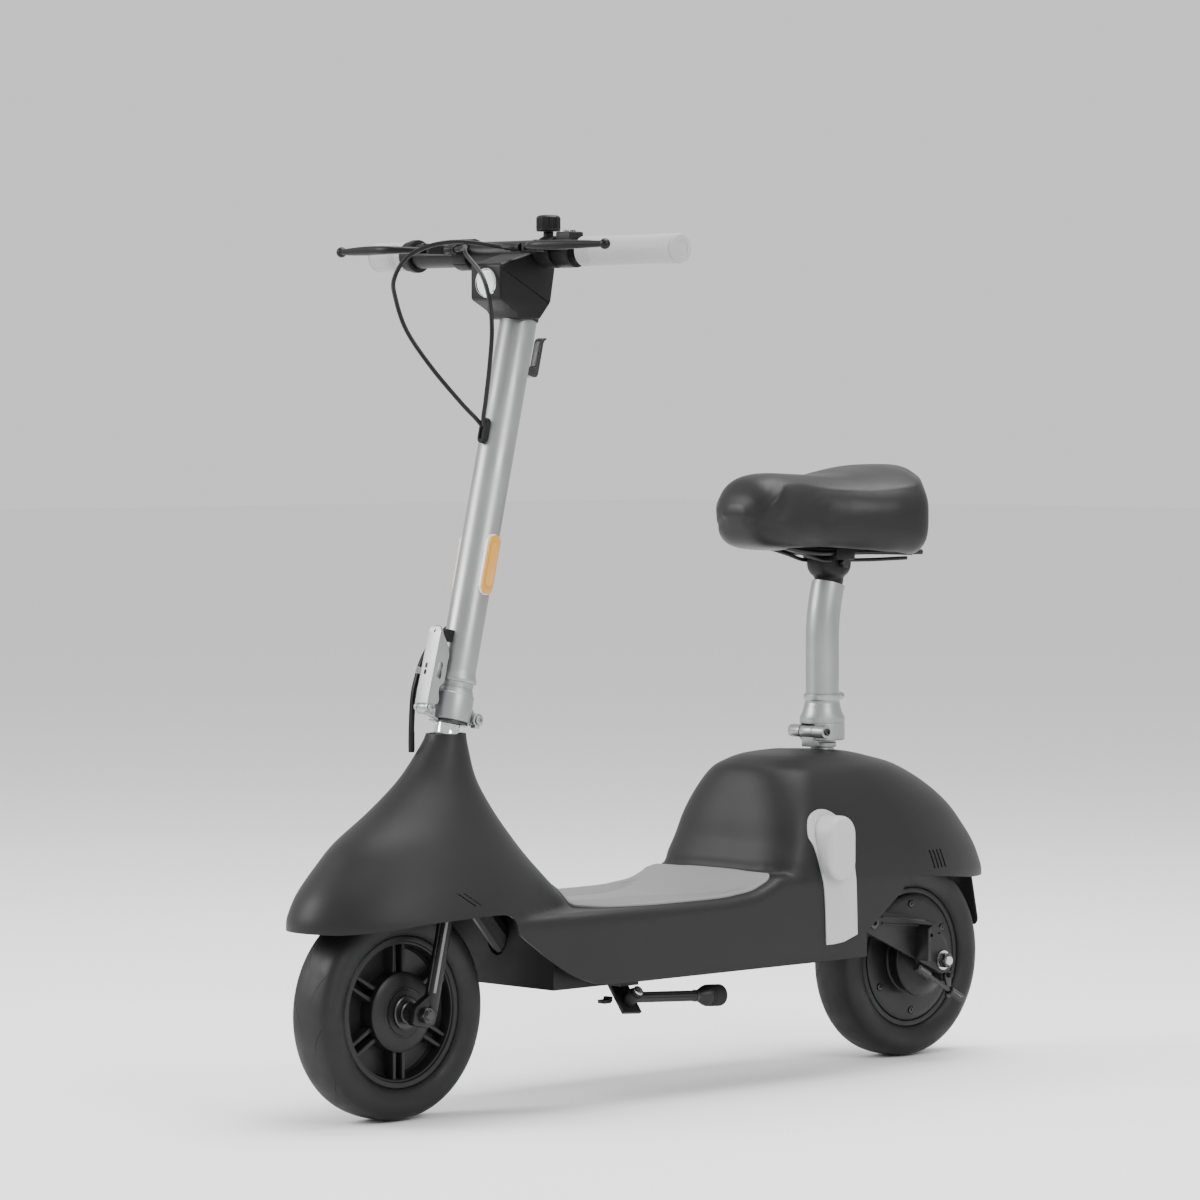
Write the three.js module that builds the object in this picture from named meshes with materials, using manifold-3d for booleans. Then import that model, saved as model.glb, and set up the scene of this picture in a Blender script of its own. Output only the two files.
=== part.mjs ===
// Seated electric scooter: moulded body over a welded frame, folding stem, folding seat post.
// Millimetres, +Z up, front of the scooter towards -Y, rider's left towards +X.
import * as THREE from 'three';
import { mergeVertices } from 'three/addons/utils/BufferGeometryUtils.js';
import Module from 'manifold-3d';

const wasm = await Module();
wasm.setup();

// Shared fits
const fit = 0.3;
const runningGap = 0.4;
const overrun = 6;

// Wheels and layout
const wheelRadius = 127;
const tyreHalfWidth = 33;
const treadHalfWidth = 6;
const wheelbase = 874.5;
const rimRadius = 89;
const beadRadius = 85.5;
const rimHalfWidth = 24.3;
const rimFlange = 3;
const rimInnerRadius = 79;
const axleRadius = 6;
const hubRadius = 27;
const hubHalfLength = 31;
const hubCoverRadius = 47;
const hubCoverThickness = 4;
const spokeThickness = 4;
const webThickness = 6;
const spokeWidth = 17;
const spokeSpread = 7;
const spokePairs = 6;

// Steering axis and fork
const rake = 13.52;
const forkOffset = 16;
const legSpacing = 58;
const legRadius = 9;
const legY = -4;
const legStart = 8;
const lugRadius = 14;
const lugThickness = 11;
const lugTop = 24;
const lugDrop = 11;
const lugRearReach = 7;
const nutHeight = 8;
const nutRadius = 10;
const axleStub = 4;
const crownBottom = 141;
const crownThickness = 17;
const crownFront = 21;
const crownRear = 17;
const crownMargin = 1;
const crownWaist = 19;
const steererRadius = 12.7;
const headTubeRadius = 18;
const headTubeBore = 16;
const headTubeBottom = 168;
const headTubeTop = 329;
const headsetNutRadius = 15;
const headsetLip = 1;

// Stem hinge at the foot of the stem
const hingeSplit = 353.8;
const hingeY = 28.4;
const hingeBarrelRadius = 8;
const hingePinRadius = 3;
const boltHeadRadius = 5.6;
const collarBarrelHalf = 12;
const baseBarrelHalf = 20;
const baseThickness = 3.5;
const lugHalf = 4;
const cupDrop = 7;
const baseRadius = 23;
const collarRadius = 25;
const collarCupHeight = 25;
const collarConeHeight = 7;
const collarNeckRadius = 21.5;
const collarNeckHeight = 5;
const beadRingRadius = 24.5;
const beadRingHeight = 7;
const spigotLength = 40;

// Stem tube
const stemRadius = 22;
const stemWall = 2.5;
const stemTop = 832;

// Stem latch
const latchPivotY = -42;
const latchPivotRise = 1;
const latchBarrelRadius = 6;
const latchBarrelHalf = 14;
const latchHalfWidth = 11;
const latchLength = 98;
const latchDepth = 21;
const latchLean = -2;
const latchWall = 3;
const latchEarHalf = 7;
const latchSlotRise = 45;
const sideSlotWidth = 7;
const sideSlotHeight = 21;
const sideSlotY = 4.5;
const faceSlotWidth = 5;
const faceSlotHeight = 15;
const faceSlotX = -2.7;
const latchEyeRise = 91;
const latchEyeRadius = 1.8;
const catchDepth = 15;
const catchHeight = 15;
const catchHalfWidth = 7;
const catchRise = 89;
const catchWeld = 2;

// Handlebar
const barY = -8.2;
const barAboveStem = 79.1;
const barHalfLength = 262;
const barRadius = 15;
const barEndRadius = 11;
const gripRadius = 17.7;
const gripEndWall = 3;
const leftBlackEnd = 90;
const leftGripStart = 101;
const rightGripLength = 58;
const throttleRoom = 18;
const clampRadius = 19;
const clampWidth = 24;
const leftPerchStart = 34;
const rightPerchStart = 87;
const perchThickness = 12;
const perchBarRise = 5;
const perchNose = 9;
const perchWaist = 38;
const perchEdge = 8;
const perchGate = 12;
const cableStopReach = 43;
const cableStopLength = 16;
const leverPivotReach = 48;
const leverPivotOut = 36;
const leverPivotRadius = 3;
const leverThickness = 7;
const leverRootWidth = 16;
const leverTipWidth = 9;
const leverLength = 132;
const leverForward = 34;
const leverBallRadius = 6.5;
const podStart = 63;
const podWidth = 26;
const podHeight = 9;
const podDepth = 22;
const buttonRadius = 3.6;
const buttonHeight = 2.4;
const buttonTravel = 1.5;
const podWall = 3;
const buttonSpacing = 11;
const throttleWidth = 9;
const throttleRadius = 20;
const throttleThickness = 6;
const throttleReach = 26;
const paddleRoot = 14;
const bellX = 40;
const bellPostRadius = 6;
const bellPostHeight = 5;
const bellRadius = 14.5;
const bellHeight = 20;
const bellBase = 5;

// Head housing
const housingHalfWidth = 27;
const housingFront = 64;
const housingRear = 25;
const housingBrow = 14;
const housingNose = 56;
const housingShelf = 59;
const housingBottom = 79;
const housingChin = 38.4;
const housingChinDrop = 69.2;
const housingToe = 32;
const housingHeel = 17.5;
const housingBackDrop = 18;
const housingBackTop = 12;
const housingNeckRadius = 23.5;
const housingSpigot = 24;
const lensRadius = 17.5;
const lensDepth = 7;
const lensDome = 2.1;
const lensFlatRadius = 13;
const lensDrop = 36;

// Cables, grommet, harness, reflectors, hook
const cableRadius = 2.7;
const cableSides = 6;
const grommetHalfWidth = 6.5;
const grommetHeight = 31;
const grommetDrop = 141;
const grommetDepth = 6;
const harnessRadius = 3.6;
const reflectorHeight = 73;
const reflectorWidth = 20;
const reflectorRise = 535;
const reflectorDepth = 6;
const hookDrop = 62;
const hookHeight = 50;
const hookHalfWidth = 6;
const hookReach = 19;
const hookThickness = 5;
const hookFoot = 11;
const hookLip = 5;

// Body shell
const shellWall = 4;
const neckTop = 446;
const neckRadius = 23.3;
const neckY = 92.5;
const skirtHeight = 236;
const bellCentreY = 55;
const noseReach = 189;
const bellRearReach = 215;
const bellHalfWidth = 109;
const bodyHalfWidth = 120;
const bodyFloor = 148;
const deckHeight = 235;
const deckEdgeRadius = 12;
const deckStart = 60;
const deckEndAhead = 78.5;
const deckRise = 22;
const humpTop = 401;
const humpFrontAhead = 329.5;
const humpFoot = 240;
const humpRearBehind = 123.5;
const humpPeakAhead = 204.5;
const seatAhead = 138.5;
const humpBack = 20;
const humpCornerShare = 0.62;
const humpFootPower = 3.4;
const humpTopPower = 2.4;
const noseLip = 226;
const frontEdgeY = 92;
const frontEdgeHeight = 239;
const floorStartY = 240;
const floorEndAhead = 184.5;
const rearStepHeight = 179;
const archAhead = 103.5;
const archHeight = 245;
const tailEdgeHeight = 229;
const ventWidth = 2.8;
const frontVentY = 19;
const frontVentBottom = 253;
const frontVentHeight = 15;
const frontVentLean = 22;
const frontVentPitch = 9;
const frontVents = 2;
const rearVentAhead = 66.5;
const rearVentBottom = 250;
const rearVentHeight = 23;
const rearVentLean = 8;
const rearVentPitch = 7.6;
const rearVents = 4;

// Deck mat, side strips, charging cover
const matThickness = 3;
const matMargin = 14;
const matFront = 240;
const matRearAhead = 333.5;
const matFrontHalfWidth = 48;
const matShoulderY = 330;
const matCornerRadius = 18;
const stripThickness = 1.5;
const stripFrontAhead = 280.5;
const stripRearAhead = 203.5;
const stripTop = 336;
const stripBottom = 168;
const coverAhead = 246.5;
const coverZ = 287;
const coverWidth = 48;
const coverHeight = 80;
const coverStand = 19;
const coverBevel = 5;
const socketRadius = 13;
const socketRecessRadius = 9;
const socketRecess = 9;
const socketDepth = 22;
const socketFlange = 19;
const socketFlangeThickness = 3;

// Welded frame, battery, belly pan
const beamX = 66;
const beamWidth = 18;
const beamHeight = 30;
const beamTop = 196;
const beamFrontY = 186;
const beamRearAhead = 122.5;
const downTubeRadius = 16;
const downTubeTopRise = 215;
const crossTubeRadius = 11;
const seatTubeRadius = 17;
const seatTubeBottom = 212;
const seatTubeTop = 380;
const seatBridgeAhead = 158.5;
const seatStayAhead = 184.5;
const pawRadius = 15;
const batteryHalfWidth = 50;
const batteryFrontY = 236;
const batteryRearAhead = 308.5;
const batteryTop = 222;
const batteryEdge = 8;
const controllerHalfWidth = 48;
const controllerFrontAhead = 294.5;
const controllerRearAhead = 202.5;
const controllerTop = 188;
const controllerFins = 6;
const finHeight = 6;
const finThickness = 3;
const panBottom = 144;
const panMargin = 23;
const panFrontY = 174;
const panRearAhead = 188.5;
const panWall = 3;
const panFrontHeight = 226;
const panFlangeMargin = 5;
const panFlangeFrontY = 250;
const panTubeRoom = 3;
const panBossRadius = 7;
const panBossFrontY = 262;
const panBossRearAhead = 234.5;

// Rear fork arms, axle, drum brake
const armX = 78;
const armThickness = 5;
const armRootAhead = 132.5;
const armRootZ = 184;
const armRootRadius = 15;
const armGussetLift = 10;
const armEndRadius = 17;
const armGussetAhead = 12.5;
const armGussetZ = 176;
const armBoltRadius = 8;
const armBoltHeight = 5;
const motorCoverRadius = 80;
const motorCoverStep = 2.5;
const motorHalfWidth = 25.5;
const coverScrewRadius = 4;
const coverScrewCircle = 68;
const coverScrews = 6;
const coverScrewHeight = 2;
const drumRadius = 44;
const drumWidth = 16;
const brakePlateRadius = 49;
const brakePlateWidth = 9;
const camForward = 18;
const camDrop = 21;
const brakeArmLength = 30;
const brakeArmWidth = 12;
const camBossRadius = 9;
const brakeArmThickness = 4;
const brakeArmX = 70;
const brakeRodRadius = 3;
const cableTab = 5;
const adjusterRadius = 5.5;
const adjusterLength = 26;
const brakeRodX = 92;
const brakeRodStartAhead = 62.5;
const brakeRodStartZ = 124;
const brakeRodEndBehind = 22.5;
const brakeRodEndZ = 77;
const rearAxleEnd = 93;

// Mudflap
const flapHalfWidth = 26;
const flapBossRadius = 6.4;
const flapBossDrop = 12.8;
const flapThickness = 3;
const flapTopBehind = 108.5;
const flapTopZ = 250;
const flapBottomBehind = 128.5;
const flapBottomZ = 158;

// Kickstand
const standMargin = 30;
const standY = 310;
const standZ = 125;
const standLegRadius = 6.5;
const standBarrelRadius = 8.5;
const standBarrelLength = 17;
const standPinRadius = 4;
const standPlate = 4;
const standPlateWidth = 30;
const standFootStart = 128;
const standFootLength = 26;
const standFootEdge = 5.2;
const standHeadRadius = 6.8;
const standFootRadius = 13.5;
const standFlareLength = 20;
const standFootPadLength = 52;
const standPadThickness = 5;
const stowedShares = [0, 1, -0.06];
const deployedShares = [0.62, -0.15, -0.74];

// Seat post and its fold hinge
const seatBarrelY = 24;
const seatBarrelZ = 421.5;
const seatBarrelRadius = 8;
const seatBarrelWeb = 6;
const seatCollarWeb = 24;
const seatCollarWebDrop = 5;
const seatBarrelHalf = 30;
const seatKnuckleHalf = 11;
const seatSleeveRadius = 17.5;
const seatSleeveTopRadius = 14.5;
const seatFlangeBottom = 401;
const seatFlangeTop = 407.5;
const seatFlangeRadius = 18;
const seatTaper = 6;
const seatCollarBottom = 410;
const seatCollarRadius = 28.5;
const seatCollarHeight = 30;
const seatConeTop = 456;
const seatConeRadius = 22.5;
const seatBeadBottom = 460;
const seatBeadTop = 468;
const seatBeadRadius = 23.7;
const seatPostRadius = 21;
const seatPostWall = 2.5;
const seatBendZ = 536;
const seatPostTopZ = 610;
const seatPostTopShift = 12;
const lockPinRadius = 3.4;
const lockPinReach = 14;
const lockKnobRadius = 5;
const lockKnobLength = 6;

// Seat clamp, rails and saddle
const clampTop = 640;
const clampBlockHalfX = 19;
const clampBlockHalfY = 31;
const clampPlugLength = 18;
const clampGripHalfY = 17;
const clampGripWall = 4;
const railRadius = 3.5;
const railHalfX = 23;
const railHeight = 646;
const railFront = 105;
const railRear = 98;
const railFrontRise = 12;
const railNoseHalf = 16;
const railNoseRadius = 4.9;
const railTailHalf = 64.4;
const railTailReach = 84.3;
const railPostX = 50.6;
const railPostRadius = 7;
const saddlePanThickness = 5;
const saddlePanBottom = 663;
const saddleBottom = 636;
const saddleTop = 757;
const saddleNoseY = -161;
const saddleTailY = 131;
const saddleHalfWidth = 115;
const saddlePanMargin = 22;
const saddlePanNose = 58;
const saddlePanTail = 26;

// Routes of the brake cables from the middle of the bar, and of the harness from the ground under the axle
const leftCableRoute = [
  [21.6, -43.2, 5], [14, -43.4, 5.2], [0, -46.6, 7.5], [-37.1, -70.6, 12.7], [-65.5, -92.6, 8.1],
  [-88, -110.6, -6.6], [-98.1, -120.6, -30.8], [-92, -124.6, -52.2], [-74.9, -122.6, -91.4],
  [-46.1, -110.6, -134],
  [-17.9, -88.6, -176.4], [-4, -72.6, -199], [-3.4, -62.6, -211],
];
const rightCableRoute = [
  [-74.6, -43.2, 5], [-67, -43.4, 5.2], [-52, -48.6, 7.5], [-26.8, -70.6, -2], [8.7, -78.6, -27],
  [26.1, -82.6, -56.9], [32.7, -84.6, -92.2], [25.4, -81.6, -134.2], [12, -75.6, -176.4],
  [4, -71.6, -199],
  [3.4, -62.6, -211],
];
const harnessRoute = [
  [-16, 118, 574], [-22, 104, 561], [-24, 88, 546.5], [-24, 76, 529], [-24, 67.7, 508.5], [-24, 62.9, 491],
  [-24, 60.5, 465], [-24, 59.5, 438], [-24, 59.7, 424],
];

// Share tables
const noseEdgeShares = [[0.1, 0], [0.3, 0.35], [0.55, 0.85], [1, 1]];
const frontSweepShares = [[0.095, 0.24], [0.3, 0.49], [0.45, 0.65], [0.595, 0.8], [0.74, 0.9],
  [0.88, 0.97], [1, 1]];
const archShares = [[0, 0], [0.815, 0.7], [1, 1]];
const tailEdgeShares = [[0.25, 0.35], [0.6, 0.8], [1, 1]];
const matSideShares = [[0.4, 0.1], [0.7, 0.28], [0.9, 0.6], [1, 1]];
const stripShares = [
  [0.68, 0.01], [1, 0.055], [0.97, 0.45], [0.93, 0.7], [0.8, 0.88], [0.55, 0.97], [0.3, 0.985],
  [0.08, 0.93], [0, 0.8],
  [0.08, 0.71], [0.23, 0.4], [0.28, 0], [0.45, 0],
];
const tyreSideShares = [[0.16, 0.62], [0.45, 1], [0.72, 0.84], [0.92, 0.5]];
const latchRearShares = [[0, 0.04], [0.44, 0.1], [0.19, 0.25], [0.68, 0.36], [0.68, 0.56], [0.72, 0.67],
  [0.4, 0.765], [0.05, 0.83], [-0.45, 0.92], [-0.37, 1]];
const latchFrontShares = [[1, 1], [0.7, 0.97], [0.45, 0.9], [0, 0.04]];
const latchFaceShares = [[0, -0.2], [1, 1.2]];
const latchBackShares = [[1, 1.2], [0, -0.2]];
const railShares = [[0.6, -1.03, 1], [0.8, -0.75, 0.4], [1, -0.4, 0], [1, 0, 0], [1.2, 0.45, 0],
  [2.6, 0.8, 0], [3, 1, 0]];
const leverSpineShares = [[0, 0], [0.09, -0.6], [0.24, -1], [0.45, -0.97], [0.72, -0.76], [1, -0.5]];
const bellHeightShares = [1, 0.92, 0.748, 0.576, 0.419, 0.295, 0.157, 0.062, 0];
const bellCentreShares = [1, 0.9, 0.64, 0.347, 0.08, 0, 0, 0, 0];
const bellFrontShares = [0, 0.045, 0.167, 0.366, 0.605, 0.747, 0.903, 0.972, 1];
const bellRearShares = [0, 0.035, 0.134, 0.306, 0.499, 0.64, 0.807, 0.93, 1];
const bellWidthShares = [0, 0.05, 0.195, 0.405, 0.603, 0.755, 0.895, 0.965, 1];
const humpHeightShares = [1, 0.975, 0.913, 0.845, 0.702, 0.522, 0.329, 0.174, 0];
const humpFrontShares = [0.9, 0.51, 0.33, 0.26, 0.19, 0.12, 0.065, 0, 0];
const humpRearShares = [0.03, 0.26, 0.42, 0.54, 0.686, 0.817, 0.908, 0.962, 1];
const humpWidthShares = [0.2, 0.4, 0.555, 0.67, 0.79, 0.885, 0.945, 0.98, 1];
const deckRunShares = [0, 0.15, 0.27, 0.5, 0.56, 0.6, 0.645, 0.68, 1];
const deckRiseShares = [0, 0, 0, 0, 0.12, 0.3, 0.85, 1, 1];
const deckWidthShares = [0, 0.5, 0.9, 1, 1, 1, 1, 1, 1];
const saddleRunShares = [0, 0.03, 0.085, 0.18, 0.32, 0.44, 0.56, 0.68, 0.8, 0.9, 0.96, 1];
const saddleWidthShares = [0.17, 0.35, 0.455, 0.525, 0.575, 0.695, 0.86, 0.98, 1, 0.76, 0.58, 0.28];
const saddleTopShares = [0.6, 0.74, 0.87, 0.915, 0.9, 0.89, 0.9, 0.945, 0.99, 1, 0.99, 0.91];
const saddleFloorShares = [0.4, 0.24, 0.15, 0.12, 0.12, 0.1, 0.06, 0.02, 0, 0.128, 0.24, 0.42];

// Counts
const roundSides = 14;
const smallSides = 8;
const tubeSides = 20;
const wheelSides = 28;
const ringSides = 24;
const saddleSides = 22;
const cornerSteps = 3;
const cableSteps = 22;
const harnessSteps = 9;
const railSteps = 9;
const seatPostSteps = 6;
const saddleCrownSquare = { across: 0.8, up: 0.9 };
const saddleSkirtSquare = { across: 0.55, up: 0.5 };

// Worked out from the sizes above
const rakeAngle = THREE.MathUtils.degToRad(rake);
const rideFrame = { y: forkOffset * Math.cos(rakeAngle),
  z: wheelRadius - forkOffset * Math.sin(rakeAngle) };
const noseY = bellCentreY - noseReach;
const rearAxleY = wheelbase;
const humpFront = rearAxleY - humpFrontAhead;
const humpRear = rearAxleY + humpRearBehind;
const humpPeakY = rearAxleY - humpPeakAhead;
const seatY = rearAxleY - seatAhead;
const deckEnd = rearAxleY - deckEndAhead;
const floorEndY = rearAxleY - floorEndAhead;
const archY = rearAxleY - archAhead;
const rearVentY = rearAxleY - rearVentAhead;
const matRear = rearAxleY - matRearAhead;
const stripFrontY = rearAxleY - stripFrontAhead;
const stripRearY = rearAxleY - stripRearAhead;
const coverY = rearAxleY - coverAhead;
const beamRearY = rearAxleY - beamRearAhead;
const seatBridgeY = rearAxleY - seatBridgeAhead;
const seatStayY = rearAxleY - seatStayAhead;
const batteryRearY = rearAxleY - batteryRearAhead;
const controllerFrontY = rearAxleY - controllerFrontAhead;
const controllerRearY = rearAxleY - controllerRearAhead;
const panRearY = rearAxleY - panRearAhead;
const panBossRearY = rearAxleY - panBossRearAhead;
const armRootY = rearAxleY - armRootAhead;
const armGussetY = rearAxleY - armGussetAhead;
const brakeRodStartY = rearAxleY - brakeRodStartAhead;
const brakeRodEndY = rearAxleY + brakeRodEndBehind;
const flapTopY = rearAxleY + flapTopBehind;
const flapBottomY = rearAxleY + flapBottomBehind;
const tailY = flapBottomY + flapThickness;
const coverFace = bodyHalfWidth + coverStand;
const matHalfWidth = bodyHalfWidth - matMargin;
const panHalfWidth = bodyHalfWidth - panMargin;
const panFlangeHalfWidth = bodyHalfWidth - panFlangeMargin;
const standX = bodyHalfWidth - standMargin;
const baseTop = hingeSplit - cupDrop;
const barRise = stemTop + barAboveStem;
const hookRise = stemTop - hookDrop;
const grommetRise = stemTop - grommetDrop;
const rightGripStart = barHalfLength - rightGripLength;
const rightBlackEnd = rightGripStart - throttleRoom;
const seatSleeveBottom = seatTubeTop + fit;
const batteryBottom = panBottom + panWall + fit;
const controllerBottom = batteryBottom;

// Geometry helpers

function faceOut(geometry) {
  const p = geometry.attributes.position;
  const index = geometry.index.array;
  const a = new THREE.Vector3(), b = new THREE.Vector3(), c = new THREE.Vector3();
  let volume = 0;
  for (let i = 0; i < index.length; i += 3) {
    a.fromBufferAttribute(p, index[i]);
    b.fromBufferAttribute(p, index[i + 1]);
    c.fromBufferAttribute(p, index[i + 2]);
    volume += a.dot(b.cross(c));
  }
  if (volume < 0) {
    for (let i = 0; i < index.length; i += 3) [index[i], index[i + 1]] = [index[i + 1], index[i]];
  }
  return geometry;
}

// One closed skin: shared corners merged, slivers of no area dropped, faces turned outwards.
function closed(geometry) {
  const bare = geometry.clone();
  bare.deleteAttribute('normal');
  bare.deleteAttribute('uv');
  const merged = mergeVertices(bare);
  const kept = [];
  const index = merged.index.array;
  for (let i = 0; i < index.length; i += 3) {
    const [a, b, c] = [index[i], index[i + 1], index[i + 2]];
    if (a !== b && b !== c && c !== a) kept.push(a, b, c);
  }
  merged.setIndex(new THREE.BufferAttribute(new Uint32Array(kept), 1));
  return faceOut(merged);
}

function solid(geometry) {
  const skin = closed(geometry);
  return new wasm.Manifold(new wasm.Mesh({
    numProp: 3,
    vertProperties: skin.attributes.position.array,
    triVerts: skin.index.array,
  }));
}

function geometryOf(manifold) {
  const mesh = manifold.getMesh();
  const geometry = new THREE.BufferGeometry();
  geometry.setAttribute('position', new THREE.BufferAttribute(mesh.vertProperties, 3));
  geometry.setIndex(new THREE.BufferAttribute(mesh.triVerts, 1));
  return geometry;
}

function join(...geometries) {
  return geometryOf(geometries.map(solid).reduce((a, b) => a.add(b)));
}

function cut(geometry, ...tools) {
  return geometryOf(tools.map(solid).reduce((a, b) => a.subtract(b), solid(geometry)));
}

function common(a, b) {
  return geometryOf(solid(a).intersect(solid(b)));
}

function along(axis, geometry, at) {
  if (axis === 'x') geometry.rotateZ(-Math.PI / 2);
  if (axis === 'z') geometry.rotateX(Math.PI / 2);
  return geometry.translate(...at);
}

function rod(axis, radius, length, at = [0, 0, 0], sides = roundSides) {
  return along(axis, new THREE.CylinderGeometry(radius, radius, length, sides), at);
}

function hexagon(axis, radius, length, at) {
  return rod(axis, radius, length, at, 6);
}

function ball(radius, at) {
  return new THREE.SphereGeometry(radius, smallSides, smallSides / 2).translate(...at);
}

function block(width, depth, height, at = [0, 0, 0]) {
  return new THREE.BoxGeometry(width, depth, height).translate(...at);
}

// A block given by its corners.
function span(x, y, z) {
  return block(x[1] - x[0], y[1] - y[0], z[1] - z[0], [(x[0] + x[1]) / 2, (y[0] + y[1]) / 2,
    (z[0] + z[1]) / 2]);
}

// Profile points are [radius, place along the axis].
function lathed(axis, profile, at = [0, 0, 0], sides = roundSides) {
  const points = profile.map(([r, h]) => new THREE.Vector2(r, h));
  return along(axis, new THREE.LatheGeometry(points, sides), at);
}

function extruded(outline, depth) {
  const shape = new THREE.Shape(outline.map(([u, v]) => new THREE.Vector2(u, v)));
  return new THREE.ExtrudeGeometry(shape, { depth, bevelEnabled: false });
}

// Outline in Y and Z, from one X to another.
function sidePlate(outline, from, to) {
  const turn = new THREE.Matrix4().makeBasis(
    new THREE.Vector3(0, 1, 0), new THREE.Vector3(0, 0, 1), new THREE.Vector3(1, 0, 0));
  return extruded(outline, to - from).applyMatrix4(turn).translate(from, 0, 0);
}

// Outline in X and Y, from one Z to another.
function planPlate(outline, from, to) {
  return extruded(outline, to - from).translate(0, 0, from);
}

// Outline in X and Z, from one Y to another.
function facePlate(outline, from, to) {
  const turn = new THREE.Matrix4().makeBasis(
    new THREE.Vector3(1, 0, 0), new THREE.Vector3(0, 0, 1), new THREE.Vector3(0, -1, 0));
  return extruded(outline, to - from).applyMatrix4(turn).translate(0, to, 0);
}

function arc(centre, radius, fromDegrees, toDegrees, steps) {
  const points = [];
  for (let i = 0; i <= steps; i++) {
    const angle = THREE.MathUtils.degToRad(fromDegrees + (toDegrees - fromDegrees) * i / steps);
    points.push([centre[0] + radius * Math.cos(angle), centre[1] + radius * Math.sin(angle)]);
  }
  return points;
}

// A slot with round ends, standing upright about its centre.
function stadium(width, height, centre = [0, 0], steps = 6) {
  const lift = (height - width) / 2;
  return [
    ...arc([centre[0], centre[1] + lift], width / 2, 0, 180, steps),
    ...arc([centre[0], centre[1] - lift], width / 2, 180, 360, steps),
  ];
}

function pipe(points, radius, sides, steps, bore = 0) {
  const path = new THREE.CatmullRomCurve3(points.map((p) => new THREE.Vector3(...p)), false,
    'centripetal');
  const shape = new THREE.Shape(arc([0, 0], radius, 0, 360, sides).slice(1).map((p) =>
    new THREE.Vector2(...p)));
  if (bore) {
    const hole = arc([0, 0], bore, 360, 0, sides).slice(1).map((p) => new THREE.Vector2(...p));
    shape.holes.push(new THREE.Path(hole));
  }
  return new THREE.ExtrudeGeometry(shape, { steps, extrudePath: path });
}

// A rod between two points.
function strut(a, b, radius, sides = smallSides) {
  const from = new THREE.Vector3(...a);
  const to = new THREE.Vector3(...b);
  const rise = to.clone().sub(from);
  const geometry = new THREE.CylinderGeometry(radius, radius, rise.length(), sides);
  geometry.applyQuaternion(new THREE.Quaternion().setFromUnitVectors(
    new THREE.Vector3(0, 1, 0), rise.clone().normalize()));
  return geometry.translate(...from.add(to).multiplyScalar(0.5).toArray());
}

// A closed skin over a stack of rings that all have the same number of points.
function skin(rings) {
  const count = rings[0].length;
  const middle = (ring) => ring.reduce((sum, p) => sum.add(p), new THREE.Vector3()).divideScalar(count);
  const corners = rings.flat();
  const first = corners.push(middle(rings[0])) - 1;
  const last = corners.push(middle(rings[rings.length - 1])) - 1;
  const index = [];
  for (let i = 0; i < count; i++) {
    const next = (i + 1) % count;
    index.push(first, next, i);
    for (let k = 0; k + 1 < rings.length; k++) {
      const row = k * count;
      index.push(row + i, row + next, row + count + i);
      index.push(row + next, row + count + next, row + count + i);
    }
    const top = (rings.length - 1) * count;
    index.push(last, top + i, top + next);
  }
  const geometry = new THREE.BufferGeometry();
  geometry.setAttribute('position',
    new THREE.BufferAttribute(new Float32Array(corners.flatMap((p) => p.toArray())), 3));
  geometry.setIndex(new THREE.BufferAttribute(new Uint32Array(index), 1));
  return faceOut(geometry);
}

const lerp = THREE.MathUtils.lerp;

// The body's outer form. An inset of the wall gives the hollow inside it, a negative one what lies on it.

// A level ring: squarish in front where power is high, half an ellipse behind.
function levelRing(z, front, frontLength, rear, rearLength, halfWidth, power) {
  const ring = [];
  for (let i = 0; i < ringSides; i++) {
    const angle = 2 * Math.PI * i / ringSides;
    const c = Math.cos(angle), s = Math.sin(angle);
    const bend = c < 0 ? 2 / power : 1;
    const x = halfWidth * Math.sign(s) * Math.abs(s) ** bend;
    const reach = Math.abs(c) ** bend;
    const y = c < 0 ? front + frontLength - frontLength * reach : rear - rearLength + rearLength * reach;
    ring.push(new THREE.Vector3(x, y, z));
  }
  return ring;
}

function frontBell(inset, lift) {
  const rings = bellHeightShares.map((share, i) => {
    const centre = lerp(bellCentreY, neckY, bellCentreShares[i]);
    const ahead = lerp(neckRadius, noseReach, bellFrontShares[i]) - inset;
    const behind = lerp(neckRadius, bellRearReach, bellRearShares[i]) - inset;
    const wide = lerp(neckRadius, bellHalfWidth, bellWidthShares[i]) - inset;
    return levelRing(lerp(skirtHeight, neckTop, share), centre - ahead, ahead, centre + behind, behind,
      wide, 2);
  });
  rings.push(rings[rings.length - 1].map((p) => new THREE.Vector3(p.x, p.y, bodyFloor - overrun)));
  if (lift) rings.unshift(rings[0].map((p) => new THREE.Vector3(p.x, p.y, neckTop + overrun)));
  return skin(rings);
}

function rearHump(inset) {
  const frontCorner = bodyHalfWidth / 2;
  const rings = humpHeightShares.map((share, i) => {
    const front = lerp(humpFront, humpPeakY + humpBack, humpFrontShares[i]) + inset;
    const rear = lerp(humpPeakY, humpRear, humpRearShares[i]) - inset;
    const frontLength = Math.min(frontCorner, (rear - front) / 2);
    const rearLength = Math.min((humpRear - humpPeakY) * humpCornerShare, (rear - front) / 2);
    const z = lerp(humpFoot, humpTop, share) - inset * share;
    const wide = bodyHalfWidth * humpWidthShares[i] - inset;
    return levelRing(z, front, frontLength, rear, rearLength, wide,
      lerp(humpFootPower, humpTopPower, share));
  });
  rings.push(rings[rings.length - 1].map((p) => new THREE.Vector3(p.x, p.y, bodyFloor - overrun)));
  return skin(rings);
}

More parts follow.
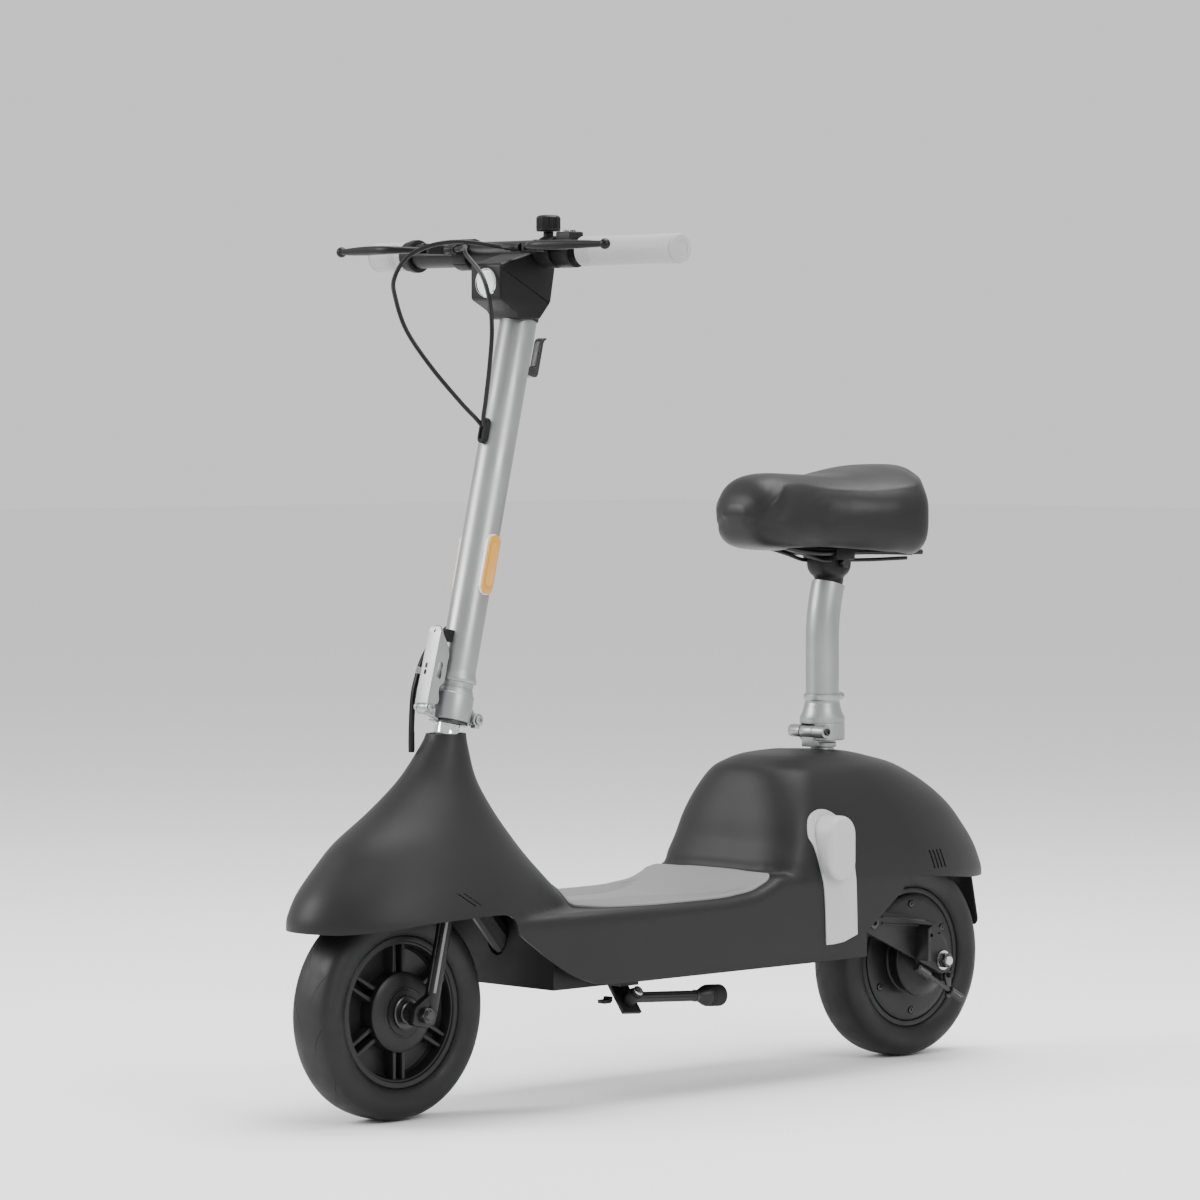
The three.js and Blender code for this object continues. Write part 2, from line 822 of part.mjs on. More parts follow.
function middleBody(inset) {
  const floor = bodyFloor - overrun;
  const rings = deckRunShares.map((share, i) => {
    const y = lerp(deckStart, deckEnd, share);
    const wide = lerp(bellHalfWidth, bodyHalfWidth, deckWidthShares[i]) - inset;
    const top = deckHeight + deckRise * deckRiseShares[i] - inset;
    const edge = deckEdgeRadius;
    const outline = [
      [-wide, floor],
      [wide, floor],
      ...arc([wide - edge, top - edge], edge, 0, 90, cornerSteps),
      ...arc([edge - wide, top - edge], edge, 90, 180, cornerSteps),
    ];
    return outline.map(([x, z]) => new THREE.Vector3(x, y, z));
  });
  return skin(rings);
}

function bodyForm(inset, lift = false) {
  return join(frontBell(inset, lift), middleBody(inset), rearHump(inset));
}

// A thin sheet lying on the body within a given prism.
function onBody(thickness, prism) {
  return common(cut(bodyForm(-fit - thickness), bodyForm(-fit)), prism);
}

// Meshes

function piece(name, geometry, colour, roughness, metalness) {
  const material = new THREE.MeshStandardMaterial({ color: colour, roughness, metalness });
  const mesh = new THREE.Mesh(closed(geometry), material);
  mesh.name = name;
  return mesh;
}

const charcoal = (name, geometry) => piece(name, geometry, 0x3c3c3d, 0.6, 0);
const blackPlastic = (name, geometry) => piece(name, geometry, 0x18181a, 0.55, 0);
const blackMetal = (name, geometry) => piece(name, geometry, 0x141416, 0.4, 0.6);
const silver = (name, geometry) => piece(name, geometry, 0xb9bbbd, 0.35, 0.7);
const bright = (name, geometry) => piece(name, geometry, 0xdcdee0, 0.15, 1);
const paleGrey = (name, geometry) => piece(name, geometry, 0xc6c7c8, 0.5, 0);
const rubber = (name, geometry) => piece(name, geometry, 0x1c1c1e, 0.85, 0);

function group(at, ...children) {
  const made = new THREE.Group();
  made.position.set(...at);
  made.add(...children);
  return made;
}

// Body shell and what lies on it

function sweep(from, to, shares) {
  return shares.map(([u, v]) => [lerp(from[0], to[0], u), lerp(from[1], to[1], v)]);
}

function bodyEdge() {
  return [
    [noseY - overrun, noseLip],
    ...sweep([noseY, noseLip], [frontEdgeY, frontEdgeHeight], noseEdgeShares),
    ...sweep([frontEdgeY, frontEdgeHeight], [floorStartY, bodyFloor], frontSweepShares),
    [floorEndY, bodyFloor],
    ...sweep([floorEndY, rearStepHeight], [archY, archHeight], archShares),
    ...sweep([archY, archHeight], [humpRear, tailEdgeHeight], tailEdgeShares),
    [humpRear + overrun, tailEdgeHeight],
    [humpRear + overrun, neckTop],
    [noseY - overrun, neckTop],
  ];
}

function slots(count, y, bottom, height, pitch, lean) {
  const cutters = [];
  for (let i = 0; i < count; i++) {
    const start = y + i * pitch;
    const outline = [
      [start + lean, bottom], [start + lean + ventWidth, bottom],
      [start + ventWidth, bottom + height], [start, bottom + height],
    ];
    cutters.push(sidePlate(outline, bodyHalfWidth / 2, bodyHalfWidth + overrun));
    cutters.push(sidePlate(outline, -bodyHalfWidth - overrun, -bodyHalfWidth / 2));
  }
  return cutters;
}

function bodyShell() {
  const reach = bodyHalfWidth + overrun;
  const trimmed = common(bodyForm(0), sidePlate(bodyEdge(), -reach, reach));
  return charcoal('body_shell', cut(
    trimmed,
    bodyForm(shellWall, true),
    rod('z', seatSleeveRadius + fit, humpTop, [0, seatY, humpTop], tubeSides),
    rod('x', socketRadius + fit, bodyHalfWidth, [bodyHalfWidth, coverY, coverZ]),
    ...slots(frontVents, frontVentY, frontVentBottom, frontVentHeight, frontVentPitch, frontVentLean),
    ...slots(rearVents, rearVentY, rearVentBottom, rearVentHeight, rearVentPitch, rearVentLean),
  ));
}

function deckMat() {
  const outline = [
    [-matFrontHalfWidth, matFront], [matFrontHalfWidth, matFront],
    ...sweep([matFrontHalfWidth, matFront], [matHalfWidth, matShoulderY], matSideShares),
    ...arc([matHalfWidth - matCornerRadius, matRear - matCornerRadius], matCornerRadius, 0, 90,
      cornerSteps),
    ...arc([matCornerRadius - matHalfWidth, matRear - matCornerRadius], matCornerRadius, 90, 180,
      cornerSteps),
    ...sweep([-matFrontHalfWidth, matFront], [-matHalfWidth, matShoulderY], matSideShares).reverse(),
  ];
  return piece('deck_mat', onBody(matThickness, planPlate(outline, bodyFloor + matThickness, neckTop)),
    0x909294, 0.8, 0);
}

function stripOutline() {
  return [
    ...sweep([stripFrontY, stripBottom], [stripRearY, stripTop], stripShares),
  ];
}

function sideStrip(name, side) {
  const [near, far] = side > 0 ? [bodyHalfWidth / 2, bodyHalfWidth + overrun] : [-bodyHalfWidth - overrun,
    -bodyHalfWidth / 2];
  const sheet = onBody(stripThickness, sidePlate(stripOutline(), near, far));
  if (side < 0) return paleGrey(name, sheet);
  return paleGrey(name,
    cut(sheet, rod('x', socketRadius + fit, bodyHalfWidth, [bodyHalfWidth, coverY, coverZ])));
}

function chargeCover() {
  const outline = stadium(coverWidth, coverHeight, [coverY, coverZ]);
  const inner = stadium(coverWidth - 2 * coverBevel, coverHeight - 2 * coverBevel, [coverY, coverZ]);
  const rings = [
    outline.map(([y, z]) => new THREE.Vector3(bodyHalfWidth / 2, y, z)),
    outline.map(([y, z]) => new THREE.Vector3(coverFace - coverBevel, y, z)),
    inner.map(([y, z]) => new THREE.Vector3(coverFace, y, z)),
  ];
  return paleGrey('charge_cover', cut(skin(rings), bodyForm(-stripThickness - 2 * fit)));
}

function chargeSocket() {
  const end = bodyHalfWidth + stripThickness;
  const plug = rod('x', socketRadius, end - socketDepth, [end - (end - socketDepth) / 2, coverY, coverZ]);
  const trimmed = cut(common(plug, bodyForm(-stripThickness)),
    span([0, end - socketDepth], [humpFront, humpRear], [0, humpTop]));
  const flange = common(
    rod('x', socketFlange, socketDepth, [end - socketDepth, coverY, coverZ]), bodyForm(shellWall + fit));
  const seated = cut(flange, bodyForm(shellWall + fit + socketFlangeThickness));
  return blackPlastic('charge_socket', cut(
    join(trimmed, seated),
    rod('x', socketRecessRadius, socketRecess * 2, [bodyHalfWidth, coverY, coverZ]),
  ));
}

// Frame and what it carries

function axisPoint(rise, y = 0) {
  return [0, rideFrame.y + rise * Math.sin(rakeAngle) + y * Math.cos(rakeAngle),
    rideFrame.z + rise * Math.cos(rakeAngle) - y * Math.sin(rakeAngle)];
}

function downTube(radius) {
  return strut(axisPoint(downTubeTopRise), [0, beamFrontY + crossTubeRadius, beamTop - beamHeight / 2],
    radius, roundSides);
}

function frame() {
  const beamMiddle = beamTop - beamHeight / 2;
  const beams = [-1, 1].map((side) => span(
    [side * beamX - beamWidth / 2, side * beamX + beamWidth / 2], [beamFrontY, beamRearY],
    [beamTop - beamHeight, beamTop]));
  const cross = (y, z = beamMiddle) => rod('x', crossTubeRadius, 2 * beamX, [0, y, z]);
  const headTube = strut(axisPoint(headTubeBottom), axisPoint(headTubeTop), headTubeRadius, roundSides);
  const headBore = strut(axisPoint(headTubeBottom - overrun), axisPoint(headTubeTop + overrun),
    headTubeBore, roundSides);
  const welded = join(
    ...beams, cross(beamFrontY + crossTubeRadius), cross(seatStayY), cross(beamRearY - crossTubeRadius,
      beamMiddle),
    headTube,
    downTube(downTubeRadius),
    rod('z', seatTubeRadius, seatTubeTop - seatTubeBottom,
      [0, seatY, (seatTubeTop + seatTubeBottom) / 2]),
    ...[-1, 1].map((side) => strut(
      [side * beamX, seatBridgeY - pawRadius, beamMiddle], [0, seatY, seatTubeBottom + seatTubeRadius],
      crossTubeRadius)),
  );
  return blackMetal('frame', cut(welded, headBore));
}

function battery() {
  const wide = batteryHalfWidth;
  const outline = [
    [batteryEdge - wide, batteryBottom], [wide - batteryEdge, batteryBottom],
    [wide, batteryBottom + batteryEdge],
    [wide, batteryTop - batteryEdge], [wide - batteryEdge, batteryTop], [batteryEdge - wide, batteryTop],
    [-wide, batteryTop - batteryEdge], [-wide, batteryBottom + batteryEdge],
  ];
  return piece('battery_pack', facePlate(outline, batteryFrontY, batteryRearY), 0x2c5d8c, 0.5, 0);
}

function controller() {
  const body = span([-controllerHalfWidth, controllerHalfWidth], [controllerFrontY, controllerRearY],
    [controllerBottom, controllerTop]);
  const fins = [];
  for (let i = 0; i < controllerFins; i++) {
    const x = lerp(finThickness - controllerHalfWidth, controllerHalfWidth - finThickness,
      i / (controllerFins - 1));
    fins.push(span([x - finThickness / 2, x + finThickness / 2], [controllerFrontY, controllerRearY],
      [controllerTop - finHeight, controllerTop + finHeight]));
  }
  return piece('controller', join(body, ...fins), 0x8d9093, 0.5, 0.7);
}

function bellyPan() {
  const tray = span([-panHalfWidth, panHalfWidth], [panFrontY, panRearY], [panBottom, panFrontHeight]);
  const flange = span([-panFlangeHalfWidth, panFlangeHalfWidth], [panFlangeFrontY, panRearY],
    [bodyFloor + fit, bodyFloor + fit + panWall]);
  const hollow = span([panWall - panHalfWidth, panHalfWidth - panWall],
    [panFrontY + panWall, panRearY + overrun],
    [panBottom + panWall, panFrontHeight + overrun]);
  const lowered = span([-panHalfWidth - overrun, panHalfWidth + overrun],
    [panFlangeFrontY, panRearY + overrun],
    [bodyFloor + fit + panWall, panFrontHeight + overrun]);
  const outer = cut(join(tray, flange), hollow, lowered, downTube(downTubeRadius + panTubeRoom));
  const bossTop = beamTop - beamHeight - fit;
  const bosses = [-1, 1].flatMap((side) => [panBossFrontY, panBossRearY].map((y) => rod(
    'z', panBossRadius, bossTop - panBottom, [side * beamX, y, (bossTop + panBottom) / 2], smallSides)));
  return blackPlastic('belly_pan', common(join(outer, ...bosses), bodyForm(shellWall + fit)));
}

function mudflap() {
  const outline = [
    [flapTopY, flapTopZ], [flapBottomY, flapBottomZ], [flapBottomY + flapThickness, flapBottomZ],
    [flapTopY + flapThickness, flapTopZ],
  ];
  const boss = rod('y', flapBossRadius, humpRear - flapTopY,
    [0, (humpRear + flapTopY) / 2 + flapThickness / 2, flapTopZ - flapBossDrop]);
  const wall = common(
    cut(bodyForm(0), bodyForm(shellWall + fit)),
    span([-flapHalfWidth - fit, flapHalfWidth + fit], [flapTopY, humpRear],
      [tailEdgeHeight - fit, flapTopZ + fit]),
  );
  const plate = sidePlate(outline, -flapHalfWidth, flapHalfWidth);
  return rubber('mudflap', cut(join(plate, common(boss, bodyForm(shellWall + fit))), wall));
}

// Wheels

function tyre(name) {
  const bead = beadRadius + fit;
  const half = rimHalfWidth - rimFlange - fit;
  const side = [
    [bead, half], [rimRadius + fit, half], [rimRadius + fit, rimHalfWidth],
    ...sweep([rimRadius, rimHalfWidth], [wheelRadius, tyreHalfWidth], tyreSideShares),
    [wheelRadius, treadHalfWidth],
  ];
  const mirrored = side.map(([r, x]) => [r, -x]).reverse();
  return rubber(name, lathed('x', [...side, ...mirrored, side[0]], [0, 0, 0], wheelSides));
}

function rimBarrel(inner) {
  const half = rimHalfWidth;
  const seat = rimHalfWidth - rimFlange;
  return [
    [inner, -half], [rimRadius, -half], [rimRadius, -seat], [beadRadius, -seat],
    [beadRadius, seat], [rimRadius, seat], [rimRadius, half], [inner, half], [inner, -half],
  ];
}

function spokedRim() {
  const barrel = lathed('x', rimBarrel(rimInnerRadius), [0, 0, 0], wheelSides);
  const web = rod('x', rimInnerRadius + hubCoverThickness / 2, webThickness, [0, 0, 0], wheelSides);
  const parts = [barrel, web, rod('x', hubRadius, 2 * hubHalfLength)];
  for (const side of [-1, 1]) {
    parts.push(rod('x', hubCoverRadius, hubCoverThickness, [side * (rimHalfWidth - hubCoverThickness / 2),
      0, 0], wheelSides));
  }
  const inner = hubRadius - hubCoverThickness;
  const length = rimInnerRadius + hubCoverThickness / 2 - inner;
  for (let i = 0; i < spokePairs; i++) {
    for (const side of [-1, 1]) {
      const spoke = block(spokeWidth * 2, spokeThickness, length,
        [0, side * spokeSpread, inner + length / 2]);
      parts.push(spoke.rotateX(2 * Math.PI * i / spokePairs));
    }
  }
  return blackMetal('front_rim',
    cut(join(...parts), rod('x', axleRadius + runningGap, 4 * hubHalfLength)));
}

function axleWithNuts(name, end, nutFace) {
  const parts = [rod('x', axleRadius, 2 * end, [0, 0, 0], smallSides)];
  for (const side of [-1, 1]) parts.push(hexagon('x', nutRadius, nutHeight,
    [side * (nutFace + nutHeight / 2), 0, 0]));
  return piece(name, join(...parts), 0x3a3b3d, 0.35, 0.9);
}

// Motor drum, its cover with the screws on it, and the brake drum on the left, cast as one wheel
function hubMotor() {
  const bore = axleRadius + runningGap;
  const cover = motorHalfWidth;
  const lip = motorCoverRadius + motorCoverStep;
  const drum = lathed('x', [
    [bore, -cover], [motorCoverRadius - motorCoverStep, -cover],
    [motorCoverRadius, motorCoverStep - cover], [lip, -rimHalfWidth],
    ...rimBarrel(rimInnerRadius).slice(1, 7),
    [lip, rimHalfWidth], [motorCoverRadius, cover - motorCoverStep], [motorCoverRadius - motorCoverStep,
      cover],
    [drumRadius, cover], [drumRadius, cover + drumWidth], [bore, cover + drumWidth], [bore, -cover],
  ], [0, 0, 0], wheelSides);
  const screws = [];
  for (let i = 0; i < coverScrews; i++) {
    const angle = 2 * Math.PI * (i + 0.5) / coverScrews;
    screws.push(rod('x', coverScrewRadius, 2 * (cover + coverScrewHeight), [
      0, coverScrewCircle * Math.cos(angle), coverScrewCircle * Math.sin(angle)], 6));
  }
  return blackMetal('hub_motor', join(drum, ...screws));
}

// Fixed brake parts, in the rear axle's own place

const plateFrom = motorHalfWidth + drumWidth + runningGap;
const camPlace = [camForward, -camDrop];

function brakePlate() {
  const disc = rod('x', brakePlateRadius, brakePlateWidth, [plateFrom + brakePlateWidth / 2, 0, 0],
    tubeSides);
  const boss = rod('x', camBossRadius, brakeArmX - plateFrom, [(brakeArmX + plateFrom) / 2, ...camPlace]);
  const camPin = rod('x', hingePinRadius, brakeArmThickness * 3,
    [brakeArmX + brakeArmThickness, ...camPlace], smallSides);
  const hubBoss = rod('x', armEndRadius, armX - armThickness / 2 - fit - plateFrom,
    [(armX - armThickness / 2 - fit + plateFrom) / 2, 0, 0]);
  return blackMetal('brake_plate', cut(join(disc, boss, camPin, hubBoss),
    rod('x', axleRadius + fit, 4 * rearAxleEnd)));
}

function brakeArm() {
  const from = brakeArmX + fit;
  const outline = [
    ...arc([0, 0], brakeArmWidth / 2, 0, 180, smallSides / 2),
    ...arc([0, -brakeArmLength], brakeArmWidth / 3, 180, 360, smallSides / 2),
  ];
  const eye = rod('x', brakeRodRadius, brakeRodX - adjusterRadius - runningGap - from,
    [(brakeRodX - adjusterRadius - runningGap + from) / 2, 0, -brakeArmLength], smallSides);
  return piece('brake_arm', cut(
    join(sidePlate(outline, from, from + brakeArmThickness), eye),
      rod('x', hingePinRadius + fit, 4 * from),
  ), 0x55575a, 0.4, 0.9);
}

function onBrakeRod(share) {
  return [brakeRodX, lerp(brakeRodStartY, brakeRodEndY, share), lerp(brakeRodStartZ, brakeRodEndZ,
    share)];
}

const adjusterShare = adjusterLength / Math.hypot(brakeRodEndY - brakeRodStartY,
  brakeRodEndZ - brakeRodStartZ);

function adjuster(from, to, radius) {
  return strut(onBrakeRod(from), onBrakeRod(to), radius, 6);
}

function brakeRod() {
  return piece('brake_cable_end', join(
    strut(onBrakeRod(0), onBrakeRod(1), brakeRodRadius),
    adjuster(0, adjusterShare, adjusterRadius),
    adjuster(1 - adjusterShare, 1, adjusterRadius),
  ), 0x4a4c4f, 0.4, 0.9);
}

// Rear arms

function rearArm(name, side) {
  const axle = [rearAxleY, wheelRadius];
  const root = [armRootY, armRootZ];
  const outline = [
    ...arc(axle, armEndRadius, -130, 60, 8),
    [armGussetY, armGussetZ],
    [lerp(armRootY, armGussetY, 0.5), lerp(armRootZ, armGussetZ, 0.5) + armGussetLift],
    ...arc(root, armRootRadius, 80, 250, 6),
  ];
  const plate = sidePlate(outline, side * armX - armThickness / 2, side * armX + armThickness / 2);
  const bolt = hexagon('x', armBoltRadius, armBoltHeight,
    [side * (armX + armThickness / 2 + armBoltHeight / 2), ...root]);
  const bare = cut(join(plate, bolt), rod('x', axleRadius + fit, 4 * rearAxleEnd, [0, ...axle]));
  if (side < 0) return blackMetal(name, bare);
  const [, tabY, tabZ] = onBrakeRod(adjusterShare / 2);
  const tab = span([armX, brakeRodX + adjusterRadius + cableTab], [tabY, tabY + cableTab],
    [tabZ - adjusterRadius - cableTab, armRootZ]);
  const reach = span([armX - armThickness / 2, armX + armThickness / 2], [tabY, tabY + cableTab * 2],
    [tabZ - cableTab, armRootZ - armRootRadius / 2]);
  return blackMetal(name, cut(join(bare, tab, reach), adjuster(-adjusterShare, 2 * adjusterShare,
    adjusterRadius + fit)));
}

// Fork and steering, in the frame of the steering axis: Z runs up the axis

function forkCrown() {
  const top = crownBottom + crownThickness;
  const plan = [
    ...arc([legSpacing, legY], legRadius + crownMargin, -90, 90, 6), [crownWaist, crownRear],
    [-crownWaist, crownRear], ...arc([-legSpacing, legY], legRadius + crownMargin, 90, 270, 6),
    [-crownWaist, -crownFront], [crownWaist, -crownFront],
  ];
  return blackMetal('fork_crown', join(
    planPlate(plan, crownBottom, top),
    rod('z', steererRadius, baseTop - baseThickness - top - 2 * fit,
      [0, 0, (baseTop - baseThickness - 2 * fit + top) / 2]),
  ));
}

function forkLeg(name, side) {
  const top = crownBottom - fit;
  const x = side * legSpacing;
  const leg = join(
    rod('z', legRadius, top - legStart, [x, legY, (top + legStart) / 2]),
    rod('x', lugRadius, lugThickness, [x, -forkOffset, 0]),
    span([x - lugThickness / 2, x + lugThickness / 2], [-forkOffset, legY + lugRearReach],
      [-lugDrop, lugTop]),
  );
  return blackMetal(name, cut(leg, rod('x', axleRadius + fit, 4 * legSpacing, [0, -forkOffset, 0])));
}

function headsetNut() {
  const from = headTubeTop + runningGap;
  const to = baseTop - baseThickness - fit;
  return bright('headset_nut', lathed('z', [
    [steererRadius + fit, from], [headTubeRadius, from], [headTubeRadius, from + headsetLip],
    [headsetNutRadius, from + headsetLip + 2 * fit],
    [headsetNutRadius, to], [steererRadius + fit, to], [steererRadius + fit, from],
  ]));
}

function barrel(halfFrom, halfTo, radius = hingeBarrelRadius, sides = roundSides) {
  return rod('x', radius, halfTo - halfFrom, [(halfTo + halfFrom) / 2, hingeY, hingeSplit], sides);
}

function stemBase() {
  const top = baseTop - fit;
  const bottom = baseTop - baseThickness;
  const lugs = [-1, 1].map((side) => {
    const ends = [side * (collarBarrelHalf + fit), side * baseBarrelHalf].sort((one, other) => one - other);
    return join(
      barrel(...ends),
      span(ends, [0, hingeY + lugHalf], [bottom, top]),
      span(ends, [hingeY - lugHalf, hingeY + lugHalf], [bottom, hingeSplit]),
    );
  });
  const latchPlace = [0, latchPivotY, hingeSplit + latchPivotRise];
  const ear = join(
    rod('x', latchBarrelRadius, 2 * latchEarHalf, latchPlace),
    span([-latchEarHalf, latchEarHalf], [latchPivotY - lugHalf, 0], [bottom, top - fit]),
    span([-latchEarHalf, latchEarHalf], [latchPivotY - lugHalf, latchPivotY + lugHalf],
      [bottom, hingeSplit + latchPivotRise]),
  );
  const latchPin = rod('x', hingePinRadius, 2 * latchBarrelHalf, latchPlace, smallSides);
  const heads = [-1, 1].map((side) => hexagon('x', boltHeadRadius, hingePinRadius * 2,
    [side * baseBarrelHalf, hingeY, hingeSplit]));
  const carried = cut(
    join(rod('z', baseRadius, top - bottom, [0, 0, (top + bottom) / 2], tubeSides), ...lugs, ear,
      latchPin),
    barrel(-collarBarrelHalf - fit, collarBarrelHalf + fit, hingeBarrelRadius + runningGap),
  );
  return silver('stem_base', join(carried, barrel(-baseBarrelHalf, baseBarrelHalf, hingePinRadius,
    smallSides), ...heads));
}

// Collar, neck, bead, tube and the block that the latch holds, welded up as one stem
function stemTube() {
  const cup = hingeSplit + collarCupHeight;
  const cone = cup + collarConeHeight;
  const neck = cone + collarNeckHeight;
  const bead = neck + beadRingHeight;
  const bevel = beadRingHeight / 4;
  const body = lathed('z', [
    [0, baseTop], [collarRadius, baseTop], [collarRadius, cup], [collarNeckRadius, cone],
    [collarNeckRadius, neck],
    [beadRingRadius - bevel, neck], [beadRingRadius, (neck + bead) / 2], [beadRingRadius - bevel, bead],
    [stemRadius, bead + bevel], [stemRadius, stemTop], [stemRadius - stemWall, stemTop],
    [stemRadius - stemWall, cup], [0, cup],
  ], [0, 0, 0], tubeSides);
  const knuckle = join(
    barrel(-collarBarrelHalf, collarBarrelHalf),
    span([-collarBarrelHalf, collarBarrelHalf], [0, hingeY],
      [hingeSplit, hingeSplit + hingeBarrelRadius]),
  );
  const catchMiddle = hingeSplit + latchPivotRise + catchRise;
  const catchBlock = span([-catchHalfWidth, catchHalfWidth],
    [-stemRadius - catchDepth, catchWeld - stemRadius],
    [catchMiddle - catchHeight / 2, catchMiddle + catchHeight / 2]);
  const reliefs = [-1, 1].map((side) => barrel(
    side * (collarBarrelHalf + fit / 2), side * (baseBarrelHalf + hingePinRadius + runningGap),
    hingeBarrelRadius + runningGap));
  return silver('stem_tube', cut(
    join(body, knuckle, catchBlock), ...reliefs, barrel(-collarRadius, collarRadius, hingePinRadius + fit,
      smallSides)));
}

// The latch lever, about its own pivot: a channel with round ends and two slots

function latchLever() {
  const wide = latchHalfWidth;
  const profile = [
    ...arc([0, 0], latchBarrelRadius, 150, 360, smallSides),
    ...sweep([latchBarrelRadius, 0], [latchLean + latchDepth, latchLength], latchRearShares),
    ...sweep([-latchBarrelRadius, 0], [latchLean, latchLength], latchFrontShares),
  ];
  const whole = sidePlate(profile, -wide, wide);
  const inner = span([latchWall - wide, wide - latchWall],
    [latchWall - latchBarrelRadius, latchDepth * 3], [-latchBarrelRadius * 3, latchLength * 2]);
  const frontFace = sidePlate([
    ...sweep([-latchBarrelRadius - latchWall, 0], [latchLean - latchWall, latchLength], latchFaceShares),
    ...sweep([latchWall - latchBarrelRadius, 0], [latchLean + latchWall, latchLength], latchBackShares),
  ], -wide, wide);
  const channel = join(cut(whole, inner), common(whole, frontFace));
  const sideSlot = sidePlate(stadium(sideSlotWidth, sideSlotHeight, [sideSlotY, latchSlotRise]),
    -3 * wide, 3 * wide);
  const faceSlot = facePlate(stadium(faceSlotWidth, faceSlotHeight, [faceSlotX, latchSlotRise]),
    -latchDepth, latchDepth);
  const eye = facePlate(arc([0, latchEyeRise], latchEyeRadius, 0, 330, smallSides - 1), -latchDepth,
    latchDepth);
  return silver('latch_lever', cut(
    channel, sideSlot, faceSlot, eye,
    rod('x', latchBarrelRadius + runningGap, 2 * (latchEarHalf + fit), [0, 0, 0]),
    rod('x', hingePinRadius + fit, 6 * wide, [0, 0, 0], smallSides),
  ));
}

// What the stem carries

function grommet() {
  const outline = stadium(2 * grommetHalfWidth, grommetHeight, [0, grommetRise]);
  const rings = [outline, stadium(2 * grommetHalfWidth - grommetDepth / 2,
    grommetHeight - grommetDepth / 2, [0, grommetRise])];
  const body = skin([
    rings[0].map(([x, z]) => new THREE.Vector3(x, 0, z)),
    rings[0].map(([x, z]) => new THREE.Vector3(x, -stemRadius - grommetDepth / 2, z)),
    rings[1].map(([x, z]) => new THREE.Vector3(x, -stemRadius - grommetDepth, z)),
  ]);
  return rubber('cable_grommet',
    cut(body, rod('z', stemRadius + fit, grommetHeight * 2, [0, 0, grommetRise], wheelSides)));
}

function reflector(name, side) {
  const rounded = [stadium(reflectorWidth, reflectorHeight, [0, reflectorRise]),
    stadium(reflectorWidth - reflectorDepth / 2, reflectorHeight - reflectorDepth / 2,
      [0, reflectorRise])];
  const body = skin([
    rounded[0].map(([y, z]) => new THREE.Vector3(0, y, z)),
    rounded[0].map(([y, z]) => new THREE.Vector3(side * (stemRadius + reflectorDepth / 2), y, z)),
    rounded[1].map(([y, z]) => new THREE.Vector3(side * (stemRadius + reflectorDepth), y, z)),
  ]);
  return piece(name, cut(body, rod('z', stemRadius + fit, reflectorHeight * 2, [0, 0, reflectorRise],
    wheelSides)), 0xe0a526, 0.25, 0);
}

function bagHook() {
  const inner = stemRadius;
  const outer = stemRadius + hookReach;
  const outline = [
    [0, hookRise], [outer - hookThickness, hookRise], [outer, hookRise + hookThickness],
    [outer, hookRise + hookHeight - hookLip],
    [outer + hookLip, hookRise + hookHeight], [outer, hookRise + hookHeight],
    [outer - hookThickness, hookRise + hookHeight - hookLip],
    [outer - hookThickness, hookRise + hookFoot], [0, hookRise + hookFoot],
  ];
  return silver('bag_hook', cut(
    sidePlate(outline, -hookHalfWidth, hookHalfWidth), rod('z', inner + fit, hookHeight * 4,
      [0, 0, hookRise], wheelSides)));
}

// Handlebar and all that sits on it, about the middle of the bar and level with the ground

function handlebar() {
  const left = barHalfLength - gripEndWall - fit;
  const ends = rod('x', barEndRadius, 2 * left);
  const middle = rod('x', barRadius, leftBlackEnd + rightBlackEnd, [(leftBlackEnd - rightBlackEnd) / 2, 0,
    0]);
  return blackMetal('handlebar', join(ends, middle));
}

function grip(name, side, start) {
  const edge = gripEndWall / 2;
  return piece(name, lathed('x', [
    [barEndRadius + fit, side * start], [gripRadius - edge, side * start],
    [gripRadius, side * (start + edge)],
    [gripRadius, side * (barHalfLength - edge)], [gripRadius - edge, side * barHalfLength],
    [0, side * barHalfLength],
    [0, side * (barHalfLength - gripEndWall)], [barEndRadius + fit, side * (barHalfLength - gripEndWall)],
    [barEndRadius + fit, side * start],
  ]), 0xc9c9c7, 0.75, 0);
}

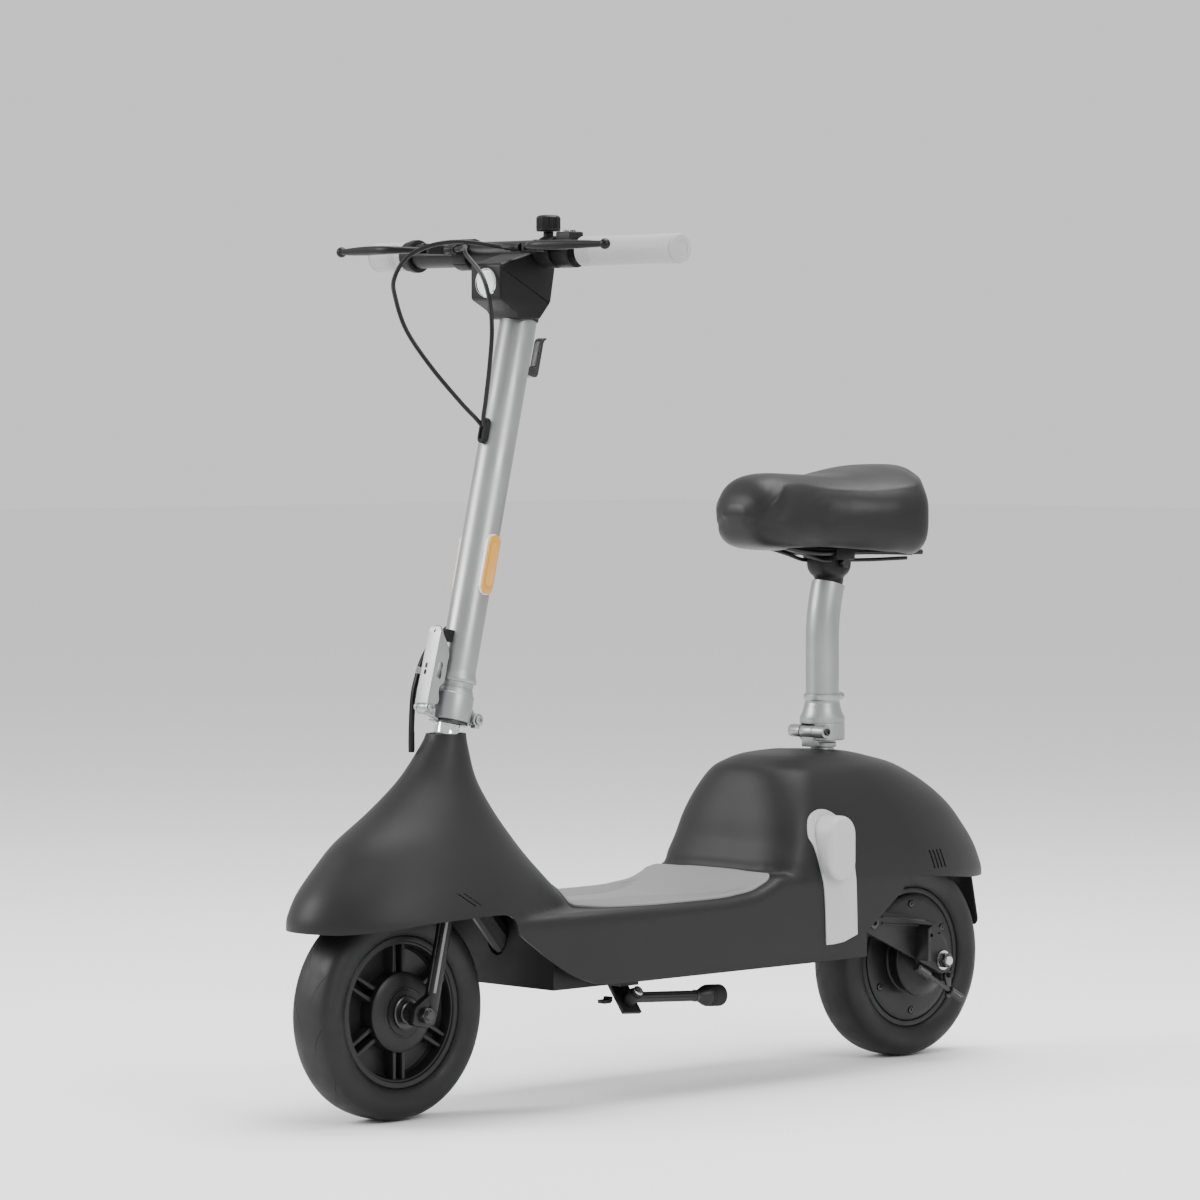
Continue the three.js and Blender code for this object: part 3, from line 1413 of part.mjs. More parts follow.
// A perch: clamp round the bar, arm forward to the lever's pivot, cable stop at its inner end.
function perch(name, side, start, extra = []) {
  const x = (out) => side * (start + out);
  const front = -leverPivotReach - perchNose;
  const outline = [
    [0, 0], [0, -perchWaist], [leverPivotOut - leverRootWidth, front], [leverPivotOut + perchEdge, front],
    [leverPivotOut + perchEdge, perchEdge - leverPivotReach], [clampWidth, -barRadius], [clampWidth, 0],
  ].map(([u, v]) => [x(u), v]);
  const half = perchThickness / 2;
  const room = leverThickness / 2 + runningGap;
  const place = [x(leverPivotOut), -leverPivotReach];
  const stop = rod('x', cableRadius * 2, cableStopLength, [x(-cableStopLength / 4), -cableStopReach,
    perchBarRise], smallSides);
  const link = span(
    [Math.min(x(0), x(clampWidth / 2)), Math.max(x(0), x(clampWidth / 2))],
    [-cableStopReach - cableRadius * 2, 0], [perchBarRise - half, perchBarRise + half]);
  const body = join(
    rod('x', clampRadius, clampWidth, [x(clampWidth / 2), 0, 0]),
    planPlate(outline, perchBarRise - half, perchBarRise + half), link, stop, ...extra,
  );
  const gateFrom = x(leverPivotOut - perchGate);
  const gateTo = x(leverPivotOut + leverRootWidth * 2);
  const gate = span([Math.min(gateFrom, gateTo), Math.max(gateFrom, gateTo)],
    [-leverPivotReach * 2, perchGate - leverPivotReach], [perchBarRise - room, perchBarRise + room]);
  const pin = rod('z', leverPivotRadius, perchThickness, [...place, perchBarRise], smallSides);
  return blackPlastic(name,
    cut(join(cut(body, gate), pin), rod('x', barRadius + fit, 2 * barHalfLength)));
}

// A lever, about its pivot: it reaches forwards, then outwards along the bar, and ends in a ball.
function brakeLever(name, side) {
  const half = leverThickness / 2;
  const spine = leverSpineShares.map(([u, v]) => [u * leverLength, v * leverForward]);
  const edge = (sign) => spine.map(([u, v], i) => {
    const [u0, v0] = spine[Math.max(i - 1, 0)];
    const [u1, v1] = spine[Math.min(i + 1, spine.length - 1)];
    const run = Math.hypot(u1 - u0, v1 - v0);
    const wide = lerp(leverRootWidth, leverTipWidth, Math.min(2 * i / spine.length, 1)) / 2;
    return [u - sign * wide * (v1 - v0) / run, v + sign * wide * (u1 - u0) / run];
  });
  const outline = [...edge(1), ...edge(-1).reverse()].map(([u, v]) => [side * u, v]);
  const [tipU, tipV] = spine[spine.length - 1];
  return blackMetal(name, cut(
    join(planPlate(outline, -half, half), rod('z', leverRootWidth / 2, leverThickness),
      ball(leverBallRadius, [side * tipU, tipV, 0])),
    rod('z', leverPivotRadius + fit, 4 * leverThickness, [0, 0, 0], smallSides),
  ));
}

const buttonFloor = barRadius + podWall;

function controlPod() {
  const middle = podStart + podWidth / 2;
  const top = clampRadius + podHeight / 2;
  const room = buttonRadius + fit;
  const wells = [-1, 1].map((side) => rod('z', room, podHeight * 2, [middle, side * buttonSpacing / 2,
    buttonFloor + podHeight], smallSides));
  return blackPlastic('control_pod', cut(
    join(
      rod('x', clampRadius, podWidth, [middle, 0, 0]),
      block(podWidth, podDepth, podHeight * 2, [middle, 0, top - podHeight]),
    ),
    rod('x', barRadius + fit, 4 * podWidth, [middle, 0, 0]),
    ...wells,
  ));
}

function button(name, side, colour) {
  const floor = buttonFloor + buttonTravel + fit;
  const height = clampRadius + podHeight / 2 + buttonHeight - floor;
  return piece(name, rod('z', buttonRadius, height, [podStart + podWidth / 2, side * buttonSpacing / 2,
    floor + height / 2], smallSides), colour, 0.5, 0);
}

function throttle() {
  const from = rightBlackEnd + fit;
  const to = rightGripStart - fit;
  const paddle = span([-from - throttleWidth, -from], [paddleRoot, throttleRadius + throttleReach],
    [-throttleThickness, 0]);
  return blackPlastic('throttle_lever', cut(
    join(rod('x', throttleRadius, to - from, [-(from + to) / 2, 0, 0]), paddle),
      rod('x', barEndRadius + fit, 4 * rightGripStart)));
}

function bellPost() {
  return rod('z', bellPostRadius, clampRadius + bellPostHeight,
    [bellX, 0, (clampRadius + bellPostHeight) / 2]);
}

function bellRing() {
  const from = clampRadius + bellPostHeight + fit;
  return blackPlastic('bell', lathed('z', [
    [0, from], [bellRadius - bellBase / 2, from], [bellRadius, from + bellBase / 2],
    [bellRadius, from + bellHeight - bellBase / 2],
    [bellRadius - bellBase / 2, from + bellHeight], [0, from + bellHeight],
  ], [bellX, 0, 0]));
}

// Moves a shape from the steering axis's frame to the level frame at the middle of the bar.
function levelled(geometry) {
  return geometry.translate(0, -barY, -barRise).rotateX(-rakeAngle);
}

// Moves a shape from the steering axis's frame to the ground's.
function inRideFrame(geometry) {
  return geometry.rotateX(-rakeAngle).translate(0, rideFrame.y, rideFrame.z);
}

function headHousing() {
  const side = [
    [-housingFront, -housingBrow], [-housingFront, -housingNose], [-housingChin, -housingChinDrop],
    [-housingToe, -housingBottom], [0, -housingBottom], [housingHeel, -housingShelf],
    [housingRear, -housingBackDrop],
    [housingBackTop, 0], [-barRadius, 0],
  ];
  const stemSpigot = rod('z', stemRadius - stemWall - fit, housingSpigot * 2, [0, 0, stemTop + fit],
    roundSides);
  const neck = rod('z', housingNeckRadius, housingSpigot, [0, 0, stemTop + fit + housingSpigot / 2],
    tubeSides);
  const under = rod('z', housingNeckRadius * 2, housingSpigot * 4,
    [0, 0, stemTop + fit - housingSpigot * 2], roundSides);
  const body = cut(sidePlate(side, -housingHalfWidth, housingHalfWidth), levelled(under));
  return blackPlastic('head_housing', cut(
    join(body, levelled(neck), levelled(stemSpigot)),
    rod('x', barRadius + fit, 4 * housingHalfWidth),
    rod('y', lensRadius + fit, 2 * (lensDepth + fit), [0, -housingFront, -lensDrop], tubeSides),
  ));
}

function headlight() {
  const back = lensDepth - housingFront;
  return piece('headlight', lathed('y', [
    [0, back], [lensRadius, back], [lensRadius, -housingFront],
    [lensFlatRadius, -housingFront - lensDome / 2],
    [0, -housingFront - lensDome],
  ], [0, 0, -lensDrop], tubeSides), 0xf2f3f4, 0.1, 0);
}

// Cables, made whole along their routes from the lever perches to the grommet

function brakeCable(name, route) {
  const face = -stemRadius - grommetDepth - fit;
  const block = span([-grommetHalfWidth * 2, grommetHalfWidth * 2], [face, 0],
    [grommetRise - grommetHeight, grommetRise + grommetHeight]);
  const barMiddle = axisPoint(barRise, barY);
  const laid = route.map(([x, y, z]) => [x, barMiddle[1] + y, barMiddle[2] + z]);
  return piece(name, cut(pipe(laid, cableRadius, cableSides, cableSteps), inRideFrame(block)), 0x101012,
    0.45, 0);
}

function wiringHarness() {
  const stem = rod('z', stemRadius + fit, stemTop, [0, 0, stemTop / 2 + hingeSplit + spigotLength],
    wheelSides);
  return piece('wiring_harness', cut(pipe(harnessRoute, harnessRadius, smallSides - 2, harnessSteps),
    inRideFrame(stem)), 0x101012, 0.5, 0);
}

// Kickstand: its own frame has X along the stowed leg and Z along its pivot

const stowed = new THREE.Vector3(...stowedShares).normalize();
const deployed = new THREE.Vector3(...deployedShares).normalize();
const standAxis = stowed.clone().cross(deployed).normalize();

function standFrame() {
  const basis = new THREE.Matrix4().makeBasis(stowed, standAxis.clone().cross(stowed), standAxis);
  const made = new THREE.Group();
  made.position.set(standX, standY, standZ);
  made.quaternion.setFromRotationMatrix(basis);
  return made;
}

function standLeg() {
  const barrelRod = rod('z', standBarrelRadius, standBarrelLength);
  const leg = rod('x', standLegRadius, standFootStart, [standFootStart / 2, 0, 0], smallSides);
  const flare = lathed('x', [
    [0, standFootStart - standFlareLength], [standLegRadius, standFootStart - standFlareLength],
    [standFootRadius, standFootStart], [0, standFootStart],
  ], [0, 0, 0], roundSides);
  return blackMetal('kickstand_leg',
    cut(join(barrelRod, leg, flare), rod('z', standPinRadius + fit, 4 * standBarrelLength)));
}

function standFoot() {
  const from = standFootStart + fit;
  const to = from + standFootLength;
  return rubber('kickstand_foot', lathed('x', [
    [0, from], [standFootRadius, from], [standFootRadius, to - standFootEdge],
    [standFootRadius - standFootEdge, to], [0, to],
  ]));
}

// Bracket: a pad under the belly pan, a leaning cheek, and the pin that the leg turns on
function standBracket() {
  const frameOf = standFrame();
  frameOf.updateMatrixWorld();
  const cheekAt = standBarrelLength / 2 + fit + standPlate / 2;
  const cheek = block(standPlateWidth, standPlateWidth * 2, standPlate,
    [0, -standPlateWidth / 2, cheekAt]);
  const headFrom = -standBarrelLength / 2 - fit - standPlate;
  const pin = rod('z', standPinRadius, cheekAt - headFrom, [0, 0, (cheekAt + headFrom) / 2], smallSides);
  const head = rod('z', standHeadRadius, standPlate, [0, 0, headFrom + standPlate / 2], smallSides);
  const tilted = join(cheek, pin, head).applyMatrix4(frameOf.matrixWorld);
  const padTop = panBottom - fit;
  const under = span([-bodyHalfWidth, bodyHalfWidth], [0, wheelbase], [padTop, humpTop]);
  const pad = span([standX - standFootPadLength, standX - standPlate],
    [standY - standPlateWidth / 2, standY + standPlateWidth / 2],
    [padTop - standPadThickness, padTop]);
  return blackMetal('kickstand_bracket', cut(join(tilted, pad), under));
}

// Seat post, standing at its own place on the body

function seatSocket() {
  const knuckle = join(
    rod('x', seatBarrelRadius, 2 * seatKnuckleHalf, [0, seatY - seatBarrelY, seatBarrelZ]),
    span([-seatKnuckleHalf, seatKnuckleHalf], [seatY - seatBarrelY - seatBarrelWeb, seatY],
      [seatFlangeBottom, seatFlangeTop]),
    span([-seatKnuckleHalf, seatKnuckleHalf], [seatY - seatBarrelY - seatBarrelWeb,
      seatY - seatBarrelY + seatBarrelRadius / 2],
      [seatFlangeBottom, seatBarrelZ]),
  );
  const body = lathed('z', [
    [0, seatSleeveBottom], [seatSleeveRadius, seatSleeveBottom],
    [seatSleeveRadius, seatFlangeBottom - seatTaper],
    [seatSleeveTopRadius, seatFlangeBottom], [seatFlangeRadius, seatFlangeBottom + fit],
    [seatFlangeRadius, seatFlangeTop], [0, seatFlangeTop],
  ], [0, seatY, 0], tubeSides);
  const place = [seatY - seatBarrelY, seatBarrelZ];
  const reach = seatBarrelHalf + fit;
  return silver('seat_socket', join(
    body, knuckle, rod('x', hingePinRadius, 2 * reach, [0, ...place], smallSides),
    ...[-1, 1].map((side) => hexagon('x', boltHeadRadius, hingePinRadius,
      [side * (reach + hingePinRadius / 2), ...place])),
  ));
}

function seatBend(share) {
  return [0, seatY + seatPostTopShift * share ** 2, lerp(seatBendZ, seatPostTopZ, share)];
}

const seatBendShares = [0, 0.35, 0.7, 1];
const lastBendShare = seatBendShares[2];
const postTop = seatBend(1);

// Collar, cone, bead and the bent tube, welded up as one post
function seatPost() {
  const top = seatCollarBottom + seatCollarHeight;
  const inside = seatPostRadius - seatPostWall;
  const y = seatY - seatBarrelY;
  const body = lathed('z', [
    [0, seatCollarBottom], [seatCollarRadius, seatCollarBottom], [seatCollarRadius, top],
    [seatConeRadius, seatConeTop],
    [seatConeRadius, seatBeadBottom], [seatBeadRadius, seatBeadBottom + fit * 3],
    [seatBeadRadius, seatBeadTop - fit * 3],
    [seatConeRadius, seatBeadTop], [0, seatBeadTop],
  ], [0, seatY, 0], tubeSides);
  const route = [[0, seatY, seatBeadBottom], [0, seatY, lerp(seatBeadTop, seatBendZ, lastBendShare)],
    ...seatBendShares.map(seatBend)];
  const tube = pipe(route, seatPostRadius, tubeSides, seatPostSteps, inside);
  const barrelRod = rod('x', seatBarrelRadius, 2 * seatBarrelHalf, [0, y, seatBarrelZ]);
  const web = span([-seatCollarWeb, seatCollarWeb], [y, seatY],
    [seatBarrelZ - seatCollarWebDrop, seatBarrelZ + seatBarrelRadius]);
  const reach = seatBarrelRadius + runningGap;
  const notchHalf = seatKnuckleHalf + runningGap;
  return silver('seat_post', cut(
    join(body, barrelRod, web, tube),
    rod('x', reach, 2 * notchHalf, [0, y, seatBarrelZ]),
    span([-notchHalf, notchHalf], [y - seatCollarRadius, y + reach * 0.6],
      [seatCollarBottom - overrun, seatBarrelZ + reach]),
    rod('x', hingePinRadius + fit, 4 * seatBarrelHalf, [0, y, seatBarrelZ], smallSides),
    rod('y', lockPinRadius + fit, seatCollarRadius,
      [0, seatY + seatConeRadius, (seatBeadBottom + seatBeadTop) / 2], smallSides),
  ));
}

function lockPin() {
  const z = (seatBeadBottom + seatBeadTop) / 2;
  const from = seatY + seatConeRadius - seatCollarRadius / 2 + fit;
  const to = seatY + seatBeadRadius + lockPinReach;
  return silver('seat_lock_pin', join(
    rod('y', lockPinRadius, to - from, [0, (from + to) / 2, z], smallSides),
    rod('y', lockKnobRadius, lockKnobLength, [0, to - lockKnobLength / 2, z], smallSides),
  ));
}


function seatClamp() {
  const [, nearY, nearZ] = seatBend(lastBendShare);
  const lean = Math.atan2(postTop[1] - nearY, postTop[2] - nearZ);
  const plug = rod('z', seatPostRadius - seatPostWall - fit * 3, clampPlugLength * 2, [0, 0, 0],
    roundSides).rotateX(-lean).translate(...postTop);
  const cap = rod('z', seatPostRadius + fit * 4, clampPlugLength * 2, [0, 0, clampPlugLength + fit * 3],
    roundSides).rotateX(-lean).translate(...postTop);
  const head = span([-clampBlockHalfX, clampBlockHalfX],
    [postTop[1] - clampBlockHalfY, postTop[1] + clampBlockHalfY],
    [seatPostTopZ + clampPlugLength, clampTop]);
  const bolt = rod('x', hingePinRadius * 2, 2 * (railHalfX + railRadius * 2),
    [0, postTop[1], clampTop - hingePinRadius * 2], smallSides);
  const above = span([-bodyHalfWidth, bodyHalfWidth], [0, wheelbase], [clampTop, neckTop + clampTop]);
  const grip = span([-railHalfX - railRadius * 2, railHalfX + railRadius * 2],
    [postTop[1] - clampGripHalfY, postTop[1] + clampGripHalfY],
    [clampTop - clampGripWall, railHeight + railRadius + clampGripWall]);
  return blackMetal('seat_clamp', cut(
    join(cut(join(plug, cap, head, bolt), above), grip), seatRail(-1, railRadius + fit),
      seatRail(1, railRadius + fit)));
}

function seatRail(side, radius) {
  const y = postTop[1];
  const path = railShares.map(([across, run, rise]) => [
    side * railHalfX * across, y + run * (run < 0 ? railFront : railRear),
    railHeight + rise * railFrontRise,
  ]);
  return pipe(path, radius, cableSides, railSteps);
}

function seatRails() {
  const y = postTop[1];
  const nose = rod('x', railNoseRadius, 2 * railNoseHalf, [0, y - railFront, railHeight + railFrontRise],
    smallSides);
  const tail = rod('x', railRadius, 2 * railTailHalf, [0, y + railTailReach, railHeight], smallSides);
  const posts = [-1, 1].map((side) => rod('z', railPostRadius, saddlePanBottom - fit - railHeight,
    [side * railPostX, y + railTailReach, (saddlePanBottom - fit + railHeight) / 2], smallSides));
  return blackMetal('seat_rails', join(seatRail(-1, railRadius), seatRail(1, railRadius), nose, tail,
    ...posts));
}

function saddleRing(i) {
  const y = seatY + lerp(saddleNoseY, saddleTailY, saddleRunShares[i]);
  const wide = saddleHalfWidth * saddleWidthShares[i];
  const top = lerp(saddleBottom, saddleTop, saddleTopShares[i]);
  const floor = lerp(saddleBottom, saddleTop, saddleFloorShares[i]);
  const ring = [];
  for (let k = 0; k < saddleSides; k++) {
    const angle = 2 * Math.PI * k / saddleSides;
    const c = Math.cos(angle), s = Math.sin(angle);
    const square = s > 0 ? saddleCrownSquare : saddleSkirtSquare;
    const x = wide * Math.sign(c) * Math.abs(c) ** square.across;
    const crown = Math.sign(s) * Math.abs(s) ** square.up;
    ring.push(new THREE.Vector3(x, y, (top + floor) / 2 + (top - floor) / 2 * crown));
  }
  return ring;
}

function saddleForm() {
  return skin(saddleRunShares.map((_, i) => saddleRing(i)));
}

// The room for the pan as an outline from above, drawn in by a margin and shorter at both ends
function saddlePlan(margin, nose, tail) {
  const start = saddleNoseY + nose;
  const end = saddleTailY - tail;
  const inside = saddleRunShares.map(share => lerp(saddleNoseY, saddleTailY, share))
    .filter(y => y > start && y < end);
  const rows = [start, ...inside, end].map(y => [saddleWidthAt(y) - margin, seatY + y]);
  return [...rows, ...rows.map(([x, y]) => [-x, y]).reverse()];
}

function saddleWidthAt(y) {
  const share = (y - saddleNoseY) / (saddleTailY - saddleNoseY);
  const next = saddleRunShares.findIndex(run => run >= share);
  const [low, high] = [saddleRunShares[next - 1], saddleRunShares[next]];
  return saddleHalfWidth * lerp(saddleWidthShares[next - 1], saddleWidthShares[next],
    (share - low) / (high - low));
}

function saddlePan() {
  const plan = saddlePlan(saddlePanMargin, saddlePanNose, saddlePanTail);
  return blackPlastic('saddle_pan',
    planPlate(plan, saddlePanBottom, saddlePanBottom + saddlePanThickness));
}

function saddle() {
  const plan = saddlePlan(saddlePanMargin - fit, saddlePanNose - fit, saddlePanTail - fit);
  const room = planPlate(plan, saddleBottom - overrun, saddlePanBottom + saddlePanThickness + fit);
  return piece('saddle', cut(saddleForm(), room), 0x323234, 0.55, 0);
}

// Assembly

const steering = group([0, rideFrame.y, rideFrame.z],
  forkCrown(), forkLeg('fork_leg_left', 1), forkLeg('fork_leg_right', -1), headsetNut(), stemBase(),
  stemTube(), grommet(), reflector('reflector_left', 1), reflector('reflector_right', -1), bagHook(),
  group([0, latchPivotY, hingeSplit + latchPivotRise], latchLever()),
);
steering.rotation.x = -rakeAngle;

const frontWheel = group([0, -forkOffset, 0], tyre('front_tyre'), spokedRim(),
  axleWithNuts('front_axle', legSpacing + lugThickness / 2 + nutHeight + axleStub,
  legSpacing + lugThickness / 2 + fit));
frontWheel.rotation.x = rakeAngle;

const bar = group([0, barY, barRise],
  handlebar(), grip('grip_left', 1, leftGripStart), grip('grip_right', -1, rightGripStart),
  perch('lever_perch_left', 1, leftPerchStart, [bellPost()]),
    perch('lever_perch_right', -1, rightPerchStart),
  group([leftPerchStart + leverPivotOut, -leverPivotReach, perchBarRise],
    brakeLever('brake_lever_left', 1)),
  group([-rightPerchStart - leverPivotOut, -leverPivotReach, perchBarRise],
    brakeLever('brake_lever_right', -1)),
  controlPod(), button('horn_button', 1, 0xb23a2e), button('light_button', -1, 0x3f7f5a),
  throttle(), bellRing(), headHousing(), headlight(),
);
bar.rotation.x = rakeAngle;
steering.add(frontWheel, bar);

const kickstand = standFrame();
kickstand.add(standLeg(), standFoot());

const scooter = new THREE.Group();
scooter.add(
  bodyShell(), deckMat(), sideStrip('side_strip_left', 1), sideStrip('side_strip_right', -1),
    chargeCover(), chargeSocket(),
  frame(), battery(), controller(), bellyPan(), mudflap(),
  rearArm('rear_arm_left', 1), rearArm('rear_arm_right', -1), brakeRod(), standBracket(), kickstand,
  steering, brakeCable('brake_cable_left', leftCableRoute),
  brakeCable('brake_cable_right', rightCableRoute), wiringHarness(),
  group([0, rearAxleY, wheelRadius],
    tyre('rear_tyre'), hubMotor(),
    axleWithNuts('rear_axle', rearAxleEnd, armX + armThickness / 2 + fit), brakePlate(),
    group([0, ...camPlace], brakeArm())),
  seatSocket(), seatPost(), lockPin(), seatClamp(), seatRails(), saddlePan(), saddle(),
);
scooter.position.y = -(noseY + tailY) / 2;

export default scooter;
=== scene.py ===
import math
import bmesh
import bpy
import numpy as np
from mathutils import Matrix, Vector
from mathutils.bvhtree import BVHTree


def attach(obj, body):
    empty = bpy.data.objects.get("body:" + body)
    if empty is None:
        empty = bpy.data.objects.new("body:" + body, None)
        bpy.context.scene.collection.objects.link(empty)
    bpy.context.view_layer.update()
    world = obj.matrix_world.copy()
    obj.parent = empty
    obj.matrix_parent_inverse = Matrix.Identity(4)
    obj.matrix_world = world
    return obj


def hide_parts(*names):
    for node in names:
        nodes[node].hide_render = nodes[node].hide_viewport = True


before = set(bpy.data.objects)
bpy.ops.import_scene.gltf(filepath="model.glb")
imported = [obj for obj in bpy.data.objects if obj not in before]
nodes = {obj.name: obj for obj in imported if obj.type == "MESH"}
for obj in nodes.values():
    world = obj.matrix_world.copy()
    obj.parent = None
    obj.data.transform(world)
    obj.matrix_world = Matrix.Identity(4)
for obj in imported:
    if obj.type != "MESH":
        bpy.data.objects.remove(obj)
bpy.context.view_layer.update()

# Camera, floor and light. A long lens stands low beside the front wheel, and a pale studio cove
# with three soft boxes lights the scooter. Sizes below are millimetres on the ground, with Y
# counted from under the front axle, which lies 436 mm ahead of the scooter's own middle.
front_axle_to_middle = 436
ground = Matrix.Scale(0.001, 4) @ Matrix.Translation((0, -front_axle_to_middle, 0))

lens = bpy.data.cameras.new("studio_camera")
lens.lens = 154.85
lens.sensor_width = 36
lens.clip_end = 60
camera = bpy.data.objects.new("studio_camera", lens)
camera.location = (4.454, -4.4362, 0.823)
camera.rotation_euler = (math.radians(90 - 2.09), 0, math.radians(45.71))
bpy.context.collection.objects.link(camera)
bpy.context.scene.camera = camera

sky = bpy.data.worlds.new("studio_white")
sky.use_nodes = True
sky.node_tree.nodes["Background"].inputs["Color"].default_value = (1, 1, 1, 1)
sky.node_tree.nodes["Background"].inputs["Strength"].default_value = 0.9
bpy.context.scene.world = sky

for light_name, place, size, watts in [
    ("soft_box_left", (-2.6, -3.4, 2.6), 2.2, 190),
    ("soft_box_right", (3.6, -0.4, 2.4), 1.6, 80),
    ("soft_box_top", (0.2, 0.6, 3.6), 2.6, 190),
]:
    bulb = bpy.data.lights.new(light_name, "AREA")
    bulb.size, bulb.energy = size, watts
    box = bpy.data.objects.new(light_name, bulb)
    box.location = place
    box.rotation_euler = (Vector((0, 0, 0.45)) - Vector(place)).to_track_quat("-Z", "Y").to_euler()
    bpy.context.collection.objects.link(box)


class Wire:
    """One socket of a node, so that sums on it read as sums."""

    def __init__(self, plan, socket):
        self.plan, self.socket = plan, socket

    def sum(self, operation, *terms):
        return self.plan.node("ShaderNodeMath", {"operation": operation}, dict(enumerate(terms)))

    def __add__(self, other):
        return self.sum("ADD", self, other)

    def __radd__(self, other):
        return self.sum("ADD", other, self)

    def __sub__(self, other):
        return self.sum("SUBTRACT", self, other)

    def __rsub__(self, other):
        return self.sum("SUBTRACT", other, self)

    def __mul__(self, other):
        return self.sum("MULTIPLY", self, other)

    def __rmul__(self, other):
        return self.sum("MULTIPLY", other, self)

    def __truediv__(self, other):
        return self.sum("DIVIDE", self, other)

    def __abs__(self):
        return self.sum("ABSOLUTE", self)


class Plan:
    """A node tree that hands out its nodes' outputs as wires."""

    def __init__(self, tree):
        self.tree = tree

    def node(self, kind, settings=None, inputs=None, output=0):
        made = self.tree.nodes.new(kind)
        for key, value in (settings or {}).items():
            if key == "stops":
                ramp = made.color_ramp
                while len(ramp.elements) < len(value):
                    ramp.elements.new(1)
                for stop, (at, shade) in zip(ramp.elements, value):
                    stop.position, stop.color = at, shade if len(shade) == 4 else (*shade, 1)
            else:
                setattr(made, key, value)
        for key, value in (inputs or {}).items():
            if isinstance(value, Wire):
                self.tree.links.new(value.socket, made.inputs[key])
            else:
                made.inputs[key].default_value = value
        return Wire(self, made.outputs[output])


class Finish(Plan):
    """A material whose colour, roughness and relief are worked out from the object's own coordinates."""

    def __init__(self, name, colour, roughness, metallic=0.0, **fixed):
        self.material = bpy.data.materials.new(name)
        self.material.use_nodes = True
        super().__init__(self.material.node_tree)
        self.surface = self.tree.nodes["Principled BSDF"]
        self.surface.inputs["Base Color"].default_value = (*colour, 1)
        self.surface.inputs["Roughness"].default_value = roughness
        self.surface.inputs["Metallic"].default_value = metallic
        for key, value in fixed.items():
            self.surface.inputs[key.replace("_", " ")].default_value = value
        self.colour = colour

    def place(self):
        """Object coordinates in metres, counted from under the front axle."""
        coordinates = self.node("ShaderNodeTexCoord", output="Object")
        return self.node("ShaderNodeVectorMath", {"operation": "SUBTRACT"}, {0: coordinates, 1: ground.translation})

    def noise(self, scale, detail=3.0, vector=None):
        return self.node("ShaderNodeTexNoise", inputs={
            "Vector": vector or self.place(), "Scale": scale, "Detail": detail, "Roughness": 0.5}, output="Fac")

    def stretch(self, vector, by):
        return self.node("ShaderNodeVectorMath", {"operation": "MULTIPLY"}, {0: vector, 1: by})

    def steps(self, value, low, high, to_low=0.0, to_high=1.0):
        return self.node("ShaderNodeMapRange", {"interpolation_type": "SMOOTHSTEP"}, {
            "Value": value, "From Min": low, "From Max": high, "To Min": to_low, "To Max": to_high})

    def mix(self, share, one, other):
        """A colour between two; a mix node keeps its factor at socket 0 and its colours at 6, 7 and output 2."""
        def shade(c):
            return c if isinstance(c, Wire) else (*c, 1)
        return self.node("ShaderNodeMix", {"data_type": "RGBA"}, {0: share, 6: shade(one), 7: shade(other)}, output=2)

    def feed(self, **wires):
        for key, wire in wires.items():
            self.tree.links.new(wire.socket, self.surface.inputs[key.replace("_", " ")])

    def relief(self, height, depth, strength=1.0):
        bump = self.node("ShaderNodeBump", inputs={"Height": height, "Distance": depth, "Strength": strength})
        self.feed(Normal=bump)

    def mottled(self, spread=0.12, scale=40, rough=0.06):
        """Slight cloudiness in colour and gloss, as on any handled surface."""
        cloud = self.noise(scale, 4)
        darker = tuple(c * (1 - spread) for c in self.colour)
        lighter = tuple(min(1, c * (1 + spread)) for c in self.colour)
        base = self.surface.inputs["Roughness"].default_value
        self.feed(Base_Color=self.mix(cloud, darker, lighter),
                  Roughness=self.steps(cloud, 0.3, 0.7, base - rough, base + rough))
        return cloud


floor_mesh = bpy.data.meshes.new("studio_floor")
floor_mesh.from_pydata([(-30, -30, 0), (30, -30, 0), (30, 30, 0), (-30, 30, 0)], [], [(0, 1, 2, 3)])
studio_floor = bpy.data.objects.new("studio_floor", floor_mesh)
bpy.context.collection.objects.link(studio_floor)
studio_floor.location.z = -0.0006
floor_paper = Finish("studio_paper", (0.93, 0.93, 0.93), 0.9)
floor_paper.mottled(0.004, 1.5, 0.02)
floor_mesh.materials.append(floor_paper.material)

# Welded frame with what it carries. Steel tubes and box beams, welded and powder coated satin
# black; the battery is shrink-wrapped in blue, and the controller sits in a finned alloy case.


def dress(node_name, finish):
    """Gives a bought-in or plain piece, kept as it comes, its finish."""
    for held in nodes[node_name].material_slots:
        held.link = "OBJECT"
        held.material = finish.material


powder_coat = Finish("satin_black_powder_coat", (0.007, 0.007, 0.0075), 0.42, Specular_IOR_Level=0.3)
orange_peel = powder_coat.noise(900, 2)
powder_coat.mottled(0.2, 30, 0.07)
powder_coat.relief(orange_peel, 0.0004, 0.25)
for welded_piece in ("frame", "kickstand_bracket"):
    dress(welded_piece, powder_coat)

blue_wrap = Finish("blue_battery_wrap", (0.02, 0.09, 0.24), 0.28)
blue_wrap.mottled(0.15, 14, 0.08)
blue_wrap.relief(blue_wrap.noise(45, 5), 0.002, 0.35)
dress("battery_pack", blue_wrap)

finned_alloy = Finish("finned_alloy", (0.55, 0.56, 0.57), 0.38, 0.9)
drawn_lines = finned_alloy.noise(60, 3, vector=finned_alloy.stretch(finned_alloy.place(), (40, 0.6, 40)))
finned_alloy.mottled(0.08, 25, 0.08)
finned_alloy.relief(drawn_lines, 0.0003, 0.3)
dress("controller", finned_alloy)

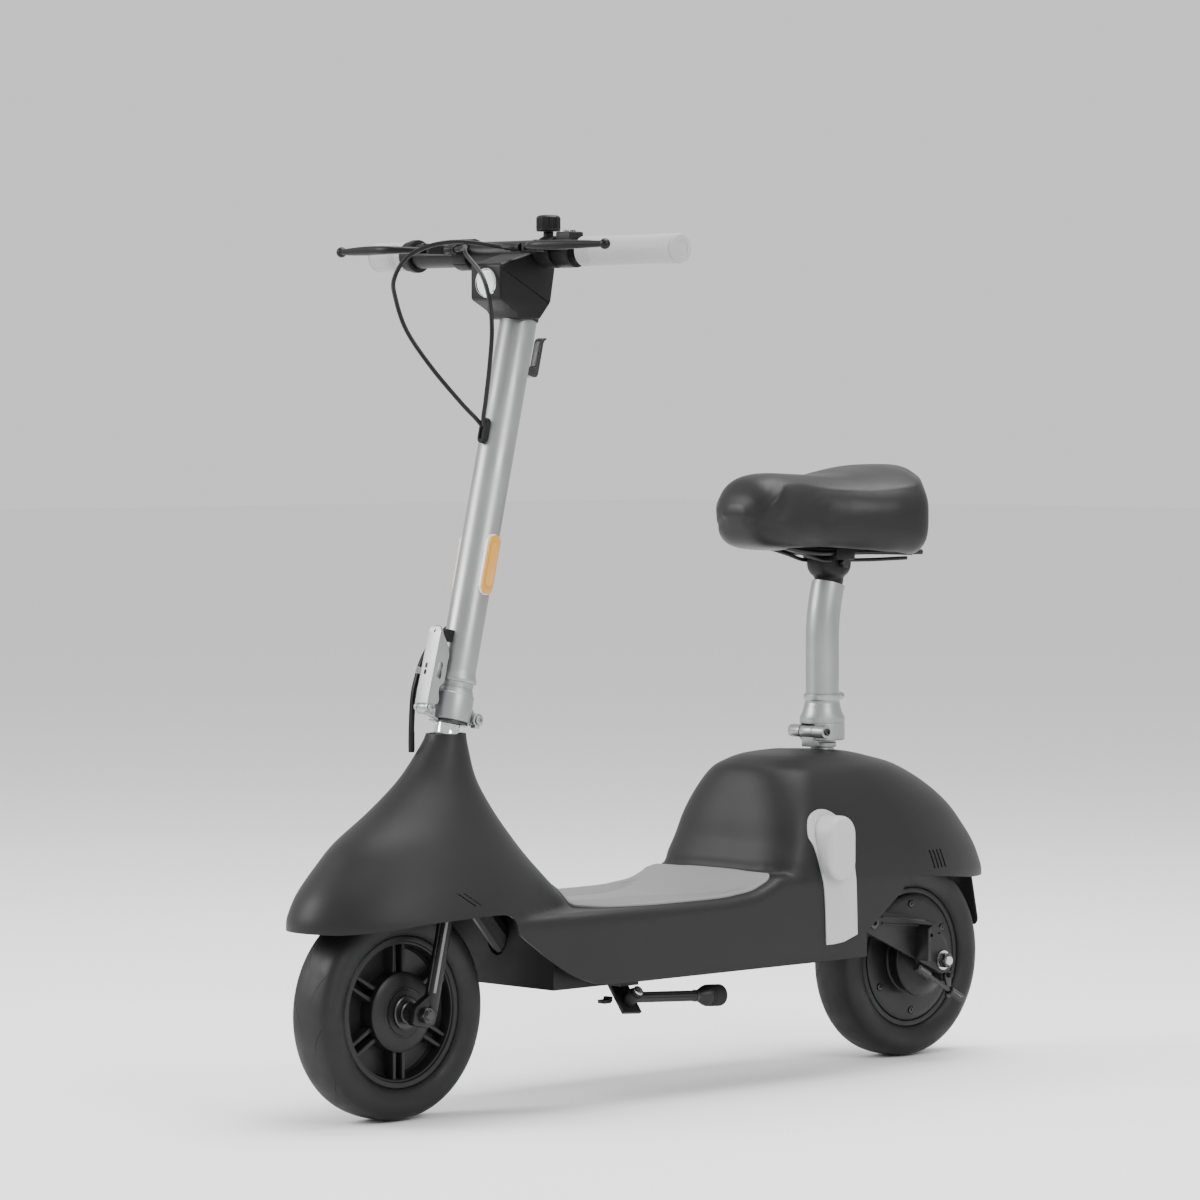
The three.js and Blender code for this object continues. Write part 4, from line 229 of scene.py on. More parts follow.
# Body shell. One large injection moulding in charcoal: a bell over the front wheel, a low deck and
# a hump over the rear wheel run into each other in soft curves, with a crisp trimmed lower edge.
# It slips over the frame from above and seats on the collar of the seat tube.


def along_rows(rows, count):
    """Spreads a table of rows over count smooth in-between rows."""
    rows = np.array(rows, float)
    padded_rows = np.vstack([2 * rows[0] - rows[1], rows, 2 * rows[-1] - rows[-2]])
    places = np.linspace(0, len(rows) - 1 - 1e-9, count)
    out = []
    for place in places:
        i = int(place)
        t = place - i
        a, b, c, d = padded_rows[i:i + 4]
        out.append(0.5 * (2 * b + (c - a) * t + (2 * a - 5 * b + 4 * c - d) * t ** 2
                          + (3 * b - a - 3 * c + d) * t ** 3))
    return np.array(out)


def piece_from(name, points, faces, where=Matrix(), sharp=35):
    """A piece from points in millimetres: placed, cleaned, turned outwards and shaded smooth."""
    mesh = bpy.data.meshes.new(name)
    mesh.from_pydata([tuple(p) for p in points], [], [tuple(f) for f in faces])
    work = bmesh.new()
    work.from_mesh(mesh)
    bmesh.ops.transform(work, matrix=ground @ where, verts=work.verts)
    bmesh.ops.remove_doubles(work, verts=work.verts, dist=1e-6)
    bmesh.ops.recalc_face_normals(work, faces=work.faces)
    work.to_mesh(mesh)
    work.free()
    mesh.shade_smooth()
    mesh.set_sharp_from_angle(angle=math.radians(sharp))
    made = bpy.data.objects.new(name, mesh)
    bpy.context.collection.objects.link(made)
    return made


def skinned(name, rings, where=Matrix(), sharp=35):
    """A closed skin over rings that all have the same number of points."""
    count = len(rings[0])
    points = [p for ring in rings for p in ring]
    faces = [(r * count + i, r * count + (i + 1) % count, (r + 1) * count + (i + 1) % count, (r + 1) * count + i)
             for r in range(len(rings) - 1) for i in range(count)]
    for row in (0, len(rings) - 1):
        points.append(tuple(np.mean(np.array(rings[row], float), axis=0)))
        faces += [(row * count + i, row * count + (i + 1) % count, len(points) - 1) for i in range(count)]
    return piece_from(name, points, faces, where, sharp)


def worked(piece, kind, **settings):
    """Applies one modifier to a piece at once."""
    modifier = piece.modifiers.new("work", kind)
    for key, value in settings.items():
        setattr(modifier, key, value)
    graph = bpy.context.evaluated_depsgraph_get()
    finished = bpy.data.meshes.new_from_object(piece.evaluated_get(graph), depsgraph=graph)
    piece.modifiers.clear()
    piece.data = finished
    return piece


def joined(piece, cutter, operation="DIFFERENCE", sharp=35):
    """Cuts, joins or trims a piece with another, which is used up."""
    worked(piece, "BOOLEAN", object=cutter, operation=operation, solver="MANIFOLD")
    bpy.data.objects.remove(cutter)
    piece.data.shade_smooth()
    piece.data.set_sharp_from_angle(angle=math.radians(sharp))
    return piece


def finished(piece, finish, body, *stands_for, slot=None):
    """Hands a piece its finish, the CAD pieces it stands for and the body it moves with."""
    piece.data.materials.clear()
    piece.data.materials.append(finish.material)
    if stands_for:
        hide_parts(*stands_for)
    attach(piece, body)
    return piece


def blended(between, low, high):
    """The value that lies a share of the way from low to high."""
    return low + (high - low) * np.asarray(between)


neck_top, neck_radius, neck_y = 446, 23.3, 92.5
seat_y, flap_y, flap_z = 736, 628, 287
skirt_height, body_floor, body_half_width = 236, 148, 120


def squared_off(wave, power):
    """A sine or a cosine bent so that a ring made with it runs from round towards square."""
    return math.copysign(abs(wave) ** power, wave)


def level_ring(z, front, front_length, rear, rear_length, half_width, power):
    """One level ring of the shell: an ellipse behind, and in front one that its power squares off."""
    sides, ring = 96, []
    for i in range(sides):
        angle = 2 * math.pi * i / sides
        c, s = math.cos(angle), math.sin(angle)
        bend = 2 / power if c < 0 else 1
        x = half_width * squared_off(s, bend)
        reach = abs(c) ** bend
        y = front + front_length * (1 - reach) if c < 0 else rear - rear_length * (1 - reach)
        ring.append((x, y, z))
    return ring


bell_rows = along_rows(list(zip(
    [1, 0.92, 0.748, 0.576, 0.419, 0.295, 0.157, 0.062, 0], [1, 0.9, 0.64, 0.347, 0.08, 0, 0, 0, 0],
    [0, 0.045, 0.167, 0.366, 0.605, 0.747, 0.903, 0.972, 1], [0, 0.035, 0.134, 0.306, 0.499, 0.64, 0.807, 0.93, 1],
    [0, 0.05, 0.195, 0.405, 0.603, 0.755, 0.895, 0.965, 1])), 41)
neck_front, neck_rear = neck_y - neck_radius, neck_y + neck_radius
bell_rings = [level_ring(neck_top + 9, neck_front, neck_radius, neck_rear, neck_radius, neck_radius, 2)]
for height, centre, ahead, behind, wide in bell_rows:
    middle = blended(centre, 55, neck_y)
    ahead, behind = blended(ahead, neck_radius, 189), blended(behind, neck_radius, 215)
    height, wide = blended(height, skirt_height, neck_top), blended(wide, neck_radius, 109)
    bell_rings.append(level_ring(height, middle - ahead, ahead, middle + behind, behind, wide, 2))
bell_rings.append([(x, y, body_floor - 8) for x, y, z in bell_rings[-1]])

hump_rows = along_rows(list(zip(
    [1, 0.975, 0.913, 0.845, 0.702, 0.522, 0.329, 0.174, 0], [0.9, 0.51, 0.33, 0.26, 0.19, 0.12, 0.065, 0, 0],
    [0.03, 0.26, 0.42, 0.54, 0.686, 0.817, 0.908, 0.962, 1], [0.2, 0.4, 0.555, 0.67, 0.79, 0.885, 0.945, 0.98, 1])), 41)
hump_rings = []
for height, ahead, behind, wide in hump_rows:
    front, rear = blended(ahead, 545, 690), blended(behind, 670, 998)
    hump_rings.append(level_ring(blended(height, 240, 401), front, min(60, (rear - front) / 2), rear,
                                 min(203.4, (rear - front) / 2), body_half_width * wide, blended(height, 3.4, 2.4)))
hump_rings.append([(x, y, body_floor - 8) for x, y, z in hump_rings[-1]])

deck_rows = along_rows(list(zip(
    [0, 0.15, 0.27, 0.5, 0.56, 0.6, 0.645, 0.68, 1], [0, 0, 0, 0, 0.12, 0.3, 0.85, 1, 1],
    [0, 0.5, 0.9, 1, 1, 1, 1, 1, 1])), 49)
deck_edge = 12
deck_rings = []
for run, rise, wide in deck_rows:
    half, top = blended(wide, 109, body_half_width), 235 + 22 * rise
    quarter = [(math.cos(math.radians(9 * i)), math.sin(math.radians(9 * i))) for i in range(11)]
    outline = [(-half, body_floor - 8), (half, body_floor - 8)]
    outline += [(half - deck_edge + deck_edge * c, top - deck_edge + deck_edge * s) for c, s in quarter]
    outline += [(deck_edge - half - deck_edge * c, top - deck_edge + deck_edge * s) for c, s in reversed(quarter)]
    deck_rings.append([(x, blended(run, 60, 796), z) for x, z in outline])

body_shell = skinned("body_moulding", bell_rings)
for form_name, form_rings in (("hump_form", hump_rings), ("deck_form", deck_rings)):
    joined(body_shell, skinned(form_name, form_rings), "UNION")
worked(body_shell, "REMESH", mode="VOXEL", voxel_size=0.0046)


def points_of(mesh):
    """A mesh's points as a table of metres."""
    spots = np.empty(len(mesh.vertices) * 3)
    mesh.vertices.foreach_get("co", spots)
    return spots.reshape(-1, 3)


def relaxed(mesh, rounds):
    """Evens out a fine mesh; a slightly larger push outwards after each one inwards keeps its size."""
    inwards, outwards = 0.5, -0.53
    spots = points_of(mesh)
    ends = np.empty(len(mesh.edges) * 2, np.int64)
    mesh.edges.foreach_get("vertices", ends)
    a, b = ends.reshape(-1, 2).T
    degree = np.bincount(np.concatenate([a, b]), minlength=len(spots))[:, None]
    for turn in range(rounds * 2):
        pull = np.stack([np.bincount(a, spots[b, k], len(spots)) + np.bincount(b, spots[a, k], len(spots))
                         for k in range(3)], 1)
        spots = spots + (inwards if turn % 2 == 0 else outwards) * (pull / degree - spots)
    mesh.vertices.foreach_set("co", spots.ravel())
    mesh.update()


relaxed(body_shell.data, 14)
body_shell.data.shade_smooth()
body_skin = body_shell.copy()
body_skin.data = body_shell.data.copy()
hollow = body_shell.copy()
hollow.data = body_shell.data.copy()
for linked in (body_skin, hollow):
    bpy.context.collection.objects.link(linked)
worked(hollow, "DISPLACE", strength=-0.0036, mid_level=0)
body_tree = BVHTree.FromObject(body_skin, bpy.context.evaluated_depsgraph_get())
body_form = body_skin.data
bpy.data.objects.remove(body_skin)


def plate(name, outline, low, high, axis="x", where=Matrix(), rounding=0.0, steps=2, sharp=35):
    """An outline carried from low to high along an axis, with its edges rounded over."""
    turn = {"x": Matrix(((0, 0, 1), (1, 0, 0), (0, 1, 0))), "y": Matrix(((1, 0, 0), (0, 0, 1), (0, 1, 0))),
            "z": Matrix.Identity(3)}[axis].to_4x4()
    count = len(outline)
    points = [(u, v, h) for h in (low, high) for u, v in outline]
    faces = [tuple(range(count))[::-1], tuple(range(count, 2 * count))]
    faces += [(i, (i + 1) % count, count + (i + 1) % count, count + i) for i in range(count)]
    made = piece_from(name, points, faces, where @ turn, sharp)
    if rounding:
        worked(made, "BEVEL", width=rounding / 1000, segments=steps, limit_method="ANGLE", angle_limit=math.radians(25),
               harden_normals=False)
        made.data.shade_smooth()
        made.data.set_sharp_from_angle(angle=math.radians(sharp))
    return made


def swept(start, end, shares):
    """Points at shares of the way from start to end, counted apart in both directions."""
    return [(blended(u, start[0], end[0]), blended(v, start[1], end[1])) for u, v in shares]


bell_edge = swept((-134, 226), (92, 239), [(0.1, 0), (0.3, 0.35), (0.55, 0.85), (1, 1)])
step_edge = swept((92, 239), (240, 148), [(0.095, 0.24), (0.3, 0.49), (0.45, 0.65), (0.595, 0.8), (0.74, 0.9),
                                          (0.88, 0.97), (1, 1)])
lower_edge = [(-146, 226)] + [tuple(p) for p in along_rows([(-134, 226)] + bell_edge + step_edge, 60)]
lower_edge += [(690, 148), (690, 179), (755, 225), (761, 234), (771, 242), (790, 244.5)]
lower_edge += swept((771, 245), (998, 229), [(0.25, 0.35), (0.6, 0.8), (1, 1)])
lower_edge += [(1010, 229), (1010, neck_top), (-146, neck_top)]
joined(body_shell, plate("trim_line", lower_edge, -140, 140), "INTERSECT")
joined(body_shell, hollow)


def turned_piece(name, profile, axis="z", at=(0, 0, 0), sides=64, where=Matrix(), sharp=35):
    """A profile of (radius, place along the axis) turned on a lathe."""
    turn = {"x": Matrix(((0, 0, 1), (1, 0, 0), (0, 1, 0))), "y": Matrix(((0, 1, 0), (0, 0, 1), (1, 0, 0))),
            "z": Matrix.Identity(3)}[axis].to_4x4()
    points, faces = [], []
    for radius, height in profile:
        for i in range(sides):
            angle = 2 * math.pi * i / sides
            points.append((radius * math.cos(angle), radius * math.sin(angle), height))
    for row in range(len(profile) - 1):
        for i in range(sides):
            j = (i + 1) % sides
            faces.append((row * sides + i, row * sides + j, (row + 1) * sides + j, (row + 1) * sides + i))
    return piece_from(name, points, faces, where @ Matrix.Translation(at) @ turn, sharp)


def rod(name, radius, low, high, axis="x", at=(0, 0, 0), sides=48, where=Matrix(), edge=0.0):
    """A round bar with its ends eased over."""
    if edge:
        ends = [(0, low), (radius - edge, low), (radius - edge * 0.3, low + edge * 0.3), (radius, low + edge)]
    else:
        ends = [(0, low), (radius, low)]
    profile = ends + [(r, low + high - h) for r, h in reversed(ends)]
    return turned_piece(name, profile, axis, at, sides, where)


joined(body_shell, rod("neck_mouth", 19.8, 420, 480, "z", (0, neck_y, 0)))
joined(body_shell, rod("seat_hole", 17.9, 360, 460, "z", (0, seat_y, 0)))
joined(body_shell, rod("socket_hole", 13.4, 60, 150, "x", (0, flap_y, flap_z)))
for first, foot, tall, lean, pitch, count in ((19, 253, 15, 22, 9, 2), (808, 250, 23, 8, 7.6, 4)):
    for i in range(count):
        y = first + pitch * i
        slot = [(y + lean, foot), (y + lean + 2.8, foot), (y + 2.8, foot + tall), (y, foot + tall)]
        joined(body_shell, plate("vent_slot", slot, 60, 140))
        joined(body_shell, plate("vent_slot", slot, -140, -60))

charcoal_moulding = Finish("charcoal_moulding", (0.0125, 0.0125, 0.013), 0.45, Specular_IOR_Level=0.2)
spark_grain = charcoal_moulding.noise(2600, 2)
charcoal_moulding.mottled(0.05, 9, 0.03)
charcoal_moulding.relief(spark_grain, 0.00012, 0.35)
finished(body_shell, charcoal_moulding, "chassis", "body_shell", slot="body_plastic")

# Deck mat. A soft grey rubber sheet, moulded with fine ribs that follow its sides and run out
# before its plain rear end. It is glued into the deck with a narrow shadow gap all round.
mat_front, mat_rear, mat_half, mat_corner = 240, 541, 106, 18
rib_pitch, rib_count, plain_edge = 7.5, 9, 9
mat_columns, mat_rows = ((220, 160))
mat_side = along_rows([(240, 48), (249, 71), (265, 88.6), (294, 100), (330, 106)], 60)


def body_height(x, y):
    """Height of the shell's skin over a spot of the ground, in millimetres."""
    hit = body_tree.ray_cast(ground @ Vector((x, y, 600)), Vector((0, 0, -1)))[0]
    return hit.z * 1000 if hit else 235


def mat_reach(y):
    """Half the mat's width at a place along it."""
    if y > mat_rear - mat_corner:
        return mat_half - mat_corner + math.sqrt(max(0, mat_corner ** 2 - (y - mat_rear + mat_corner) ** 2))
    return float(np.interp(y, mat_side[:, 0], mat_side[:, 1]))


def mat_rib(x, y, reach):
    """A rib's share of its full height over a spot, and how much of its row is left so far back."""
    from_side = mat_half - abs(x) - 0.06 * max(0, 400 - y)
    rib = math.floor((from_side - plain_edge) / rib_pitch)
    if not 0 <= rib < rib_count or min(reach - abs(x), y - mat_front, mat_rear - y) <= 4:
        return 0, 0
    end = 505 - 13 * rib + 9 * (rib % 2)
    fade = min(1, max(0, (end - y) / 26)) * min(1, (y - mat_front) / 12)
    return math.sin(math.pi * ((from_side - plain_edge) / rib_pitch - rib)) ** 4, fade


def mat_groove_shade(x, y, reach):
    """Painted shade for a spot in a groove between two ribs, from 0 to 1, growing the deeper it lies."""
    swell, fade = mat_rib(x, y, reach)
    return fade * (1 - swell) ** 3


def mat_relief(x, y, reach):
    """The mat's thickness over a spot: a rounded rim, and ribs with grooves between them."""
    edge = min(reach - abs(x), y - mat_front, mat_rear - y)
    top = 3.0 * math.sqrt(max(0.0, 1 - (1 - min(edge / 2.2, 1)) ** 2))
    swell, fade = mat_rib(x, y, reach)
    return top + 1.3 * fade * swell - 0.5 * fade


spread = [1 - math.cos(math.pi * i / (mat_rows - 1)) for i in range(mat_rows)]
mat_top, mat_foot = [], []
for share in spread:
    y = mat_front + (mat_rear - mat_front) * share / 2
    reach = mat_reach(y)
    for k in range(mat_columns):
        lean_in = math.sin(math.pi * (k / (mat_columns - 1) - 0.5)) * 0.35 + (2 * k / (mat_columns - 1) - 1) * 0.65
        x = reach * lean_in
        skin_height = body_height(x, y) + 0.3
        mat_foot.append((x, y, skin_height))
        mat_top.append((x, y, skin_height + max(0.25, mat_relief(x, y, reach))))
cells = mat_columns * mat_rows
mat_faces = []
for r in range(mat_rows - 1):
    for k in range(mat_columns - 1):
        a = r * mat_columns + k
        square = (a, a + 1, a + mat_columns + 1, a + mat_columns)
        mat_faces += [square, tuple(i + cells for i in reversed(square))]
rim_walk = (list(range(mat_columns)) + [r * mat_columns + mat_columns - 1 for r in range(1, mat_rows)]
            + [cells - 1 - k for k in range(1, mat_columns)] + [r * mat_columns for r in range(mat_rows - 2, 0, -1)])
mat_faces += [(b, a, a + cells, b + cells) for a, b in zip(rim_walk, rim_walk[1:] + rim_walk[:1])]
deck_mat = piece_from("ribbed_deck_mat", mat_top + mat_foot, mat_faces, sharp=60)
grey_rubber = Finish("grey_mat_rubber", (0.15, 0.15, 0.154), 0.6)
mat_dust = grey_rubber.noise(1400, 3)
grey_rubber.mottled(0.06, 18, 0.05)
grey_rubber.relief(mat_dust, 0.00015, 0.4)
# Painted shade: the mat's colour darkens from rib grey to near black in the grooves between the ribs.
groove_shade_layer = deck_mat.data.attributes.new("groove", "FLOAT", "POINT")
for vertex, groove in zip(deck_mat.data.vertices, groove_shade_layer.data):
    x, y = vertex.co.x * 1000, vertex.co.y * 1000 + front_axle_to_middle
    groove.value = mat_groove_shade(x, y, mat_reach(y))
groove_shade = grey_rubber.node("ShaderNodeAttribute", {"attribute_name": "groove"}, output="Fac")
grey_rubber.feed(Base_Color=grey_rubber.mix(groove_shade, (0.16, 0.16, 0.164), (0.035, 0.035, 0.036)))
finished(deck_mat, grey_rubber, "chassis", "deck_mat", slot="mat_rubber")

# Side strips. Thin light grey mouldings snapped onto each flank of the hump; they follow its
# swell, and their lower ends are cut off on a slant just above the trim line.
strip_shares = [(0.68, 0.01), (1, 0.055), (0.97, 0.45), (0.93, 0.7), (0.8, 0.88), (0.55, 0.97), (0.3, 0.985),
                (0.08, 0.93), (0, 0.8), (0.08, 0.71), (0.23, 0.4), (0.28, 0), (0.45, 0)]
strip_outline = swept((594, 168), (671, 336), strip_shares)
strip_outline = [strip_outline[0]] + [tuple(p) for p in along_rows(strip_outline[1:12], 60)] + [strip_outline[-1]]


def skin_layer(name, low, high, outline, near, far):
    """A sheet over the shell, from low to high above its skin, within an outline seen from the side."""
    def grown(layer, by):
        bpy.context.collection.objects.link(layer)
        return worked(layer, "DISPLACE", strength=by / 1000, mid_level=0)
    sheet = grown(bpy.data.objects.new(name, body_form.copy()), high)
    joined(sheet, plate("window", outline, near, far), "INTERSECT")
    return joined(sheet, grown(bpy.data.objects.new("under", body_form.copy()), low))


pale_moulding = Finish("pale_grey_moulding", (0.4, 0.4, 0.405), 0.46)
pale_moulding.mottled(0.03, 22, 0.04)
pale_moulding.relief(pale_moulding.noise(2200, 2), 0.0001, 0.3)
for side, near, far in (("left", 60, 128), ("right", -128, -60)):
    strip = skin_layer("flank_strip_" + side, 0.3, 1.75, strip_outline, near, far)
    if side == "left":
        joined(strip, rod("socket_mouth", 13.3, 60, 140, "x", (0, flap_y, flap_z)))
    finished(strip, pale_moulding, "chassis", "side_strip_" + side, slot="trim_grey" if side == "left" else None)

# Charging flap and socket. The oval flap is a pale moulding that hangs from a pin at its top edge
# and stands proud of the strip; behind it a black round socket with three pins sits in the shell.


def stadium(width, height, middle):
    """An upright outline with half-round ends."""
    lift = (height - width) / 2
    arc = [math.pi * i / 18 for i in range(19)]
    return ([(middle[0] + width / 2 * math.cos(a), middle[1] + lift + width / 2 * math.sin(a)) for a in arc]
            + [(middle[0] - width / 2 * math.cos(a), middle[1] - lift - width / 2 * math.sin(a)) for a in arc])


flap_steps = [(0, 100), (0, 132.5)]
for degrees in range(10, 91, 10):
    flap_steps.append((6.5 * (1 - math.cos(math.radians(degrees))), 132.5 + 6.5 * math.sin(math.radians(degrees))))
flap_steps.append((14, 138.9))
flap_rings = []
for inset, x in flap_steps:
    flap_rings.append([(x, y, z) for y, z in stadium(48 - 2 * inset, 80 - 2 * inset, (flap_y, flap_z))])
charging_flap = skinned("charging_flap", flap_rings, sharp=50)
under_flap = bpy.data.objects.new("under_flap", body_form.copy())
bpy.context.collection.objects.link(under_flap)
worked(under_flap, "DISPLACE", strength=0.00215, mid_level=0)
joined(charging_flap, under_flap, sharp=50)
finished(charging_flap, pale_moulding, "cover", "charge_cover")
socket_black = Finish("socket_black", (0.007, 0.007, 0.0075), 0.5, Specular_IOR_Level=0.25)
socket_black.mottled(0.2, 60, 0.08)
dress("charge_socket", socket_black)

# Belly pan and mudflap. The pan is a black moulded tray screwed up against the frame from below;
# the flap is a strip of black rubber with a thickened rim, bolted to the tail of the shell.
black_moulding = Finish("black_moulding", (0.006, 0.006, 0.0063), 0.5, Specular_IOR_Level=0.2)
pan_grain = black_moulding.noise(1500, 3)
black_moulding.mottled(0.22, 26, 0.07)
black_moulding.relief(pan_grain, 0.0002, 0.4)
dress("belly_pan", black_moulding)

flap_outline = [(-15, 0), (15, 0), (15, -18), (25.8, -25), (25.8, -84), (24.4, -89), (20, -93), (0, -94), (-20, -93),
                (-24.4, -89), (-25.8, -84), (-25.8, -25), (-15, -18)]
flap_hang = Matrix.Translation((0, 983, 250)) @ Matrix.Rotation(math.radians(12.27), 4, "X")
mudflap = plate("mudflap_rubber", flap_outline, 0.1, 2.9, "y", flap_hang, rounding=0.9, steps=3)
joined(mudflap, plate("flap_dish", [(-22, -27), (22, -27), (22, -82), (19, -89), (-19, -89), (-22, -82)], 2.2, 5, "y",
                      flap_hang))
black_rubber = Finish("black_rubber", (0.008, 0.008, 0.0083), 0.68, Specular_IOR_Level=0.25)
black_rubber.mottled(0.25, 35, 0.07)
black_rubber.relief(black_rubber.noise(1100, 3), 0.0002, 0.4)
finished(mudflap, black_rubber, "chassis", "mudflap", slot="black_rubber")

# Rear wheel. A ten inch rubber tyre with thin curved sipes sits on a cast hub motor, whose flat
# cover is held by six screws; the brake drum stands out from the cover on the rider's left.


def mirrored(side):
    """A wheel's profile from its half on the rider's left."""
    return side + [(r, -x) for r, x in reversed(side)] + side[:1]


wheelbase, wheel_radius = 874.5, 127
rear_hub = (0, wheelbase, wheel_radius)
tyre_side = [(85.8, 21), (89.3, 21), (89.3, 24.3)] + [tuple(p) for p in along_rows(
    [(89.3, 24.6), (95, 29.6), (106, 32.9), (116.4, 31.5), (123.6, 25.5), (126.3, 15), (127, 4)], 26)][1:]
crown = np.array(tyre_side[3:])


def radius_at(x):
    """The tread's radius at a place across the tyre."""
    return float(np.interp(x, crown[::-1, 1], crown[::-1, 0]))


def repeated(item, finish, copies, turn, about):
    """Copies of one small form, each turned about a wheel's axle from the one before."""
    tree = bpy.data.node_groups.new(item.name + "_row", "GeometryNodeTree")
    face = tree.interface
    face.new_socket("Geometry", in_out="INPUT", socket_type="NodeSocketGeometry")
    knobs = [face.new_socket(label, in_out="INPUT", socket_type="NodeSocket" + kind)
             for label, kind in (("Copies", "Int"), ("Turn each", "Float"), ("About", "Vector"))]
    face.new_socket("Geometry", in_out="OUTPUT", socket_type="NodeSocketGeometry")
    plan = Plan(tree)
    form, count, turn_each, middle = [Wire(plan, s) for s in tree.nodes.new("NodeGroupInput").outputs[:4]]
    index = plan.node("GeometryNodeInputIndex")
    back = plan.node("ShaderNodeVectorMath", {"operation": "SCALE"}, {0: middle, "Scale": -1.0})
    spin = plan.node("FunctionNodeAxisAngleToRotation", inputs={"Axis": (1, 0, 0), "Angle": index * turn_each})
    places = plan.node("GeometryNodePoints", inputs={"Count": count})
    hung = plan.node("GeometryNodeTransform", inputs={"Geometry": form, "Translation": back})
    set_out = plan.node("GeometryNodeInstanceOnPoints", inputs={"Points": places, "Instance": hung, "Rotation": spin})
    whole = plan.node("GeometryNodeRealizeInstances", inputs={"Geometry": set_out})
    home = plan.node("GeometryNodeTransform", inputs={"Geometry": whole, "Translation": middle})
    painted = plan.node("GeometryNodeSetMaterial", inputs={"Geometry": home, "Material": finish.material})
    tree.links.new(painted.socket, tree.nodes.new("NodeGroupOutput").inputs[0])
    modifier = item.modifiers.new("row", "NODES")
    modifier.node_group = tree
    for knob, value in zip(knobs, (copies, turn, tuple(ground @ Vector(about)))):
        modifier[knob.identifier] = value
    item.update_tag()
    graph = bpy.context.evaluated_depsgraph_get()
    made = bpy.data.meshes.new_from_object(item.evaluated_get(graph), depsgraph=graph)
    item.modifiers.clear()
    item.data = made
    return item


tyre_rubber = Finish("tyre_rubber", (0.0085, 0.0085, 0.009), 0.52, Specular_IOR_Level=0.28)
tyre_haze = tyre_rubber.noise(700, 3)
tyre_rubber.mottled(0.25, 30, 0.08)
tyre_rubber.relief(tyre_haze, 0.0002, 0.35)


def tyre(name, middle_y, turn_way, body, stands_for, slot=None):
    """A tyre with twelve sipes cut in each shoulder, which curve back from the crown."""
    made = turned_piece(name, mirrored(tyre_side), "x", (0, middle_y, wheel_radius), 144, sharp=50)
    blades = []
    for side in (1, -1):
        rings = []
        for i in range(13):
            u = i / 12
            x = 5 + 27.5 * u ** 1.25
            angle = turn_way * math.radians(30 * u ** 0.62 + (0 if side > 0 else 15))
            half = 0.75 * math.sin(math.pi * min(1, 0.12 + u * 0.86)) + 0.1
            r, ring = radius_at(x), []
            for reach, across in ((-1.5, -half * 0.3), (2.5, -half), (2.5, half), (-1.5, half * 0.3)):
                a = angle + across / r
                ring.append((side * (x + (reach if x > 28 else 0)), middle_y + (r + reach) * math.sin(a),
                             wheel_radius + (r + reach) * math.cos(a)))
            rings.append(ring)
        blades.append(repeated(skinned("sipe_blade", rings), tyre_rubber, 12, math.radians(30),
                               (0, middle_y, wheel_radius)))
    for blade in blades:
        joined(made, blade, sharp=50)
    return finished(made, tyre_rubber, body, stands_for, slot=slot)


tyre("rear_tyre_rubber", wheelbase, -1, "rear_wheel", "rear_tyre")

cast_black = Finish("satin_black_casting", (0.01, 0.01, 0.0105), 0.4, 0.15, Specular_IOR_Level=0.3)
casting_skin = cast_black.noise(420, 4)
cast_black.mottled(0.16, 24, 0.07)
cast_black.relief(casting_skin, 0.00025, 0.3)
rim_edge = [(85.4, 21.4), (88.7, 21.4), (88.9, 23.6), (88, 24.3), (85.5, 24.6), (82.5, 24.3), (81.6, 23.4),
            (81.2, 22.2)]
motor_side = [(6.5, 41.3), (42.6, 41.3), (43.9, 40.2), (43.9, 27), (46, 25.6), (72, 25.6), (78.5, 25.2), (80.2, 24.2),
              (80.4, 22)]
barrel = [(85.4, 21.4), (84.4, 16), (79.4, 12.5), (79, 0)]
hub_back = [(80.4, -22), (80.2, -24.2), (78.5, -25.2), (60, -25.6), (30, -26.6), (17, -27.3), (6.5, -27.3), (6.5, 25)]
hub_profile = [(6.5, 25)] + motor_side + rim_edge[::-1][:-1] + barrel
hub_profile += [(r, -x) for r, x in barrel[::-1][1:] + rim_edge[1:]] + hub_back
hub_motor = turned_piece("hub_motor_casting", hub_profile, "x", rear_hub, 144, sharp=28)
screw_hole = rod("screw_pocket", 5.4, 24.6, 30, "x", (0, wheelbase, 195), 32)
joined(hub_motor, repeated(screw_hole, cast_black, 6, math.radians(60), rear_hub), sharp=28)
finished(hub_motor, cast_black, "rear_wheel", "hub_motor", slot="rim_black")

dark_steel = Finish("blackened_steel", (0.05, 0.05, 0.052), 0.34, 0.85)
brushed = dark_steel.noise(500, 3)
dark_steel.mottled(0.2, 80, 0.1)
dark_steel.relief(brushed, 0.0002, 0.3)


def socket_screw(name, radius, tall, axis, at, key=0.5, where=Matrix()):
    """A cap screw: a round head with eased edges and a hexagon sunk into it."""
    head = rod(name, radius, 0, tall, axis, at, 28, where, edge=radius * 0.22)
    reach = tuple(a + (tall if "xyz"[i] == axis else 0) for i, a in enumerate(at))
    return joined(head, rod("key", radius * key, -tall * 0.55, tall, axis, reach, 6, where))


cover_screws = repeated(socket_screw("cover_screw", 4.2, 2.2, "x", (24.7, wheelbase, 195)), dark_steel, 6,
                        math.radians(60), rear_hub)
finished(cover_screws, dark_steel, "rear_wheel")

